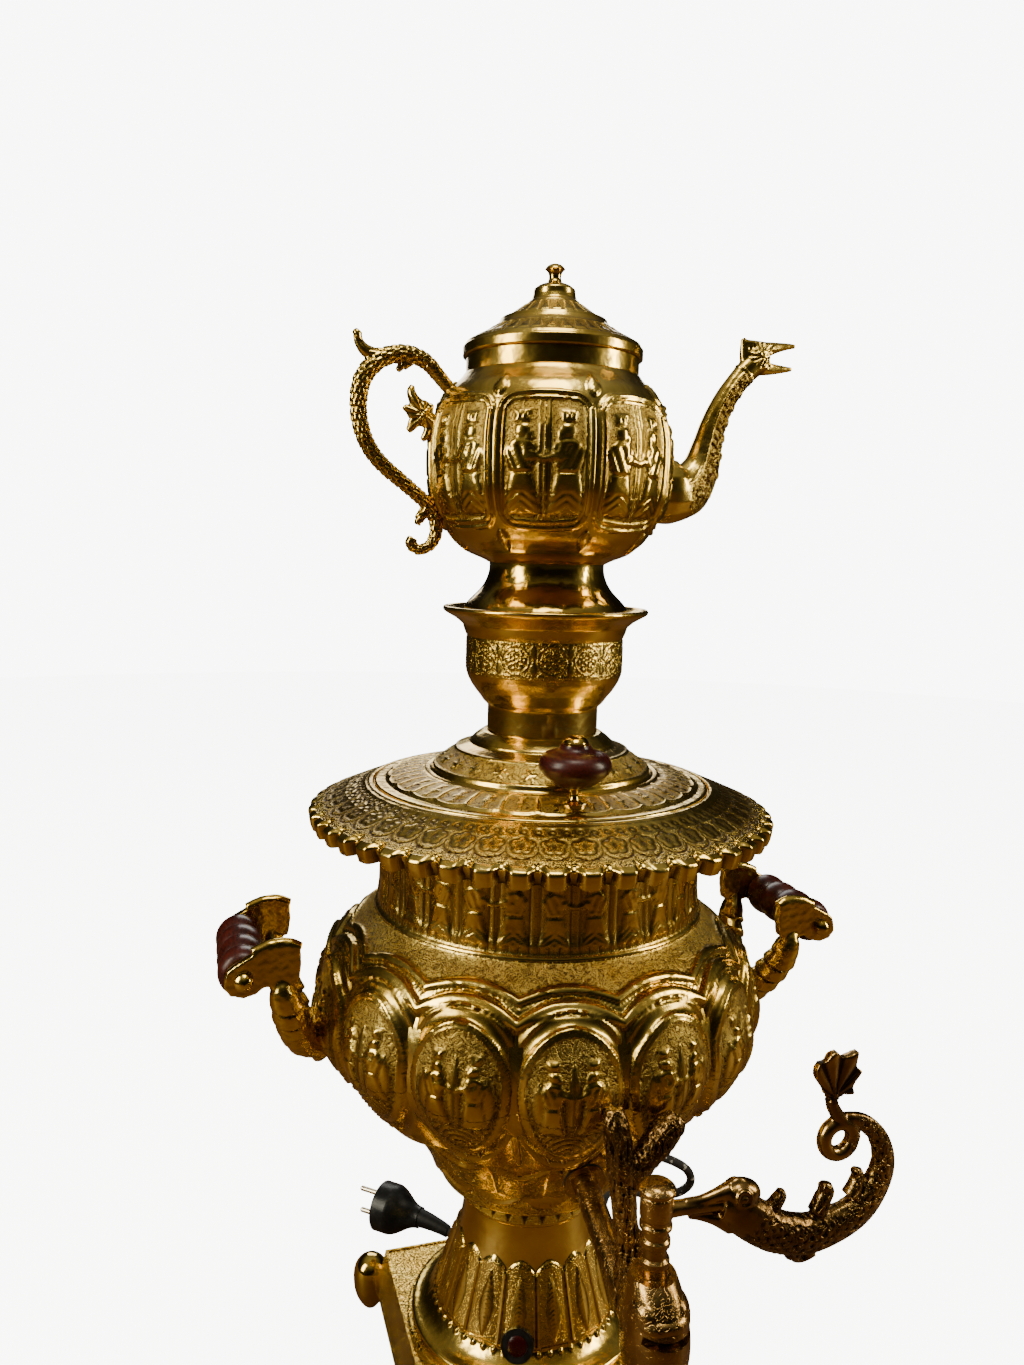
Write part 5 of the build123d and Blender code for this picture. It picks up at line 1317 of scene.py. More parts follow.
@dataclass
class Urn:
    """The boiler: cup, petals, big lobes, shoulder and fluted neck, chased in four bands."""

    wall: float = 1.2
    pitch: float = 1.0
    steps: tuple[int, int, int, int] = (480, 720, 780, 640)
    heights: tuple[float, float, float, float, float] = (150.0, 205.0, 262.0, 321.0, 404.0)
    pleats: int = 112
    walkers: int = 28
    neck_radius: float = 98.5
    neck_foot: float = 333.5
    shoulder_top: float = 333.0
    upper_scallop: float = 317.2
    lower_scallop: float = 307.2
    lobe_radius: float = 133.0
    lobe_tip: float = 214.0
    medal_middle: float = 276.0
    medal_tall: float = 27.0
    medal_share: float = 0.80
    petal_edge: float = 209.0
    cup_edge: float = 173.0
    cup_radius: float = 62.0
    outline: Profile = (
        (45.6, 150), (50, 150.3), (55, 152.2), (60, 157.6), (63.5, 165.5), (66.5, 173), (70, 180), (74, 187),
        (79, 194), (86, 202), (93, 209), (100, 216), (106.5, 223), (113, 230), (120, 238), (125.5, 245), (129.5, 252),
        (132.5, 259), (135, 266), (135.6, 273), (134.6, 280), (133, 287), (131, 295), (128.6, 302), (124.8, 309),
        (119.6, 316), (112.6, 323), (104.6, 330), (101, 335), (99.6, 340), (98.6, 346), (98.3, 354), (98.4, 366),
        (98.8, 380), (99.3, 403.6),
    )

    def neck(self, made: Chased, bearing: Array, z: Array) -> None:
        """Pleats the neck, with a procession of figures that stands in the pleats.

        Args:
            made: The work so far.
            bearing: Bearings.
            z: Heights.
        """
        neck = step(z, self.neck_foot, self.neck_foot + 3.0)
        pleat = np.abs(aside(bearing / TURN * self.pleats)) * 2.0
        figures = bearing / TURN * self.walkers
        local = aside(figures) * TURN / self.walkers * self.neck_radius
        facing = np.where(np.round(figures) % 2 == 0, 1.0, -1.0)
        figure = robed_figure(local * facing, z - 339.0, 44.0)
        made.height += neck * (1.0 - pleat**2) * 0.8 * step(z, 335.0, 341.0)
        # painted shade in the valleys of the pleats
        made.painted_shade += neck * step(pleat, 0.7, 1.0) * 0.75
        made.stipple += neck * 0.15
        # painted shade over the whole neck, darker than the raised figures
        made.painted_shade += neck * 0.2
        made.raise_to(figure * neck * (z < 384.0), 1.2, 0.35)
        made.raise_to(cord_line(z - 334.2, 1.1), 0.9)

    def shoulder(self, made: Chased, z: Array, side: Array, around: Array, lower: Array) -> None:
        """Stipples the shoulder and lays two scalloped cords on it, with beads between.

        Args:
            made: The work so far.
            z: Heights.
            side: Share of a lobe's half width, to either side.
            around: Distance from the lobe's middle.
            lower: Height of the lower cord.
        """
        upper = self.upper_scallop + 5.3 * (1.0 - side**2)
        ground = step(z, upper, upper + 1.5) * step(self.shoulder_top - z, 0.0, 1.0)
        made.stipple += ground * 0.9
        made.engrave += ground * 0.6
        made.height += ground * 0.2
        # painted shade on the stippled ground
        made.painted_shade += ground * 0.12
        made.raise_to(cord_line(z - upper, 2.3), 2.0)
        made.raise_to(beads(around, z - upper + 3.6, 2.2, 0.85), 0.7)
        made.raise_to(cord_line(z - lower, 3.2), 3.0, 0.3)

    def lobes(self, made: Chased, z: Array, share: Array, number: Array, lower: Array) -> None:
        """Swells the lobes below the lower cord and works a medallion into each.

        Args:
            made: The work so far.
            z: Heights.
            share: Share of a lobe's half width.
            number: The lobe's number.
            lower: Height of the lower cord.
        """
        side = np.abs(share)
        tips = self.lobe_tip - 8.0 * side**2
        inside = step(lower - z, 1.0, 5.0) * step(z, tips - 6.0, tips + 6.0)
        swell = 5.6 * (1.0 - side**2.2) - 2.6 * side**4
        made.height += inside * swell
        # painted shade in the creases between the lobes
        made.paint_shade(inside * step(side, 0.88, 0.97))
        # cove and beads round the medallion, with painted shade in the cove and above the medallion
        lobe_half = math.pi / LOBES * self.lobe_radius
        medal_half, middle = lobe_half * self.medal_share, self.medal_middle
        across, upward = share * lobe_half, (z - middle) * np.where(z > middle, 1.0, 0.72)
        ring = oval(across, upward, medal_half + 4.4, self.medal_tall + 3.6)
        here = inside > 0.5
        made.height += np.where(here, -1.9 * cord_line(ring - 3.2, 3.0), 0.0)
        made.paint_shade(here * cord_line(ring - 3.6, 2.6) * 0.45)
        made.paint_shade(here * step(ring, 3.4, 5.6) * step(z, 278.0, 292.0) * 0.55)
        made.raise_to(beads(np.arctan2(upward, across) * 30.0, ring + 0.6, 2.24, 0.85) * here, 0.9, swell)
        # the medallion's ground, with painted shade on it, and two figures, vines and fronds
        medal = oval(across, upward, medal_half, self.medal_tall)
        face = (medal < 0.0) & here
        made.height = np.where(face, swell - 0.5 * step(-medal, 0.0, 1.0), made.height)
        made.engrave = np.where(face, 0.45, made.engrave)
        made.stipple = np.where(face, 0.5, made.stipple)
        made.painted_shade = np.where(face, 0.4, made.painted_shade)
        facing = across * np.where(number % 2 == 0, 1.0, -1.0)
        pair = np.maximum(robed_figure(facing + 10.2, z - 255.5, 38.0), robed_figure(10.2 - facing, z - 255.5, 38.0))
        bent = np.hypot(across * 1.1, z - 240.0)
        vines = cord_line(aside(bent / 3.6) * 3.6, 0.9) * (z < 254.0)
        for lean in (-17.0, 0.0, 17.0):
            frond = leaf(across - lean, z - 254.0 - abs(lean) * 0.35, 40.0 - abs(lean), 4.2)
            made.raise_to(frond * face * (medal < -1.5), 0.9, swell - 0.5)
        made.raise_to(vines * face * (medal < -2.0), 0.8, swell - 0.5)
        made.raise_to(pair * face * (medal < -1.5), 1.9, swell - 0.5)
        # leaves below it
        for lean in (-1.0, 0.0, 1.0):
            x = across - lean * (6.0 + (248.0 - z) * 0.12)
            made.raise_to(leaf(x, 250.0 - z, 22.0, 4.4) * here * (ring > 1.6), 1.0, swell)

    def cup(self, made: Chased, bearing: Array, z: Array, radius: Array, side: Array) -> None:
        """Lays petals under the lobes and scallops the cup below them.

        Args:
            made: The work so far.
            bearing: Bearings.
            z: Heights.
            radius: Radii.
            side: Share of a lobe's half width, to either side.
        """
        petal_side = np.abs(aside((bearing - LOBE_CENTRE) / (TURN / LOBES) + 0.5)) * 2.0
        edge = self.petal_edge - 17.0 * (1.0 - petal_side**2)
        petals = step(edge - z, -1.0, 2.5) * step(z, 171.0, 176.0)
        made.height += petals * 2.2 * (1.0 - petal_side**2.4)
        made.engrave += petals * step(petal_side, 0.0, 0.2) * 0.7 * step(0.8 - petal_side, 0.0, 0.1)
        made.raise_to(cord_line(z - edge, 1.3) * (z < 214.0), 1.3, 0.8)
        made.raise_to(beads(bearing * radius, z - edge + 3.2, 2.3, 0.8) * petals, 0.5, 2.0)
        cup = self.cup_edge - 9.0 * (1.0 - side**2)
        # painted shadow along the cup's lower edge
        made.painted_shade += step(153.0 - z, 0.0, 1.5)
        made.stipple += step(cup - z, -0.5, 1.0) * step(z, 154.0, 156.0) * 0.8
        made.engrave += step(cup - z, -0.5, 1.0) * step(z, 154.0, 156.0) * 0.5
        made.raise_to(cord_line(z - cup, 1.3) * (z < 175.0), 1.3, 0.3)
        made.raise_to(beads(bearing * self.cup_radius, z - cup + 3.4, 2.4, 0.9) * (z < 172.0) * (z > 156.0), 0.7)
        made.raise_to(cord_line(z - 155.2, 1.0), 0.6)

    def chaser(self, bearing: Array, z: Array, radius: Array) -> Chased:
        """The boiler's relief, from the neck down.

        Args:
            bearing: Bearings.
            z: Heights.
            radius: Radii.

        Returns:
            The work there.
        """
        made = Chased.plain(z)
        turn = (bearing - LOBE_CENTRE) / (TURN / LOBES)
        share = aside(turn) * 2.0
        side = np.abs(share)
        lower = self.lower_scallop + 8.6 * (1.0 - side**2.2)
        self.neck(made, bearing, z)
        self.shoulder(made, z, side, share * math.pi / LOBES * radius, lower)
        self.lobes(made, z, share, np.round(turn), lower)
        self.cup(made, bearing, z, radius, side)
        return made

    def band(self, name: str, low: float, high: float, steps: int) -> Piece:
        """Turns and chases one band of the boiler.

        Args:
            name: The piece's name.
            low: Height of its lower edge.
            high: Height of its upper edge.
            steps: Places around the axis.

        Returns:
            The band, a closed ring of its own thickness.
        """
        whole = smoothed(self.outline, 0.25, 2)
        part = whole[(whole[:, 1] >= low) & (whole[:, 1] <= high)]
        back = resampled(part[::-1], 9.0) - np.array([self.wall + 0.6, 0.0])
        return turned(name, resampled(part, self.pitch), back, steps, self.chaser)

    def build(self) -> None:
        """Makes all four bands."""
        names = ("urn_cup", "urn_lobes_low", "urn_lobes", "urn_neck")
        for name, low, high, steps in zip(names, self.heights, self.heights[1:], self.steps):
            piece = self.band(name, low, high, steps)
            replaced = ("urn_shell",) if name == "urn_lobes" else ()
            dress(piece, CHASED_GOLD, Body.SAMOVAR, replaced)


# ---- rim


@dataclass
class Rim:
    """The wide collar: raised lip, engraved slope and rounded teeth."""

    teeth: int = 48
    loops: int = 96
    loop_radius: float = 113.0
    flower_radius: float = 124.0
    petals: Rows = (
        (-3.7, -1.6, 3.1), (3.7, -1.6, 3.1), (-2.2, 2.6, 3), (2.2, 2.6, 3), (0, -4.2, 2.8),
    )
    steps: int = 960
    face: Profile = (
        (139.2, 386.2), (140.9, 385.9), (142.2, 389.5), (142.9, 393.6), (142.4, 395.2), (140, 396.6), (132, 400),
        (122, 404.2), (112, 408.2), (108.2, 409.6), (106, 410.8), (104.4, 410.8), (103.7, 409.4), (103.6, 407.5),
    )
    back: Profile = (
        (98.5, 407.5), (98.4, 404), (99.6, 403.9), (99.6, 384), (101, 384), (101, 402), (120, 402.2), (138, 394.2),
    )

    def chaser(self, bearing: Array, z: Array, radius: Array) -> Chased:
        """Loops, flowers and a stippled ground on the slope, and the teeth below it.

        Args:
            bearing: Bearings.
            z: Heights.
            radius: Radii.

        Returns:
            The work there.
        """
        made = Chased.plain(z)
        slope = step(radius, 107.0, 108.0) * step(139.0 - radius, 0.0, 0.6) * (z > 394.0)
        made.stipple += slope * step(radius, 116.5, 118.0) * 0.45
        made.engrave += slope * step(radius, 130.0, 131.5) * 0.8
        turn = bearing / TURN
        loops = aside(turn * self.loops) * TURN * self.loop_radius / self.loops
        ring = np.abs(np.hypot(loops, radius - 112.6) - 1.6)
        groove = cord_line(ring, 0.8) * slope
        tail = cord_line(np.hypot(loops - 3.6, radius - 111.0) - 4.6, 0.7) * slope * (radius > 113.2)
        cell = turn * self.teeth
        x = aside(cell) * TURN * self.flower_radius / self.teeth
        y = radius - 123.5
        gaps = np.stack([np.hypot(x - px, y - py) - pr for px, py, pr in self.petals])
        outline = cord_line(gaps.min(axis=0), 0.85)
        made.stipple = np.where((gaps.min(axis=0) < 0.0) & (slope > 0.5), 0.0, made.stipple)
        dots = np.stack([cord_line(np.hypot(x - px * 0.7, y - py * 0.7), 0.9) for px, py, _ in self.petals]).max(axis=0)
        arch = cord_line(np.hypot(x, radius - 125.0) - 8.4, 0.7) * (radius > 124.0) * slope
        cut = np.maximum.reduce([groove, tail, outline * slope, dots * slope * 0.8, arch])
        made.height -= cut * 0.35
        # painted shade in the engraved loops, flowers and arches
        made.paint_shade(cut)
        made.raise_to(cord_line(radius - 108.6, 1.0) * (z > 405.0), 0.25)
        # teeth: round tongues that bulge out and curl in between, with painted shade in the gaps
        share = aside(cell) * 2.0
        hang = step(395.6 - z, 0.0, 2.4) * (radius > 136.0)
        tongue = np.clip(1.0 - (share / 0.74) ** 2, 0.0, 1.0)
        made.height += hang * (1.4 * np.sqrt(tongue) - 1.2)
        scallop = step(radius, 134.5, 141.0) * step(np.abs(share), 0.35, 0.95)
        made.reach -= 4.8 * scallop
        made.paint_shade(hang * step(np.abs(share), 0.55, 0.78))
        return made

    def build(self) -> None:
        """Turns and chases the collar and hangs its teeth."""
        piece = turned("rim_collar_chased", resampled(self.face, 0.85), self.back, self.steps, self.chaser)
        dress(piece, CHASED_GOLD, Body.SAMOVAR, ("rim_collar",), 50.0)


# ---- lid


@dataclass
class Lid:
    """The lid: a flat with rayed panels and a stepped dome with an engraved band."""

    panels: int = 28
    blossoms: int = 22
    band_radius: float = 60.0
    steps: int = 532
    face: Profile = (
        (103, 407.7), (103, 411.2), (101.5, 411.7), (97, 411.6), (94.5, 412.9), (91, 414.4), (84, 416.4), (78, 417.5),
        (70, 417.6), (69.2, 417.7), (68, 418.8), (66.4, 421.4), (61.5, 425.2), (57, 428.4), (52.7, 432),
        (48.2, 433.7), (44.6, 434.9), (44, 436.4), (41, 439.2), (38.4, 441), (36.5, 442.3), (34, 442.5), (33, 442.5),
        (32.8, 443), (32.8, 456),
    )
    back: Profile = (
        (31.8, 456), (31.8, 441.2), (40, 437), (51, 430.6), (64, 420.6), (68, 416.4), (90, 413), (96, 410.4),
        (97.6, 408.6), (97.6, 398.2), (96.2, 398.2), (96.2, 407.7),
    )

    def chaser(self, bearing: Array, z: Array, radius: Array) -> Chased:
        """Rayed panels on the flat, feathered inside a scalloped border, and a band on the dome.

        Args:
            bearing: Bearings.
            z: Heights.
            radius: Radii.

        Returns:
            The work there.
        """
        made = Chased.plain(z)
        turn = bearing / TURN
        flat = step(radius, 69.5, 70.5) * step(96.5 - radius, 0.0, 1.0) * (z < 420.0)
        share = aside(turn * self.panels) * 2.0
        x = share * math.pi * radius / self.panels
        outer = 91.5 + 3.0 * np.sqrt(np.clip(1.0 - share**2, 0.0, 1.0))
        panel = step(outer - radius, 0.4, 1.6) * step(radius, 73.0, 74.5) * step(0.90 - np.abs(share), 0.0, 0.12)
        made.height -= flat * panel * 0.5
        # painted shade on the sunk panels
        made.paint_shade(flat * panel * 0.3)
        made.stipple += flat * panel * 0.7
        made.raise_to(cord_line(radius - outer - 0.2, 0.9) * flat * (np.abs(share) < 0.96), 0.7)
        figure = robed_figure(x, radius - 75.5, 17.0)
        made.raise_to(figure * flat * panel, 0.5, -0.5)
        made.engrave += flat * panel * 0.5
        made.raise_to(cord_line(radius - 71.6, 0.8) * flat, 0.6)
        band = step(radius, 53.5, 54.5) * step(66.2 - radius, 0.0, 1.0) * (z > 419.0)
        made.stipple += band * 0.8
        made.engrave += band * 0.7
        bx = aside(turn * self.blossoms) * TURN * self.band_radius / self.blossoms
        made.raise_to(flower(bx, (z - 426.0) * 1.6, 5.2, 6) * band, 0.6)
        made.raise_to(cord_line(radius - 66.8, 0.7) * (z > 419.0), 0.5)
        made.raise_to(cord_line(radius - 53.2, 0.7) * (z > 425.0), 0.5)
        return made

    def build(self) -> None:
        """Turns and chases the lid."""
        piece = turned("lid_chased", resampled(self.face, 0.8), self.back, self.steps, self.chaser)
        dress(piece, CHASED_GOLD, Body.LID, ("lid",), 50.0)


# ---- crown


@dataclass
class Crown:
    """The sleeve over the chimney, its flower band and the saucer that carries the teapot."""

    motifs: int = 14
    band_radius: float = 47.8
    petals: int = 6
    petal_reach: float = 4.6
    steps: int = 364
    face: Profile = (
        (34.1, 442.8), (34.1, 457.6), (34.6, 458.6), (37, 460.8), (39.5, 464.4), (42.4, 468), (44.8, 471.6),
        (46.6, 475), (47.5, 477.6), (47.9, 478.6), (47.9, 500.6), (48.4, 501.4), (49.5, 504), (50.6, 507.6),
        (54.6, 511), (61, 514.6), (62.4, 515.6), (62.9, 517), (62.2, 518.4), (60.8, 518.5), (59.8, 517.4),
    )
    back: Profile = (
        (59, 516), (54, 513), (49.6, 508.4), (47.2, 501.6), (46.7, 500), (46.7, 478.8), (43.6, 472), (38.2, 464.6),
        (33.6, 459.4), (33.1, 457.6), (33.1, 442.8),
    )

    def chaser(self, bearing: Array, z: Array, radius: Array) -> Chased:
        """Flower rounds between beaded borders on the straight band.

        Args:
            bearing: Bearings.
            z: Heights.
            radius: Radii; not used.

        Returns:
            The work there.
        """
        made = Chased.plain(z)
        turn = bearing / TURN
        band = step(z, 478.4, 479.2) * step(500.8 - z, 0.0, 0.8)
        made.stipple += band * 0.35
        made.engrave += band * 0.35
        cell = turn * self.motifs
        x, y = aside(cell) * TURN * self.band_radius / self.motifs, z - 490.0
        for k in range(self.petals):
            a = k * math.pi / 3.0
            px, py = x - self.petal_reach * math.cos(a), y - self.petal_reach * math.sin(a)
            made.raise_to(cord_line(np.hypot(px, py) - 1.6, 0.6) * band, 0.5)
            made.raise_to(dome(px, py, 0.7, 0.7) * band, 0.4)
        made.raise_to(cord_line(np.hypot(x, y) - 1.6, 0.6) * band, 0.5)
        made.raise_to(cord_line(np.hypot(x, y) - 8.2, 0.6) * band, 0.4)
        hx = aside(cell + 0.5) * TURN * self.band_radius / self.motifs
        for side in (-1.0, 1.0):
            made.raise_to(leaf(hx, (y + 9.0) if side > 0 else (9.0 - y), 9.0, 2.6) * band, 0.5)
        for border in (480.6, 499.2):
            made.raise_to(beads(bearing * self.band_radius, z - border, 1.9, 0.75) * band, 0.4)
        return made

    def build(self) -> None:
        """Turns and chases the crown."""
        piece = turned("crown_chased", resampled(self.face, 0.8), self.back, self.steps, self.chaser)
        dress(piece, CHASED_GOLD, Body.CROWN, ("crown_body",), 50.0)


# ---- teapot


@dataclass
class Teapot:
    """The teapot: panelled body, foot, lid and its knob."""

    panels: int = 8
    first: float = math.radians(-111.0)
    girth: float = 72.9
    middle: float = 601.0
    darts: tuple[tuple[float, float, int], ...] = ((688.5, 696.5, 24), (674.5, 682.5, 36))
    steps: int = 448
    face: Profile = (
        (8, 545), (30, 545), (34.8, 545), (39, 547), (48.3, 550.8), (53.2, 554.4), (58, 558.6), (62.6, 565),
        (67, 572), (70.4, 580), (72.2, 588), (73, 600), (73, 612), (72.2, 620), (70.6, 627), (68.6, 633.6),
        (66, 639.6), (62.6, 644.4), (58, 648.6), (54.6, 652), (52.4, 655),
    )
    mouth: Profile = ((51.4, 655.4), (51.4, 664.8))
    back: Profile = (
        (50.3, 664.8), (50.3, 655.6), (53.4, 651.4), (61.4, 643.6), (69.4, 627), (71.7, 612), (71.8, 600),
        (69.4, 580), (61.4, 565), (52.2, 555.6), (38.4, 548.2), (30, 546.2), (8, 546.2),
    )
    lid_steps: int = 360
    lid_face: Profile = (
        (53, 665.2), (53.5, 665.6), (53.5, 670.6), (52.6, 671.6), (51.5, 673), (43.6, 677), (38.7, 680), (33.7, 684),
        (31.3, 687.2), (28, 688.2), (24.3, 690.6), (18.5, 694.8), (14.9, 697.4), (13.4, 699.4), (12.6, 702),
        (12.2, 705.4), (9.6, 707.4), (6, 708.8), (1.8, 709),
    )
    lid_back: Profile = (
        (1.8, 707.8), (9, 706.2), (11.2, 702), (14, 696.4), (30.4, 686.2), (42.8, 676), (50, 672), (50, 658.2),
        (49, 658.2), (49, 665.2),
    )

    def body_chaser(self, bearing: Array, z: Array, radius: Array) -> Chased:
        """Framed panels with pairs of robed figures between columns, and leaves between the frames.

        Args:
            bearing: Bearings.
            z: Heights.
            radius: Radii; not used.

        Returns:
            The work there.
        """
        made = Chased.plain(z)
        turn = (bearing - self.first) / TURN * self.panels
        x = aside(turn) * TURN * self.girth / self.panels
        half = math.pi * self.girth / self.panels
        bulge = 1.0 - (x / half) ** 2
        y = z - self.middle
        frame = rounded(x, y - 2.4 * bulge * np.sign(y) * step(np.abs(y), 16.0, 30.0), half - 2.2, 34.0, 9.0)
        zone = (z > 560.0) & (z < 646.0)
        made.raise_to(cord_line(frame, 1.25) * zone, 1.3)
        made.raise_to(cord_line(frame + 3.2, 0.8) * zone, 0.7)
        inside = step(-frame, 4.2, 5.0) * zone
        made.height -= inside * 0.5
        made.stipple += inside * 1.0
        made.engrave += inside * 0.25
        reeds = cord_line(aside(x / 2.8) * 2.8, 0.7) * (np.abs(x) < 4.4)
        # painted shade on the panels' sunk ground, behind the figures
        made.painted_shade += inside * 0.35
        made.raise_to(reeds * inside, 0.4, -0.5)
        for side in (-1.0, 1.0):
            figure = robed_figure(13.0 - x * side, y + 29.5, 57.0)
            made.raise_to(figure * inside, 1.7, -0.5)
        bx = aside(turn + 0.5) * TURN * self.girth / self.panels
        for foot, way in ((636.5, 1.0), (563.5, -1.0)):
            made.raise_to(leaf(bx, (z - foot) * way + 1.0, 12.5, 4.6), 1.7)
        return made

    def lid_chaser(self, bearing: Array, z: Array, radius: Array) -> Chased:
        """Rows of darts on the lid's steps.

        Args:
            bearing: Bearings.
            z: Heights.
            radius: Radii.

        Returns:
            The work there.
        """
        made = Chased.plain(z)
        turn = bearing / TURN
        for low, high, count in self.darts:
            band = step(z, low, low + 0.5) * step(high - z, 0.0, 0.5)
            x = aside(turn * count) * 2.0
            dart = step(1.0 - np.abs(x) - (z - low) / (high - low) * 0.9, 0.0, 0.25)
            made.height += band * dart * 0.6
            # painted shade on the ground between the darts
            made.paint_shade(band * (1.0 - dart) * 0.55)
            made.stipple += band * (1.0 - dart)
        made.raise_to(cord_line(z - 697.6, 0.8), 0.5)
        made.raise_to(cord_line(z - 687.4, 0.7) * (radius > 20.0), 0.5)
        made.raise_to(cord_line(z - 673.2, 0.7), 0.4)
        made.raise_to(cord_line(z - 668.5, 0.5) * (radius > 50.0), -0.4)
        return made

    def build(self) -> None:
        """Turns and chases the body and the lid."""
        face = np.vstack([resampled(smoothed(self.face, 0.25, 2), 0.82), self.mouth])
        body = turned("teapot_body_chased", face, self.back, self.steps, self.body_chaser, len(self.mouth))
        dress(body, CHASED_GOLD, Body.TEAPOT, ("teapot_body",), 55.0)
        face = resampled(self.lid_face, 0.7)
        lid = turned("teapot_lid_chased", face, self.lid_back, self.lid_steps, self.lid_chaser)
        dress(lid, CHASED_GOLD, Body.TEAPOT_COVER, ("teapot_lid",), 50.0)


# ---- pedestal


@dataclass
class Pedestal:
    """The skirt with its arched panels and the dotted waist ring."""

    panels: int = 16
    panel_low: float = 67.5
    panel_high: float = 115.0
    bead_count: int = 54
    bead_radius: float = 60.6
    darts: int = 26
    waist_radius: float = 44.0
    steps: int = 448
    face: Profile = (
        (75.8, 51.2), (75.8, 55), (74.6, 56.4), (70, 57.6), (66.2, 59.4), (62.6, 62.4), (60.6, 64.6), (59.2, 68),
        (57.4, 73), (54.2, 83), (49.6, 97.6), (45.4, 111), (43.4, 122), (42.3, 132), (42, 135.9),
    )
    back: Profile = (
        (24, 135.9), (24, 134.5), (40.4, 134.4), (42, 121), (48, 97), (57.6, 68), (62, 61), (73.6, 54.6),
        (73.6, 51.2),
    )
    waist_steps: int = 416
    waist_face: Profile = (
        (42.2, 136.2), (43.6, 136.6), (44.1, 138), (43.9, 140.6), (43.1, 145.4), (42.6, 148.4), (42.2, 149.8),
    )
    waist_back: Profile = ((39.4, 149.8), (39.4, 136.2))

    def chaser(self, bearing: Array, z: Array, radius: Array) -> Chased:
        """Long arched panels with leaves, and a row of beads at their feet.

        Args:
            bearing: Bearings.
            z: Heights.
            radius: Radii.

        Returns:
            The work there.
        """
        made = Chased.plain(z)
        x = aside(bearing / TURN * self.panels) * 2.0
        width = math.pi * radius / self.panels
        low = self.panel_low
        arch = self.panel_high - 7.0 * x**2 - 2.0
        inside = step(arch - z, 0.0, 1.4) * step(z, low, low + 1.4) * step(0.88 - np.abs(x), 0.0, 0.1)
        made.height += inside * 2.3 * np.sqrt(np.clip(1.0 - x**2, 0.0, 1.0)) - inside * 0.7
        edge = cord_line(z - arch, 0.9) * (np.abs(x) < 0.9)
        sides = cord_line((np.abs(x) - 0.9) * width, 0.8) * step(arch + 0.6 - z, 0.0, 0.5) * step(z, low, low + 0.5)
        made.raise_to(np.maximum(edge, sides), 1.2)
        # painted shade in the gaps beside the arched panels
        made.paint_shade(step(np.abs(x), 0.93, 0.99) * (z > low) * (z < arch + 1.0) * 0.7)
        stem = leaf(x * width, z - low - 3.0, 36.0, 4.6)
        made.raise_to(stem * inside, 1.4, 1.3)
        made.stipple += inside * (stem < 0.1) * 0.3
        row = beads(bearing * self.bead_radius, z - 64.6, TURN * self.bead_radius / self.bead_count, 1.5)
        made.raise_to(row * (z > 60.0), 1.3)
        made.raise_to(cord_line(z - 67.2, 0.7), 0.6)
        return made

    def waist_chaser(self, bearing: Array, z: Array, radius: Array) -> Chased:
        """A row of pointed dots between two lines.

        Args:
            bearing: Bearings.
            z: Heights.
            radius: Radii; not used.

        Returns:
            The work there.
        """
        made = Chased.plain(z)
        made.stipple += step(z, 138.6, 139.2) * step(147.4 - z, 0.0, 0.6) * 0.7
        x = aside(bearing / TURN * self.darts) * TURN * self.waist_radius / self.darts
        dart = step(1.0 - np.abs(x) / 3.8 - (146.0 - z) / 8.0, 0.0, 0.25) * (z < 146.0)
        # painted shadow along the ring's top, where it meets the cup
        made.paint_shade(step(z, 146.6, 147.6))
        made.height -= dart * 0.5
        # painted shade in the sunk darts
        made.paint_shade(dart)
        made.raise_to(cord_line(z - 138.2, 0.7), 0.0)
        return made

    def build(self) -> None:
        """Turns and chases the skirt and the waist ring."""
        face = resampled(smoothed(self.face, 0.3, 2), 0.9)
        skirt = turned("skirt_chased", face, self.back, self.steps, self.chaser)
        dress(skirt, CHASED_GOLD, Body.SAMOVAR, ("base_skirt",), 50.0)
        face = resampled(smoothed(self.waist_face, 0.3, 2), 0.6)
        waist = turned("waist_ring_chased", face, self.waist_back, self.waist_steps, self.waist_chaser)
        dress(waist, CHASED_GOLD, Body.SAMOVAR, ("waist_ring",), 50.0)


# ---- spout and handle of the teapot


def grain(places: Array, scale: float) -> Array:
    """A steady cloudy number, about minus one to one, for each place."""
    x, y, z = (places * scale).T
    value = np.sin(1.7 * x + 1.3 * np.sin(1.1 * y + 0.7 * z)) + np.sin(2.3 * y + 1.1 * np.sin(1.9 * z - 0.6 * x))
    return (value + np.sin(2.9 * z + 1.2 * np.sin(2.1 * x + 0.5 * y))) / 3.0


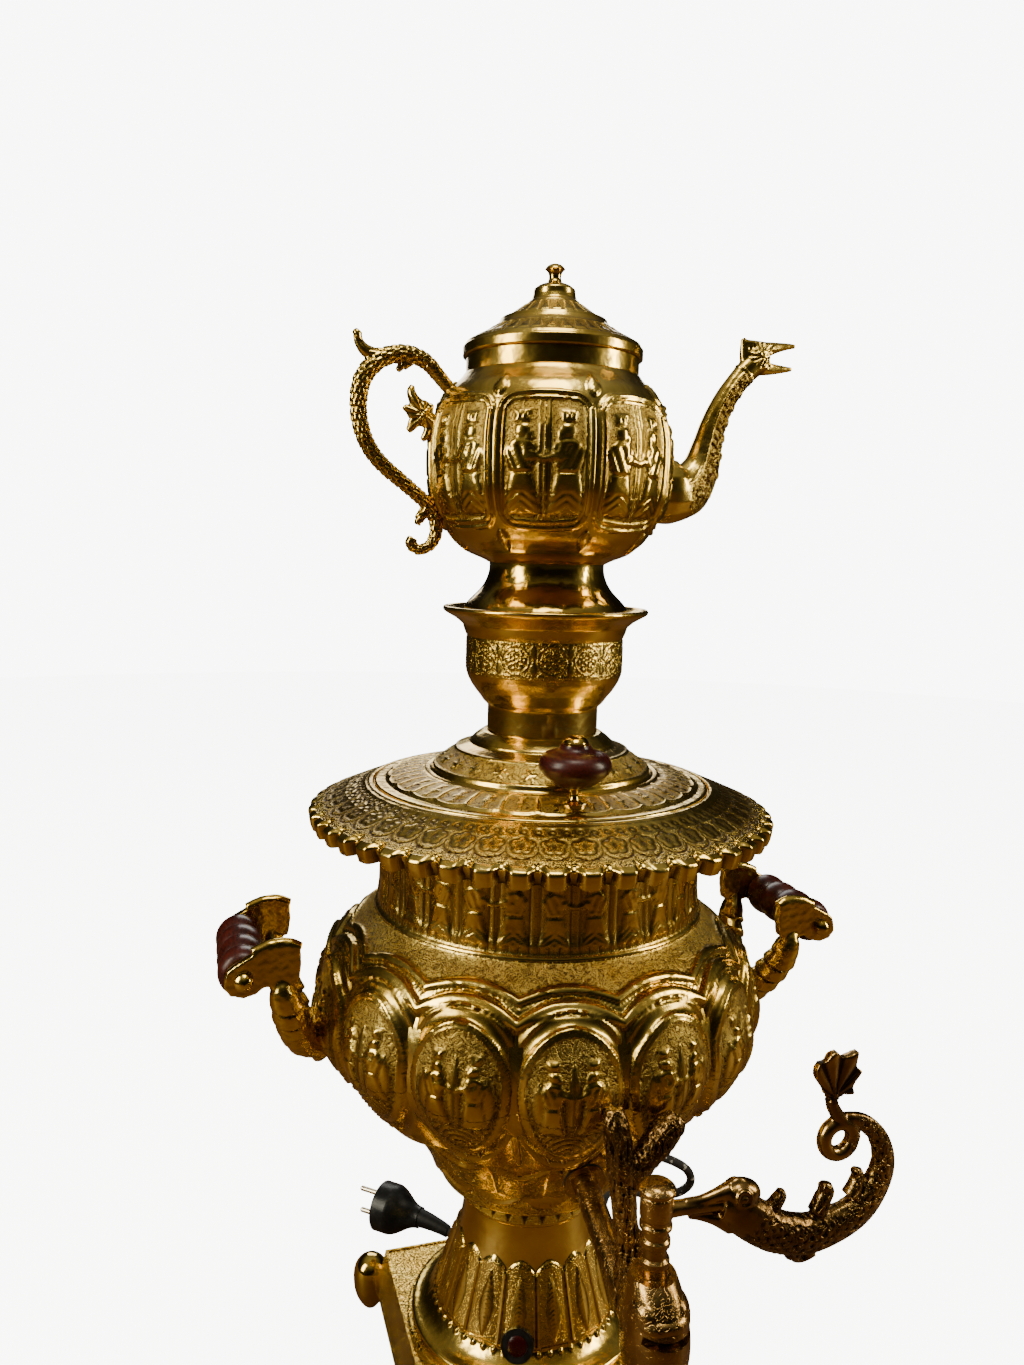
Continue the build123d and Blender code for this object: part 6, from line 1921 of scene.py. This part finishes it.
@dataclass
class Spout:
    """The bird-headed spout with open jaws."""

    line: Rows = (
        (71, 591, 20), (80, 591.5, 20.3), (88, 592.6, 18), (94.5, 597, 15.4), (100.6, 606.8, 12.2), (104.5, 621, 9.8),
        (108, 634, 8.4), (114.5, 648.5, 7.4), (123, 661, 6.9), (131.5, 670, 7.6), (138, 675, 7.8),
    )
    eye: tuple[float, float] = (138.5, 678.4)
    girths: tuple[float, ...] = (20.0, 17.0, 11.0, 8.5, 7.2, 7.8)
    length: float = 135.0
    bend: float = 11.0
    bill: Rows = (
        (136, 680, 6.4), (143, 682.6, 4.8), (151, 684.4, 3.2), (158, 685.6, 2.2), (163, 686, 1.5),
    )
    jaw: Rows = (
        (137, 671.5, 5.6), (144, 670.8, 4.2), (152, 671, 2.9), (158, 671.4, 2), (161.5, 671.8, 1.5),
    )
    crest: Rows = ((131, 672, 6.4), (128.6, 679, 4.8), (127, 685, 3), (125.6, 688.2, 1.6))
    crown: Rows = ((127, 685.4, 2.4), (134, 684.2, 3.4), (142, 683.4, 3.8))

    def carver(self, places: Array, normals: Array) -> Chased:
        """A scroll band along the spout, feathers round the eye and a smooth bill.

        Args:
            places: The skin's places.
            normals: Its normals there.

        Returns:
            The work there.
        """
        made = Chased.plain(places[:, 0])
        run, off, way = follow(places, upright(self.line))
        girth = np.interp(run, np.linspace(0.0, self.length, len(self.girths)), self.girths)
        share = outward(off, way) / girth
        neck = step(run, 14.0, 20.0) * step(104.0 - run, 0.0, 4.0)
        band = neck * step(share, -0.25, -0.1) * step(0.98 - share, 0.0, 0.2)
        for edge in (-0.2, 0.9):
            made.raise_to(cord_line((share - edge) * girth, 1.0) * neck, 0.6)
        middle = (share - 0.35) * girth
        made.raise_to(flower(aside(run / self.bend) * self.bend, middle, 5.2, 5) * band, 1.5)
        wave = middle - 0.34 * girth * np.sin(run / self.bend * TURN)
        made.raise_to(cord_line(wave, 1.2) * band, 1.1)
        # painted shade on the scroll band's ground
        made.painted_shade += band * 0.25
        made.stipple += band * 0.8
        made.engrave += band * 0.7
        dx, dz = places[:, 0] - self.eye[0], places[:, 2] - self.eye[1]
        side = np.abs(normals[:, 1]) > 0.35
        rho, phi = np.hypot(dx, dz * 1.25), np.arctan2(dz, dx)
        head = (run > 104.0) & side & (places[:, 0] < 146.0)
        plume = 0.5 + 0.5 * np.cos(phi * 15.0 + rho * 0.5)
        rows = step(rho, 3.4, 4.0) * step(10.5 - rho, 0.0, 1.0) * head
        made.height += rows * (plume - 0.5) * 0.9
        # painted shade in the grooves between the feathers
        made.paint_shade(rows * (1.0 - plume) * 0.9)
        almond = np.abs(oval(dx, dz, 3.6, 1.7))
        made.raise_to(cord_line(almond, 0.7) * head, 0.8)
        made.raise_to(dome(dx, dz, 1.4, 1.0) * head, 0.7)
        made.raise_to(cord_line(run - 103.0, 0.9), 0.6)
        return made

    def build(self) -> None:
        """Casts the spout in one with its head."""
        parts = [squeeze(limb("spout_body", upright(self.line), 6), 0.0, 0.84)]
        for name, rows, share in (("bill", self.bill, 0.8), ("jaw", self.jaw, 0.8), ("crest", self.crest, 0.7)):
            parts.append(squeeze(limb(f"spout_{name}", upright(rows)), 0.0, share))
        parts.append(limb("spout_crown", upright(self.crown)))
        parts.append(lump("spout_skull", (136.5, 0.0, 676.5), (8.4, 6.2, 8.4)))
        cast = fused("spout_cast", parts, 0.75)
        carve(cast, self.carver)
        dress(cast, CHASED_GOLD, Body.TEAPOT, ("teapot_spout",), 70.0)


@dataclass
class PotHandle:
    """The scrolled handle with its curled tip and the flower that grows from it."""

    line: Rows = (
        (-60.5, 642, 3.8), (-68, 650, 4.1), (-77.4, 659, 4.5), (-89, 662.2, 4.9), (-101, 659.4, 5.1),
        (-109.4, 652.6, 5.2), (-114.2, 643.4, 5.1), (-115.4, 629, 4.8), (-112.6, 616, 4.6), (-107, 605.6, 4.4),
        (-99.3, 597.6, 4.3), (-91.1, 591.2, 4.2), (-82.8, 584.7, 4), (-74, 577, 4), (-69.8, 568.6, 3.9),
        (-69.6, 560.4, 3.6), (-73.4, 553.8, 3.2), (-79.8, 551.4, 2.9), (-84.4, 554.6, 3.2), (-83, 558.2, 3.2),
    )
    tip: Rows = (
        (-97, 660.6, 4.4), (-105, 660.2, 4), (-111.6, 662.2, 3.3), (-115.4, 666.2, 2.6), (-116.6, 670.4, 2.6),
        (-115.4, 672.6, 2),
    )
    spur: Rows = ((-84, 660, 3.4), (-90, 655.6, 2.6), (-93, 652.6, 1.4))
    toe: Rows = ((-73, 577, 3.6), (-78.5, 571, 3), (-80.6, 565.8, 1.8))
    scale_rows: float = 3.6
    scales_round: float = 7.0
    curl: tuple[float, float] = (-76.6, 631.8)
    bloom: tuple[float, float] = (-79.0, 629.0)
    petals: Limbs = (
        ("stem", ((-69, 622, 3.8), (-74, 625, 4.6), (-79, 629, 4.8))),
        ("top", ((-78, 630, 4.4), (-82.6, 635.6, 4.2), (-84.8, 641, 2.8), (-84.2, 645, 1.5))),
        ("out", ((-79, 629, 4.2), (-85, 630, 3.4), (-89, 633, 1.8))),
        ("low", ((-78, 627, 4.2), (-83.6, 623.6, 3.4), (-87, 619.4, 1.8))),
    )
    back_petal: Rows = ((-73, 624, 3.8), (-75, 618.6, 2.8), (-78.6, 614.8, 1.5))

    def carver(self, places: Array, normals: Array) -> Chased:
        """Overlapping scales round the bar, and rough ends.

        Args:
            places: The skin's places.
            normals: Its normals there; not used.

        Returns:
            The work there.
        """
        made = Chased.plain(places[:, 0])
        run, off, way = follow(places, upright(self.line))
        angle = np.arctan2(off[:, 1], outward(off, way))
        u, v = scales(run / self.scale_rows, angle / TURN * self.scales_round)
        scale = np.clip(1.0 - u**2 - (1.0 - v) ** 2 * 0.9, 0.0, 1.0)
        on = step(run, 18.0, 22.0) * step(196.0 - run, 0.0, 6.0)
        made.height += on * (np.sqrt(scale) - 0.45) * 0.95
        # painted shade in the gaps between the scales
        made.paint_shade(on * step(0.22 - scale, 0.0, 0.2) * 0.85)
        rest, rough = 1.0 - on, grain(places, 1.3)
        made.height += rest * rough * 0.35
        # painted shade in the low spots of the rough ends
        made.paint_shade(rest * step(-rough, 0.25, 0.6) * 0.7)
        return made

    def vein_carver(self, places: Array, normals: Array) -> Chased:
        """Folds that run out from the flower's middle.

        Args:
            places: The skin's places.
            normals: Its normals there; not used.

        Returns:
            The work there.
        """
        made = Chased.plain(places[:, 0])
        fold = np.cos(np.arctan2(places[:, 2] - self.bloom[1], places[:, 0] - self.bloom[0]) * 9.0)
        made.height += fold * 0.45
        # painted shade in the valleys between the folds
        made.painted_shade += step(-fold, 0.3, 0.9) * 0.85
        return made

    def build(self) -> None:
        """Casts the handle and the flower inside it."""
        limbs = (("bar", self.line), ("tip", self.tip), ("spur", self.spur), ("toe", self.toe))
        bars = [limb(f"handle_{name}", upright(rows)) for name, rows in limbs]
        cast = fused("handle_cast", bars, 0.62, 2)
        carve(cast, self.carver)
        dress(cast, CHASED_GOLD, Body.TEAPOT, ("teapot_handle",), 70.0)
        petals = [limb(f"flower_{name}", upright(rows)) for name, rows in self.petals]
        petals.append(hoop("flower_curl", (self.curl[0], 0.0, self.curl[1]), 3.4, 1.7))
        petals.append(limb("flower_back", upright(self.back_petal)))
        bloom = fused("handle_flower", petals, 0.55, 2)
        carve(bloom, self.vein_carver)
        dress(bloom, CHASED_GOLD, Body.TEAPOT, ("teapot_handle_leaf",), 70.0)


# ---- tap


@dataclass
class Tap:
    """The cast tap: a broad-mouthed head round the valve and the branch that grows from it."""

    valve: float = -189.0
    lips: float = 192.4
    lip_rises: tuple[float, float] = (4.2, -4.4)
    throat: Rows = ((1, 209.5, 12.4), (0, 196, 13.6), (0, 172, 12), (0, 158, 10.2), (0, 150.5, 9.6))
    nape: Rows = ((12, 205, 7), (17, 190, 9), (16, 176, 8))
    boughs: tuple[tuple[str, tuple[tuple[float, ...], ...]], ...] = (
        ("trunk", (
            (0, -163, 176, 8), (0, -160, 188, 7.4), (0.5, -157.4, 200, 6.6), (0, -155, 213.5, 6.6),
            (-0.6, -152.4, 228, 6.8), (-1.6, -150, 243, 7.2), (-2.6, -147, 256, 7.2), (-3.4, -144, 266, 6.4),
            (-3.4, -142.6, 270.6, 5),
        )),
        ("branch", (
            (0, -152.5, 232, 6), (7, -150, 239, 6.6), (14, -148, 246, 7.6), (21.6, -147, 253.6, 8.4),
            (28, -146.6, 260, 7.2), (31.6, -146.4, 263.6, 4.8),
        )),
        ("lobe", ((11, -147, 241, 5), (19, -144.8, 244.6, 5), (26.4, -143.6, 247.6, 3))),
        ("root", ((4, -164, 178, 6), (3, -162, 196, 4.8), (2.4, -157, 216, 3.6))),
    )
    hole: Profile = ((0, 130), (24, 130), (24, 156), (9, 156), (9, 230), (0, 230))

    def head_carver(self, places: Array, normals: Array) -> Chased:
        """Lips, a smooth brow and snout, and bark behind them.

        Args:
            places: The skin's places.
            normals: Its normals there; not used.

        Returns:
            The work there.
        """
        made = Chased.plain(places[:, 0])
        x, y, z = places.T
        forward = self.valve + 3.0 - y
        front = step(forward, -6.0, 2.0)
        line = self.lips + 0.012 * x**2 - 0.05 * forward
        made.height -= 3.6 * np.exp(-(((z - line) / 1.5) ** 2)) * front
        # painted shade in the line between the lips
        made.paint_shade(np.exp(-(((z - line) / 1.4) ** 2)) * front)
        for rise in self.lip_rises:
            made.height += 0.9 * np.exp(-(((z - line - rise) / 1.7) ** 2)) * front
        back = step(y, self.valve + 6.0, self.valve + 12.0) * step(z, 168.0, 176.0)
        bark = grain(places * np.array([1.0, 1.0, 0.45]), 1.25)
        made.height += back * bark * 0.7
        # painted shade in the bark's furrows
        made.paint_shade(back * step(-bark, 0.15, 0.6) * 0.9)
        made.engrave += back * 0.8 + step(z, 197.0, 200.0) * 0.4
        return made

    def bark_carver(self, places: Array, normals: Array) -> Chased:
        """Long furrows up the trunk and a fine grain between them.

        Args:
            places: The skin's places.
            normals: Its normals there; not used.

        Returns:
            The work there.
        """
        made = Chased.plain(places[:, 0])
        bark = grain(places * np.array([1.0, 0.8, 0.11]), 1.15)
        fine = grain(places * np.array([1.0, 1.0, 0.2]), 2.6)
        made.height += bark * 0.45 + fine * 0.08
        # painted shade in the furrows and in the low parts of the fine grain
        made.painted_shade = np.maximum(step(-bark, 0.25, 0.7) * 0.9, step(-fine, 0.4, 0.9) * 0.5)
        made.engrave += 0.6
        return made

    def build(self) -> None:
        """Casts the head and the branch."""
        y = self.valve
        parts = [
            lump("tap_snout", (0.0, y - 3.5, 186.0), (15.2, 19.6, 21.0)),
            lump("tap_brow_left", (-6.6, y - 7.0, 200.5), (8.0, 11.4, 8.0)),
            lump("tap_brow_right", (6.6, y - 7.0, 200.5), (8.0, 11.4, 8.0)),
            lump("tap_upper_lip", (0.0, y - 13.0, 198.5), (12.4, 9.6, 5.2)),
            lump("tap_lower_lip", (0.0, y - 13.4, 187.0), (12.0, 9.4, 5.4)),
            limb("tap_throat", [(0.0, y + ahead, z, radius) for ahead, z, radius in self.throat], 6),
            limb("tap_nape", [(0.0, y + ahead, z, radius) for ahead, z, radius in self.nape]),
        ]
        head = fused("tap_head_cast", parts, 0.75)
        carve(head, self.head_carver)
        core = spun("tap_head_hole", np.array(self.hole), 48, (0.0, y, 0.0))
        shaped(head, "BOOLEAN", operation="DIFFERENCE", solver="EXACT", object=core)
        bpy.data.objects.remove(core)
        one_part(head)
        dress(head, CHASED_BRONZE, Body.SAMOVAR, crease=70.0)
        boughs = [limb(f"tree_{name}", rows) for name, rows in self.boughs]
        knot = lump("tree_knot", (4.6, -158.6, 207.0), (4.2, 4.2, 6.4))
        tree = fused("tap_tree_cast", [*boughs, knot], 0.75, 2)
        carve(tree, self.bark_carver)
        dress(tree, CHASED_BRONZE, Body.SAMOVAR, ("tap_tree",), 70.0)


@dataclass
class Key:
    """The tap's key: a dolphin that bites the bar and carries a leaf on its tail."""

    valve: float = -189.0
    height: float = 244.0
    body: tuple[tuple[float, ...], ...] = (
        (34, -2.6, 7), (41, -4.8, 10.4), (51, -12.5, 11), (65, -21.5, 10.6), (82, -26, 10.3), (98, -23.8, 9.4),
        (111.5, -18, 8.4), (120.5, -8, 7.4), (124.8, 3.5, 6.4), (123.4, 14.5, 5.4), (117.5, 24, 4.6), (108, 30.5, 4),
        (97.5, 31.8, 3.6), (91, 27, 3.4),
    )
    mouth: Limbs = (
        ("bar", ((6, 0, 4.2), (16, -0.4, 3.8), (26, -1.6, 3.2), (34, -2, 3.2))),
        ("bill", ((15, 1.6, 2.6), (23, 1.6, 2.6), (31, 3, 3.2), (38, 4.2, 4.6))),
        ("jaw", ((17, -5, 1.8), (23, -6.4, 2.2), (31, -9.2, 3.2), (40, -13.5, 5))),
    )
    fins: Limbs = (
        ("one", ((61, -12, 4.4), (64.4, -6.2, 3.8), (67.4, -2.6, 3), (65.2, -1.4, 2.4))),
        ("two", ((88, -16, 4.8), (91.4, -8.4, 4.4), (93.4, -4, 3.8), (89.8, -2.2, 3))),
        ("three", ((107, -10, 4.6), (110, -3.4, 3.8), (111, 1.8, 3), (107.8, 3, 2.4))),
        ("low", ((74, -34, 4.4), (80, -38.4, 3), (87, -35.6, 3.6))),
    )
    stem: Rows = ((99, 31, 3.8), (95.6, 36, 3.5), (92.6, 42, 3.2), (93, 50, 2.6))
    girths: tuple[float, ...] = (7.0, 10.6, 10.8, 10.2, 9.0, 7.2, 5.2, 3.6)
    length: float = 175.0
    scale_rows: float = 4.2
    scale_width: float = 4.6
    eye: tuple[float, float] = (43.2, 2.8)
    leaf_foot: tuple[float, float] = (93.0, 290.0)
    hub: Profile = (
        (3.6, 236), (7.2, 236), (8, 236.8), (8, 238.6), (7.3, 239.4), (7.1, 240), (7.1, 241.2), (7.4, 241.8),
        (8, 242.4), (8, 252.6), (7.6, 253.6), (3.6, 253.6),
    )
    leaf: Profile = (
        (82, 304.6), (83.4, 308.6), (87.7, 308.8), (89.8, 311.6), (93.2, 313), (96.6, 310), (101, 310),
        (105.2, 311.4), (105, 304.2), (107.9, 300.8), (104.2, 296.6), (104, 289.9), (97.6, 290.4), (94.6, 287.6),
        (90.6, 288), (88.2, 291.4), (84.9, 295.6), (82.6, 300),
    )

    def spots(self, rows: Line) -> list[tuple[float, float, float, float]]:
        """Rows of x and z from the hub, and a radius, as places on the key."""
        return upright(rows, self.valve, self.height)

    def carver(self, places: Array, normals: Array) -> Chased:
        """Scales along the body, a smooth cheek with an eye, and a veined leaf.

        Args:
            places: The skin's places.
            normals: Its normals there.

        Returns:
            The work there.
        """
        made = Chased.plain(places[:, 0])
        run, off, way = follow(places, self.spots(self.body))
        outer = outward(off, way)
        girth = np.interp(run, np.linspace(0.0, self.length, len(self.girths)), self.girths)
        share = outer / girth
        flank = (np.abs(normals[:, 1]) > 0.25) & (np.abs(off[:, 1]) < 14.0)
        scaled = step(run, 16.0, 24.0) * step(150.0 - run, 0.0, 10.0)
        u, v = scales(run / self.scale_rows, outer / self.scale_width)
        scale = np.sqrt(np.clip(1.0 - u**2 - v**2 * 0.8, 0.0, 1.0))
        made.height += scaled * (scale - 0.45) * 0.45 * step(outer, -9.0, -6.0)
        # painted shade in the gaps between the scales
        made.paint_shade(scaled * step(0.35 - scale, 0.0, 0.35) * 0.85)
        made.height += scaled * grain(places, 0.35) * 0.15
        made.raise_to(cord_line((share - 0.62) * girth, 0.9) * scaled * flank, 0.5)
        made.raise_to(beads(run, (share - 0.84) * girth, 3.2, 1.2) * scaled * flank, 0.5)
        made.engrave += scaled * 0.6
        rho = np.hypot(places[:, 0] - self.eye[0], places[:, 2] - self.height - self.eye[1])
        eye = step(22.0 - run, 0.0, 6.0) * (np.abs(normals[:, 1]) > 0.3)
        made.raise_to(cord_line(rho - 3.4, 0.9) * eye, 1.0)
        made.raise_to(np.sqrt(np.clip(1.0 - (rho / 1.8) ** 2, 0.0, 1.0)) * eye, 0.9)
        leafy = places[:, 2] > 286.5
        dx, dz = places[:, 0] - self.leaf_foot[0], places[:, 2] - self.leaf_foot[1]
        vein = np.cos(np.arctan2(dz, dx) * 11.0)
        made.height += np.where(leafy, vein * 0.5, 0.0)
        # painted shade in the valleys between the leaf's veins
        made.painted_shade = np.where(leafy, np.maximum(step(-vein, 0.2, 0.8), made.painted_shade * 0.2), made.painted_shade)
        made.height = np.where(leafy | (places[:, 0] < 30.0), made.height * 0.9, made.height)
        return made

    def build(self) -> None:
        """Casts the key and turns its hub."""
        y, up = self.valve, self.height
        trunk = squeeze(limb("dolphin_body", self.spots(self.body), 6), y, 0.74)
        parts = [
            *(limb(f"dolphin_{name}", self.spots(rows)) for name, rows in self.mouth),
            squeeze(lump("dolphin_brow", (44.6, y, up + 1.6), (10.4, 8.0, 7.6)), y, 0.9),
            hoop("dolphin_curl", (43.0, y, up + 3.4), 5.2, 2.0),
            *(limb(f"fin_{name}", self.spots(rows)) for name, rows in self.fins),
            hoop("tail_ring", (97.8, y, up + 22.3), 8.1, 3.8),
            limb("tail_stem", self.spots(self.stem)),
            blade("tail_leaf", self.leaf, y, 4.2),
        ]
        cast = fused("key_cast", [trunk, *parts], 0.75, 2)
        carve(cast, self.carver)
        dress(cast, CHASED_BRONZE, Body.KEY, ("tap_key",), 70.0)
        ring = spun("key_hub", np.array(self.hub), 72, (0.0, y, 0.0))
        shaped(ring, "BEVEL", width=0.25 * MM, segments=2, limit_method="ANGLE")
        dress(ring, BRONZE, Body.KEY, crease=40.0)


# ---- side handles


@dataclass
class SideHandle:
    """One cast yoke: a foot on the urn, two thick arms with winding grooves and two hooked ears."""

    side: float
    node: str
    rod: float = 182.5
    rod_height: float = 313.5
    ear_place: float = 37.3
    ear_thick: float = 6.6
    pitch: float = 10.6
    arm: tuple[tuple[float, ...], ...] = (
        (162.4, 37, 312, 3.6), (161.2, 36.8, 303, 7.8), (158.6, 34.4, 293, 9.2), (155, 28, 281.4, 9.8),
        (150.6, 19, 269, 9.6), (144.8, 9.6, 259, 9), (137, 0, 255, 8),
    )
    ear: Profile = (
        (10.4, 1), (8.6, 6), (3.4, 9.6), (-5, 14), (-14, 17.6), (-24, 18), (-31, 15), (-31.4, 6), (-30, -4),
        (-20, -5.6), (-11, -5), (-7, -8.4), (0, -10.4), (7.4, -8.4), (10.6, -4),
    )

    def arm_line(self, way: float) -> list[tuple[float, float, float, float]]:
        """One arm's line; the way is the arm's end of the rod."""
        return [(x * self.side, y * way, z, radius) for x, y, z, radius in self.arm]

    def carver(self, places: Array, normals: Array) -> Chased:
        """Grooves that wind round the arms, and faint hammer marks.

        Args:
            places: The skin's places.
            normals: Its normals there; not used.

        Returns:
            The work there.
        """
        made = Chased.plain(places[:, 0])
        for way in (-1.0, 1.0):
            run, off, ahead = follow(places, self.arm_line(way))
            one = np.cross(ahead, (0.0, 1.0, 0.0))
            two = np.cross(ahead, one)
            angle = np.arctan2((off * two).sum(axis=1), (off * one).sum(axis=1)) * way * self.side
            turn = run / self.pitch + angle / TURN
            share = turn - np.floor(turn)
            near = step(13.5 - np.linalg.norm(off, axis=1), 0.0, 1.0)
            here = step(places[:, 1] * way, 1.0, 3.0) * step(run, 15.0, 19.0) * near
            groove = np.exp(-((np.minimum(share, 1.0 - share) * self.pitch / 0.9) ** 2)) * here
            made.height += here * (2.0 * share - 0.9) - 1.9 * groove
            # painted shade in the winding grooves
            made.paint_shade(groove * 0.95)
        rough = grain(places, 0.5)
        made.height += rough * 0.15
        # painted shade in the low spots of the hammer marks
        made.painted_shade += step(-rough, 0.2, 0.9) * 0.3
        return made

    def build(self) -> None:
        """Casts the yoke."""
        parts = [
            lump("handle_foot", (self.side * 138.0, 0.0, 255.5), (7.6, 13.6, 12.6)),
            limb("handle_heel", ((self.side * 138.0, 0.0, 268.0, 5.0), (self.side * 140.5, 0.0, 256.0, 6.4),
                                 (self.side * 135.5, 0.0, 244.0, 5.2))),
        ]
        for way in (-1.0, 1.0):
            outline = [(self.side * (self.rod + x), self.rod_height + z) for x, z in self.ear]
            parts.append(blade("handle_ear", outline, way * self.ear_place, self.ear_thick))
            parts.append(limb("handle_arm", self.arm_line(way), 6))
            top = [(self.side * (self.rod + x), way * 37.0, self.rod_height + z, 3.6) for x, z in self.ear[3:7]]
            parts.append(limb("handle_brow", top))
        cast = fused("yoke_right" if self.side > 0 else "yoke_left", parts, 0.85, 3)
        carve(cast, self.carver)
        dress(cast, CHASED_GOLD, Body.SAMOVAR, (self.node,), 60.0)


# ---- carried-over nodes


@dataclass(frozen=True)
class Dressing:
    """Finishes for the frame's own nodes that stay as they are."""

    finishes: dict[str, Finish] = field(default_factory=lambda: {
        "gold_plate": PLAIN_GOLD, "antique_bronze": BRONZE, "red_wood": RED_WOOD, "steel": STEEL,
        "plain_brass": PLAIN_BRASS, "black_rubber": BLACK_RUBBER, "black_plastic": BLACK_PLASTIC,
        "red_lens": RED_LENS, "nickel": NICKEL, "cord_braid": BRAID, "lead_sleeve": SLEEVE,
    })
    worked: tuple[str, ...] = ("plinth", "plinth_ring")

    def build(self, frame: dict) -> None:
        """Gives every node the finish of its slot in the record.

        Args:
            frame: The frame's record and nodes.
        """
        for part in frame["record"]["subparts"]:
            node = frame["nodes"][part["node"]]
            worked = part["node"] in self.worked
            finish = WORKED_GOLD if worked else self.finishes[part["material_slot"]]
            node.data.materials.clear()
            node.data.materials.append(material_of(finish))
            for face in node.data.polygons:
                face.material_index = 0


def corners(box: tuple[Vector, Vector]) -> list[list[float]]:
    """Two corners as plain numbers."""
    return [[round(float(value), 6) for value in corner] for corner in box]


def main() -> list[list[float]]:
    """Builds the samovar.

    Returns:
        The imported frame's box.
    """
    logging.basicConfig(level=logging.INFO, format="%(relativeCreated)6d %(message)s")
    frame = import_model()
    frame_box = corners(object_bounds())
    Studio().build()
    MainsLead().build(frame["nodes"])
    Dressing().build(frame)
    sides = (SideHandle(-1.0, "handle_left"), SideHandle(1.0, "handle_right"))
    for maker in (Urn(), Rim(), Lid(), Crown(), Teapot(), Pedestal(), Spout(), PotHandle(), Tap(), Key(), *sides):
        maker.build()
        LOG.info("%s done", type(maker).__name__)
    return frame_box


if __name__ == "__main__":
    packed = main()
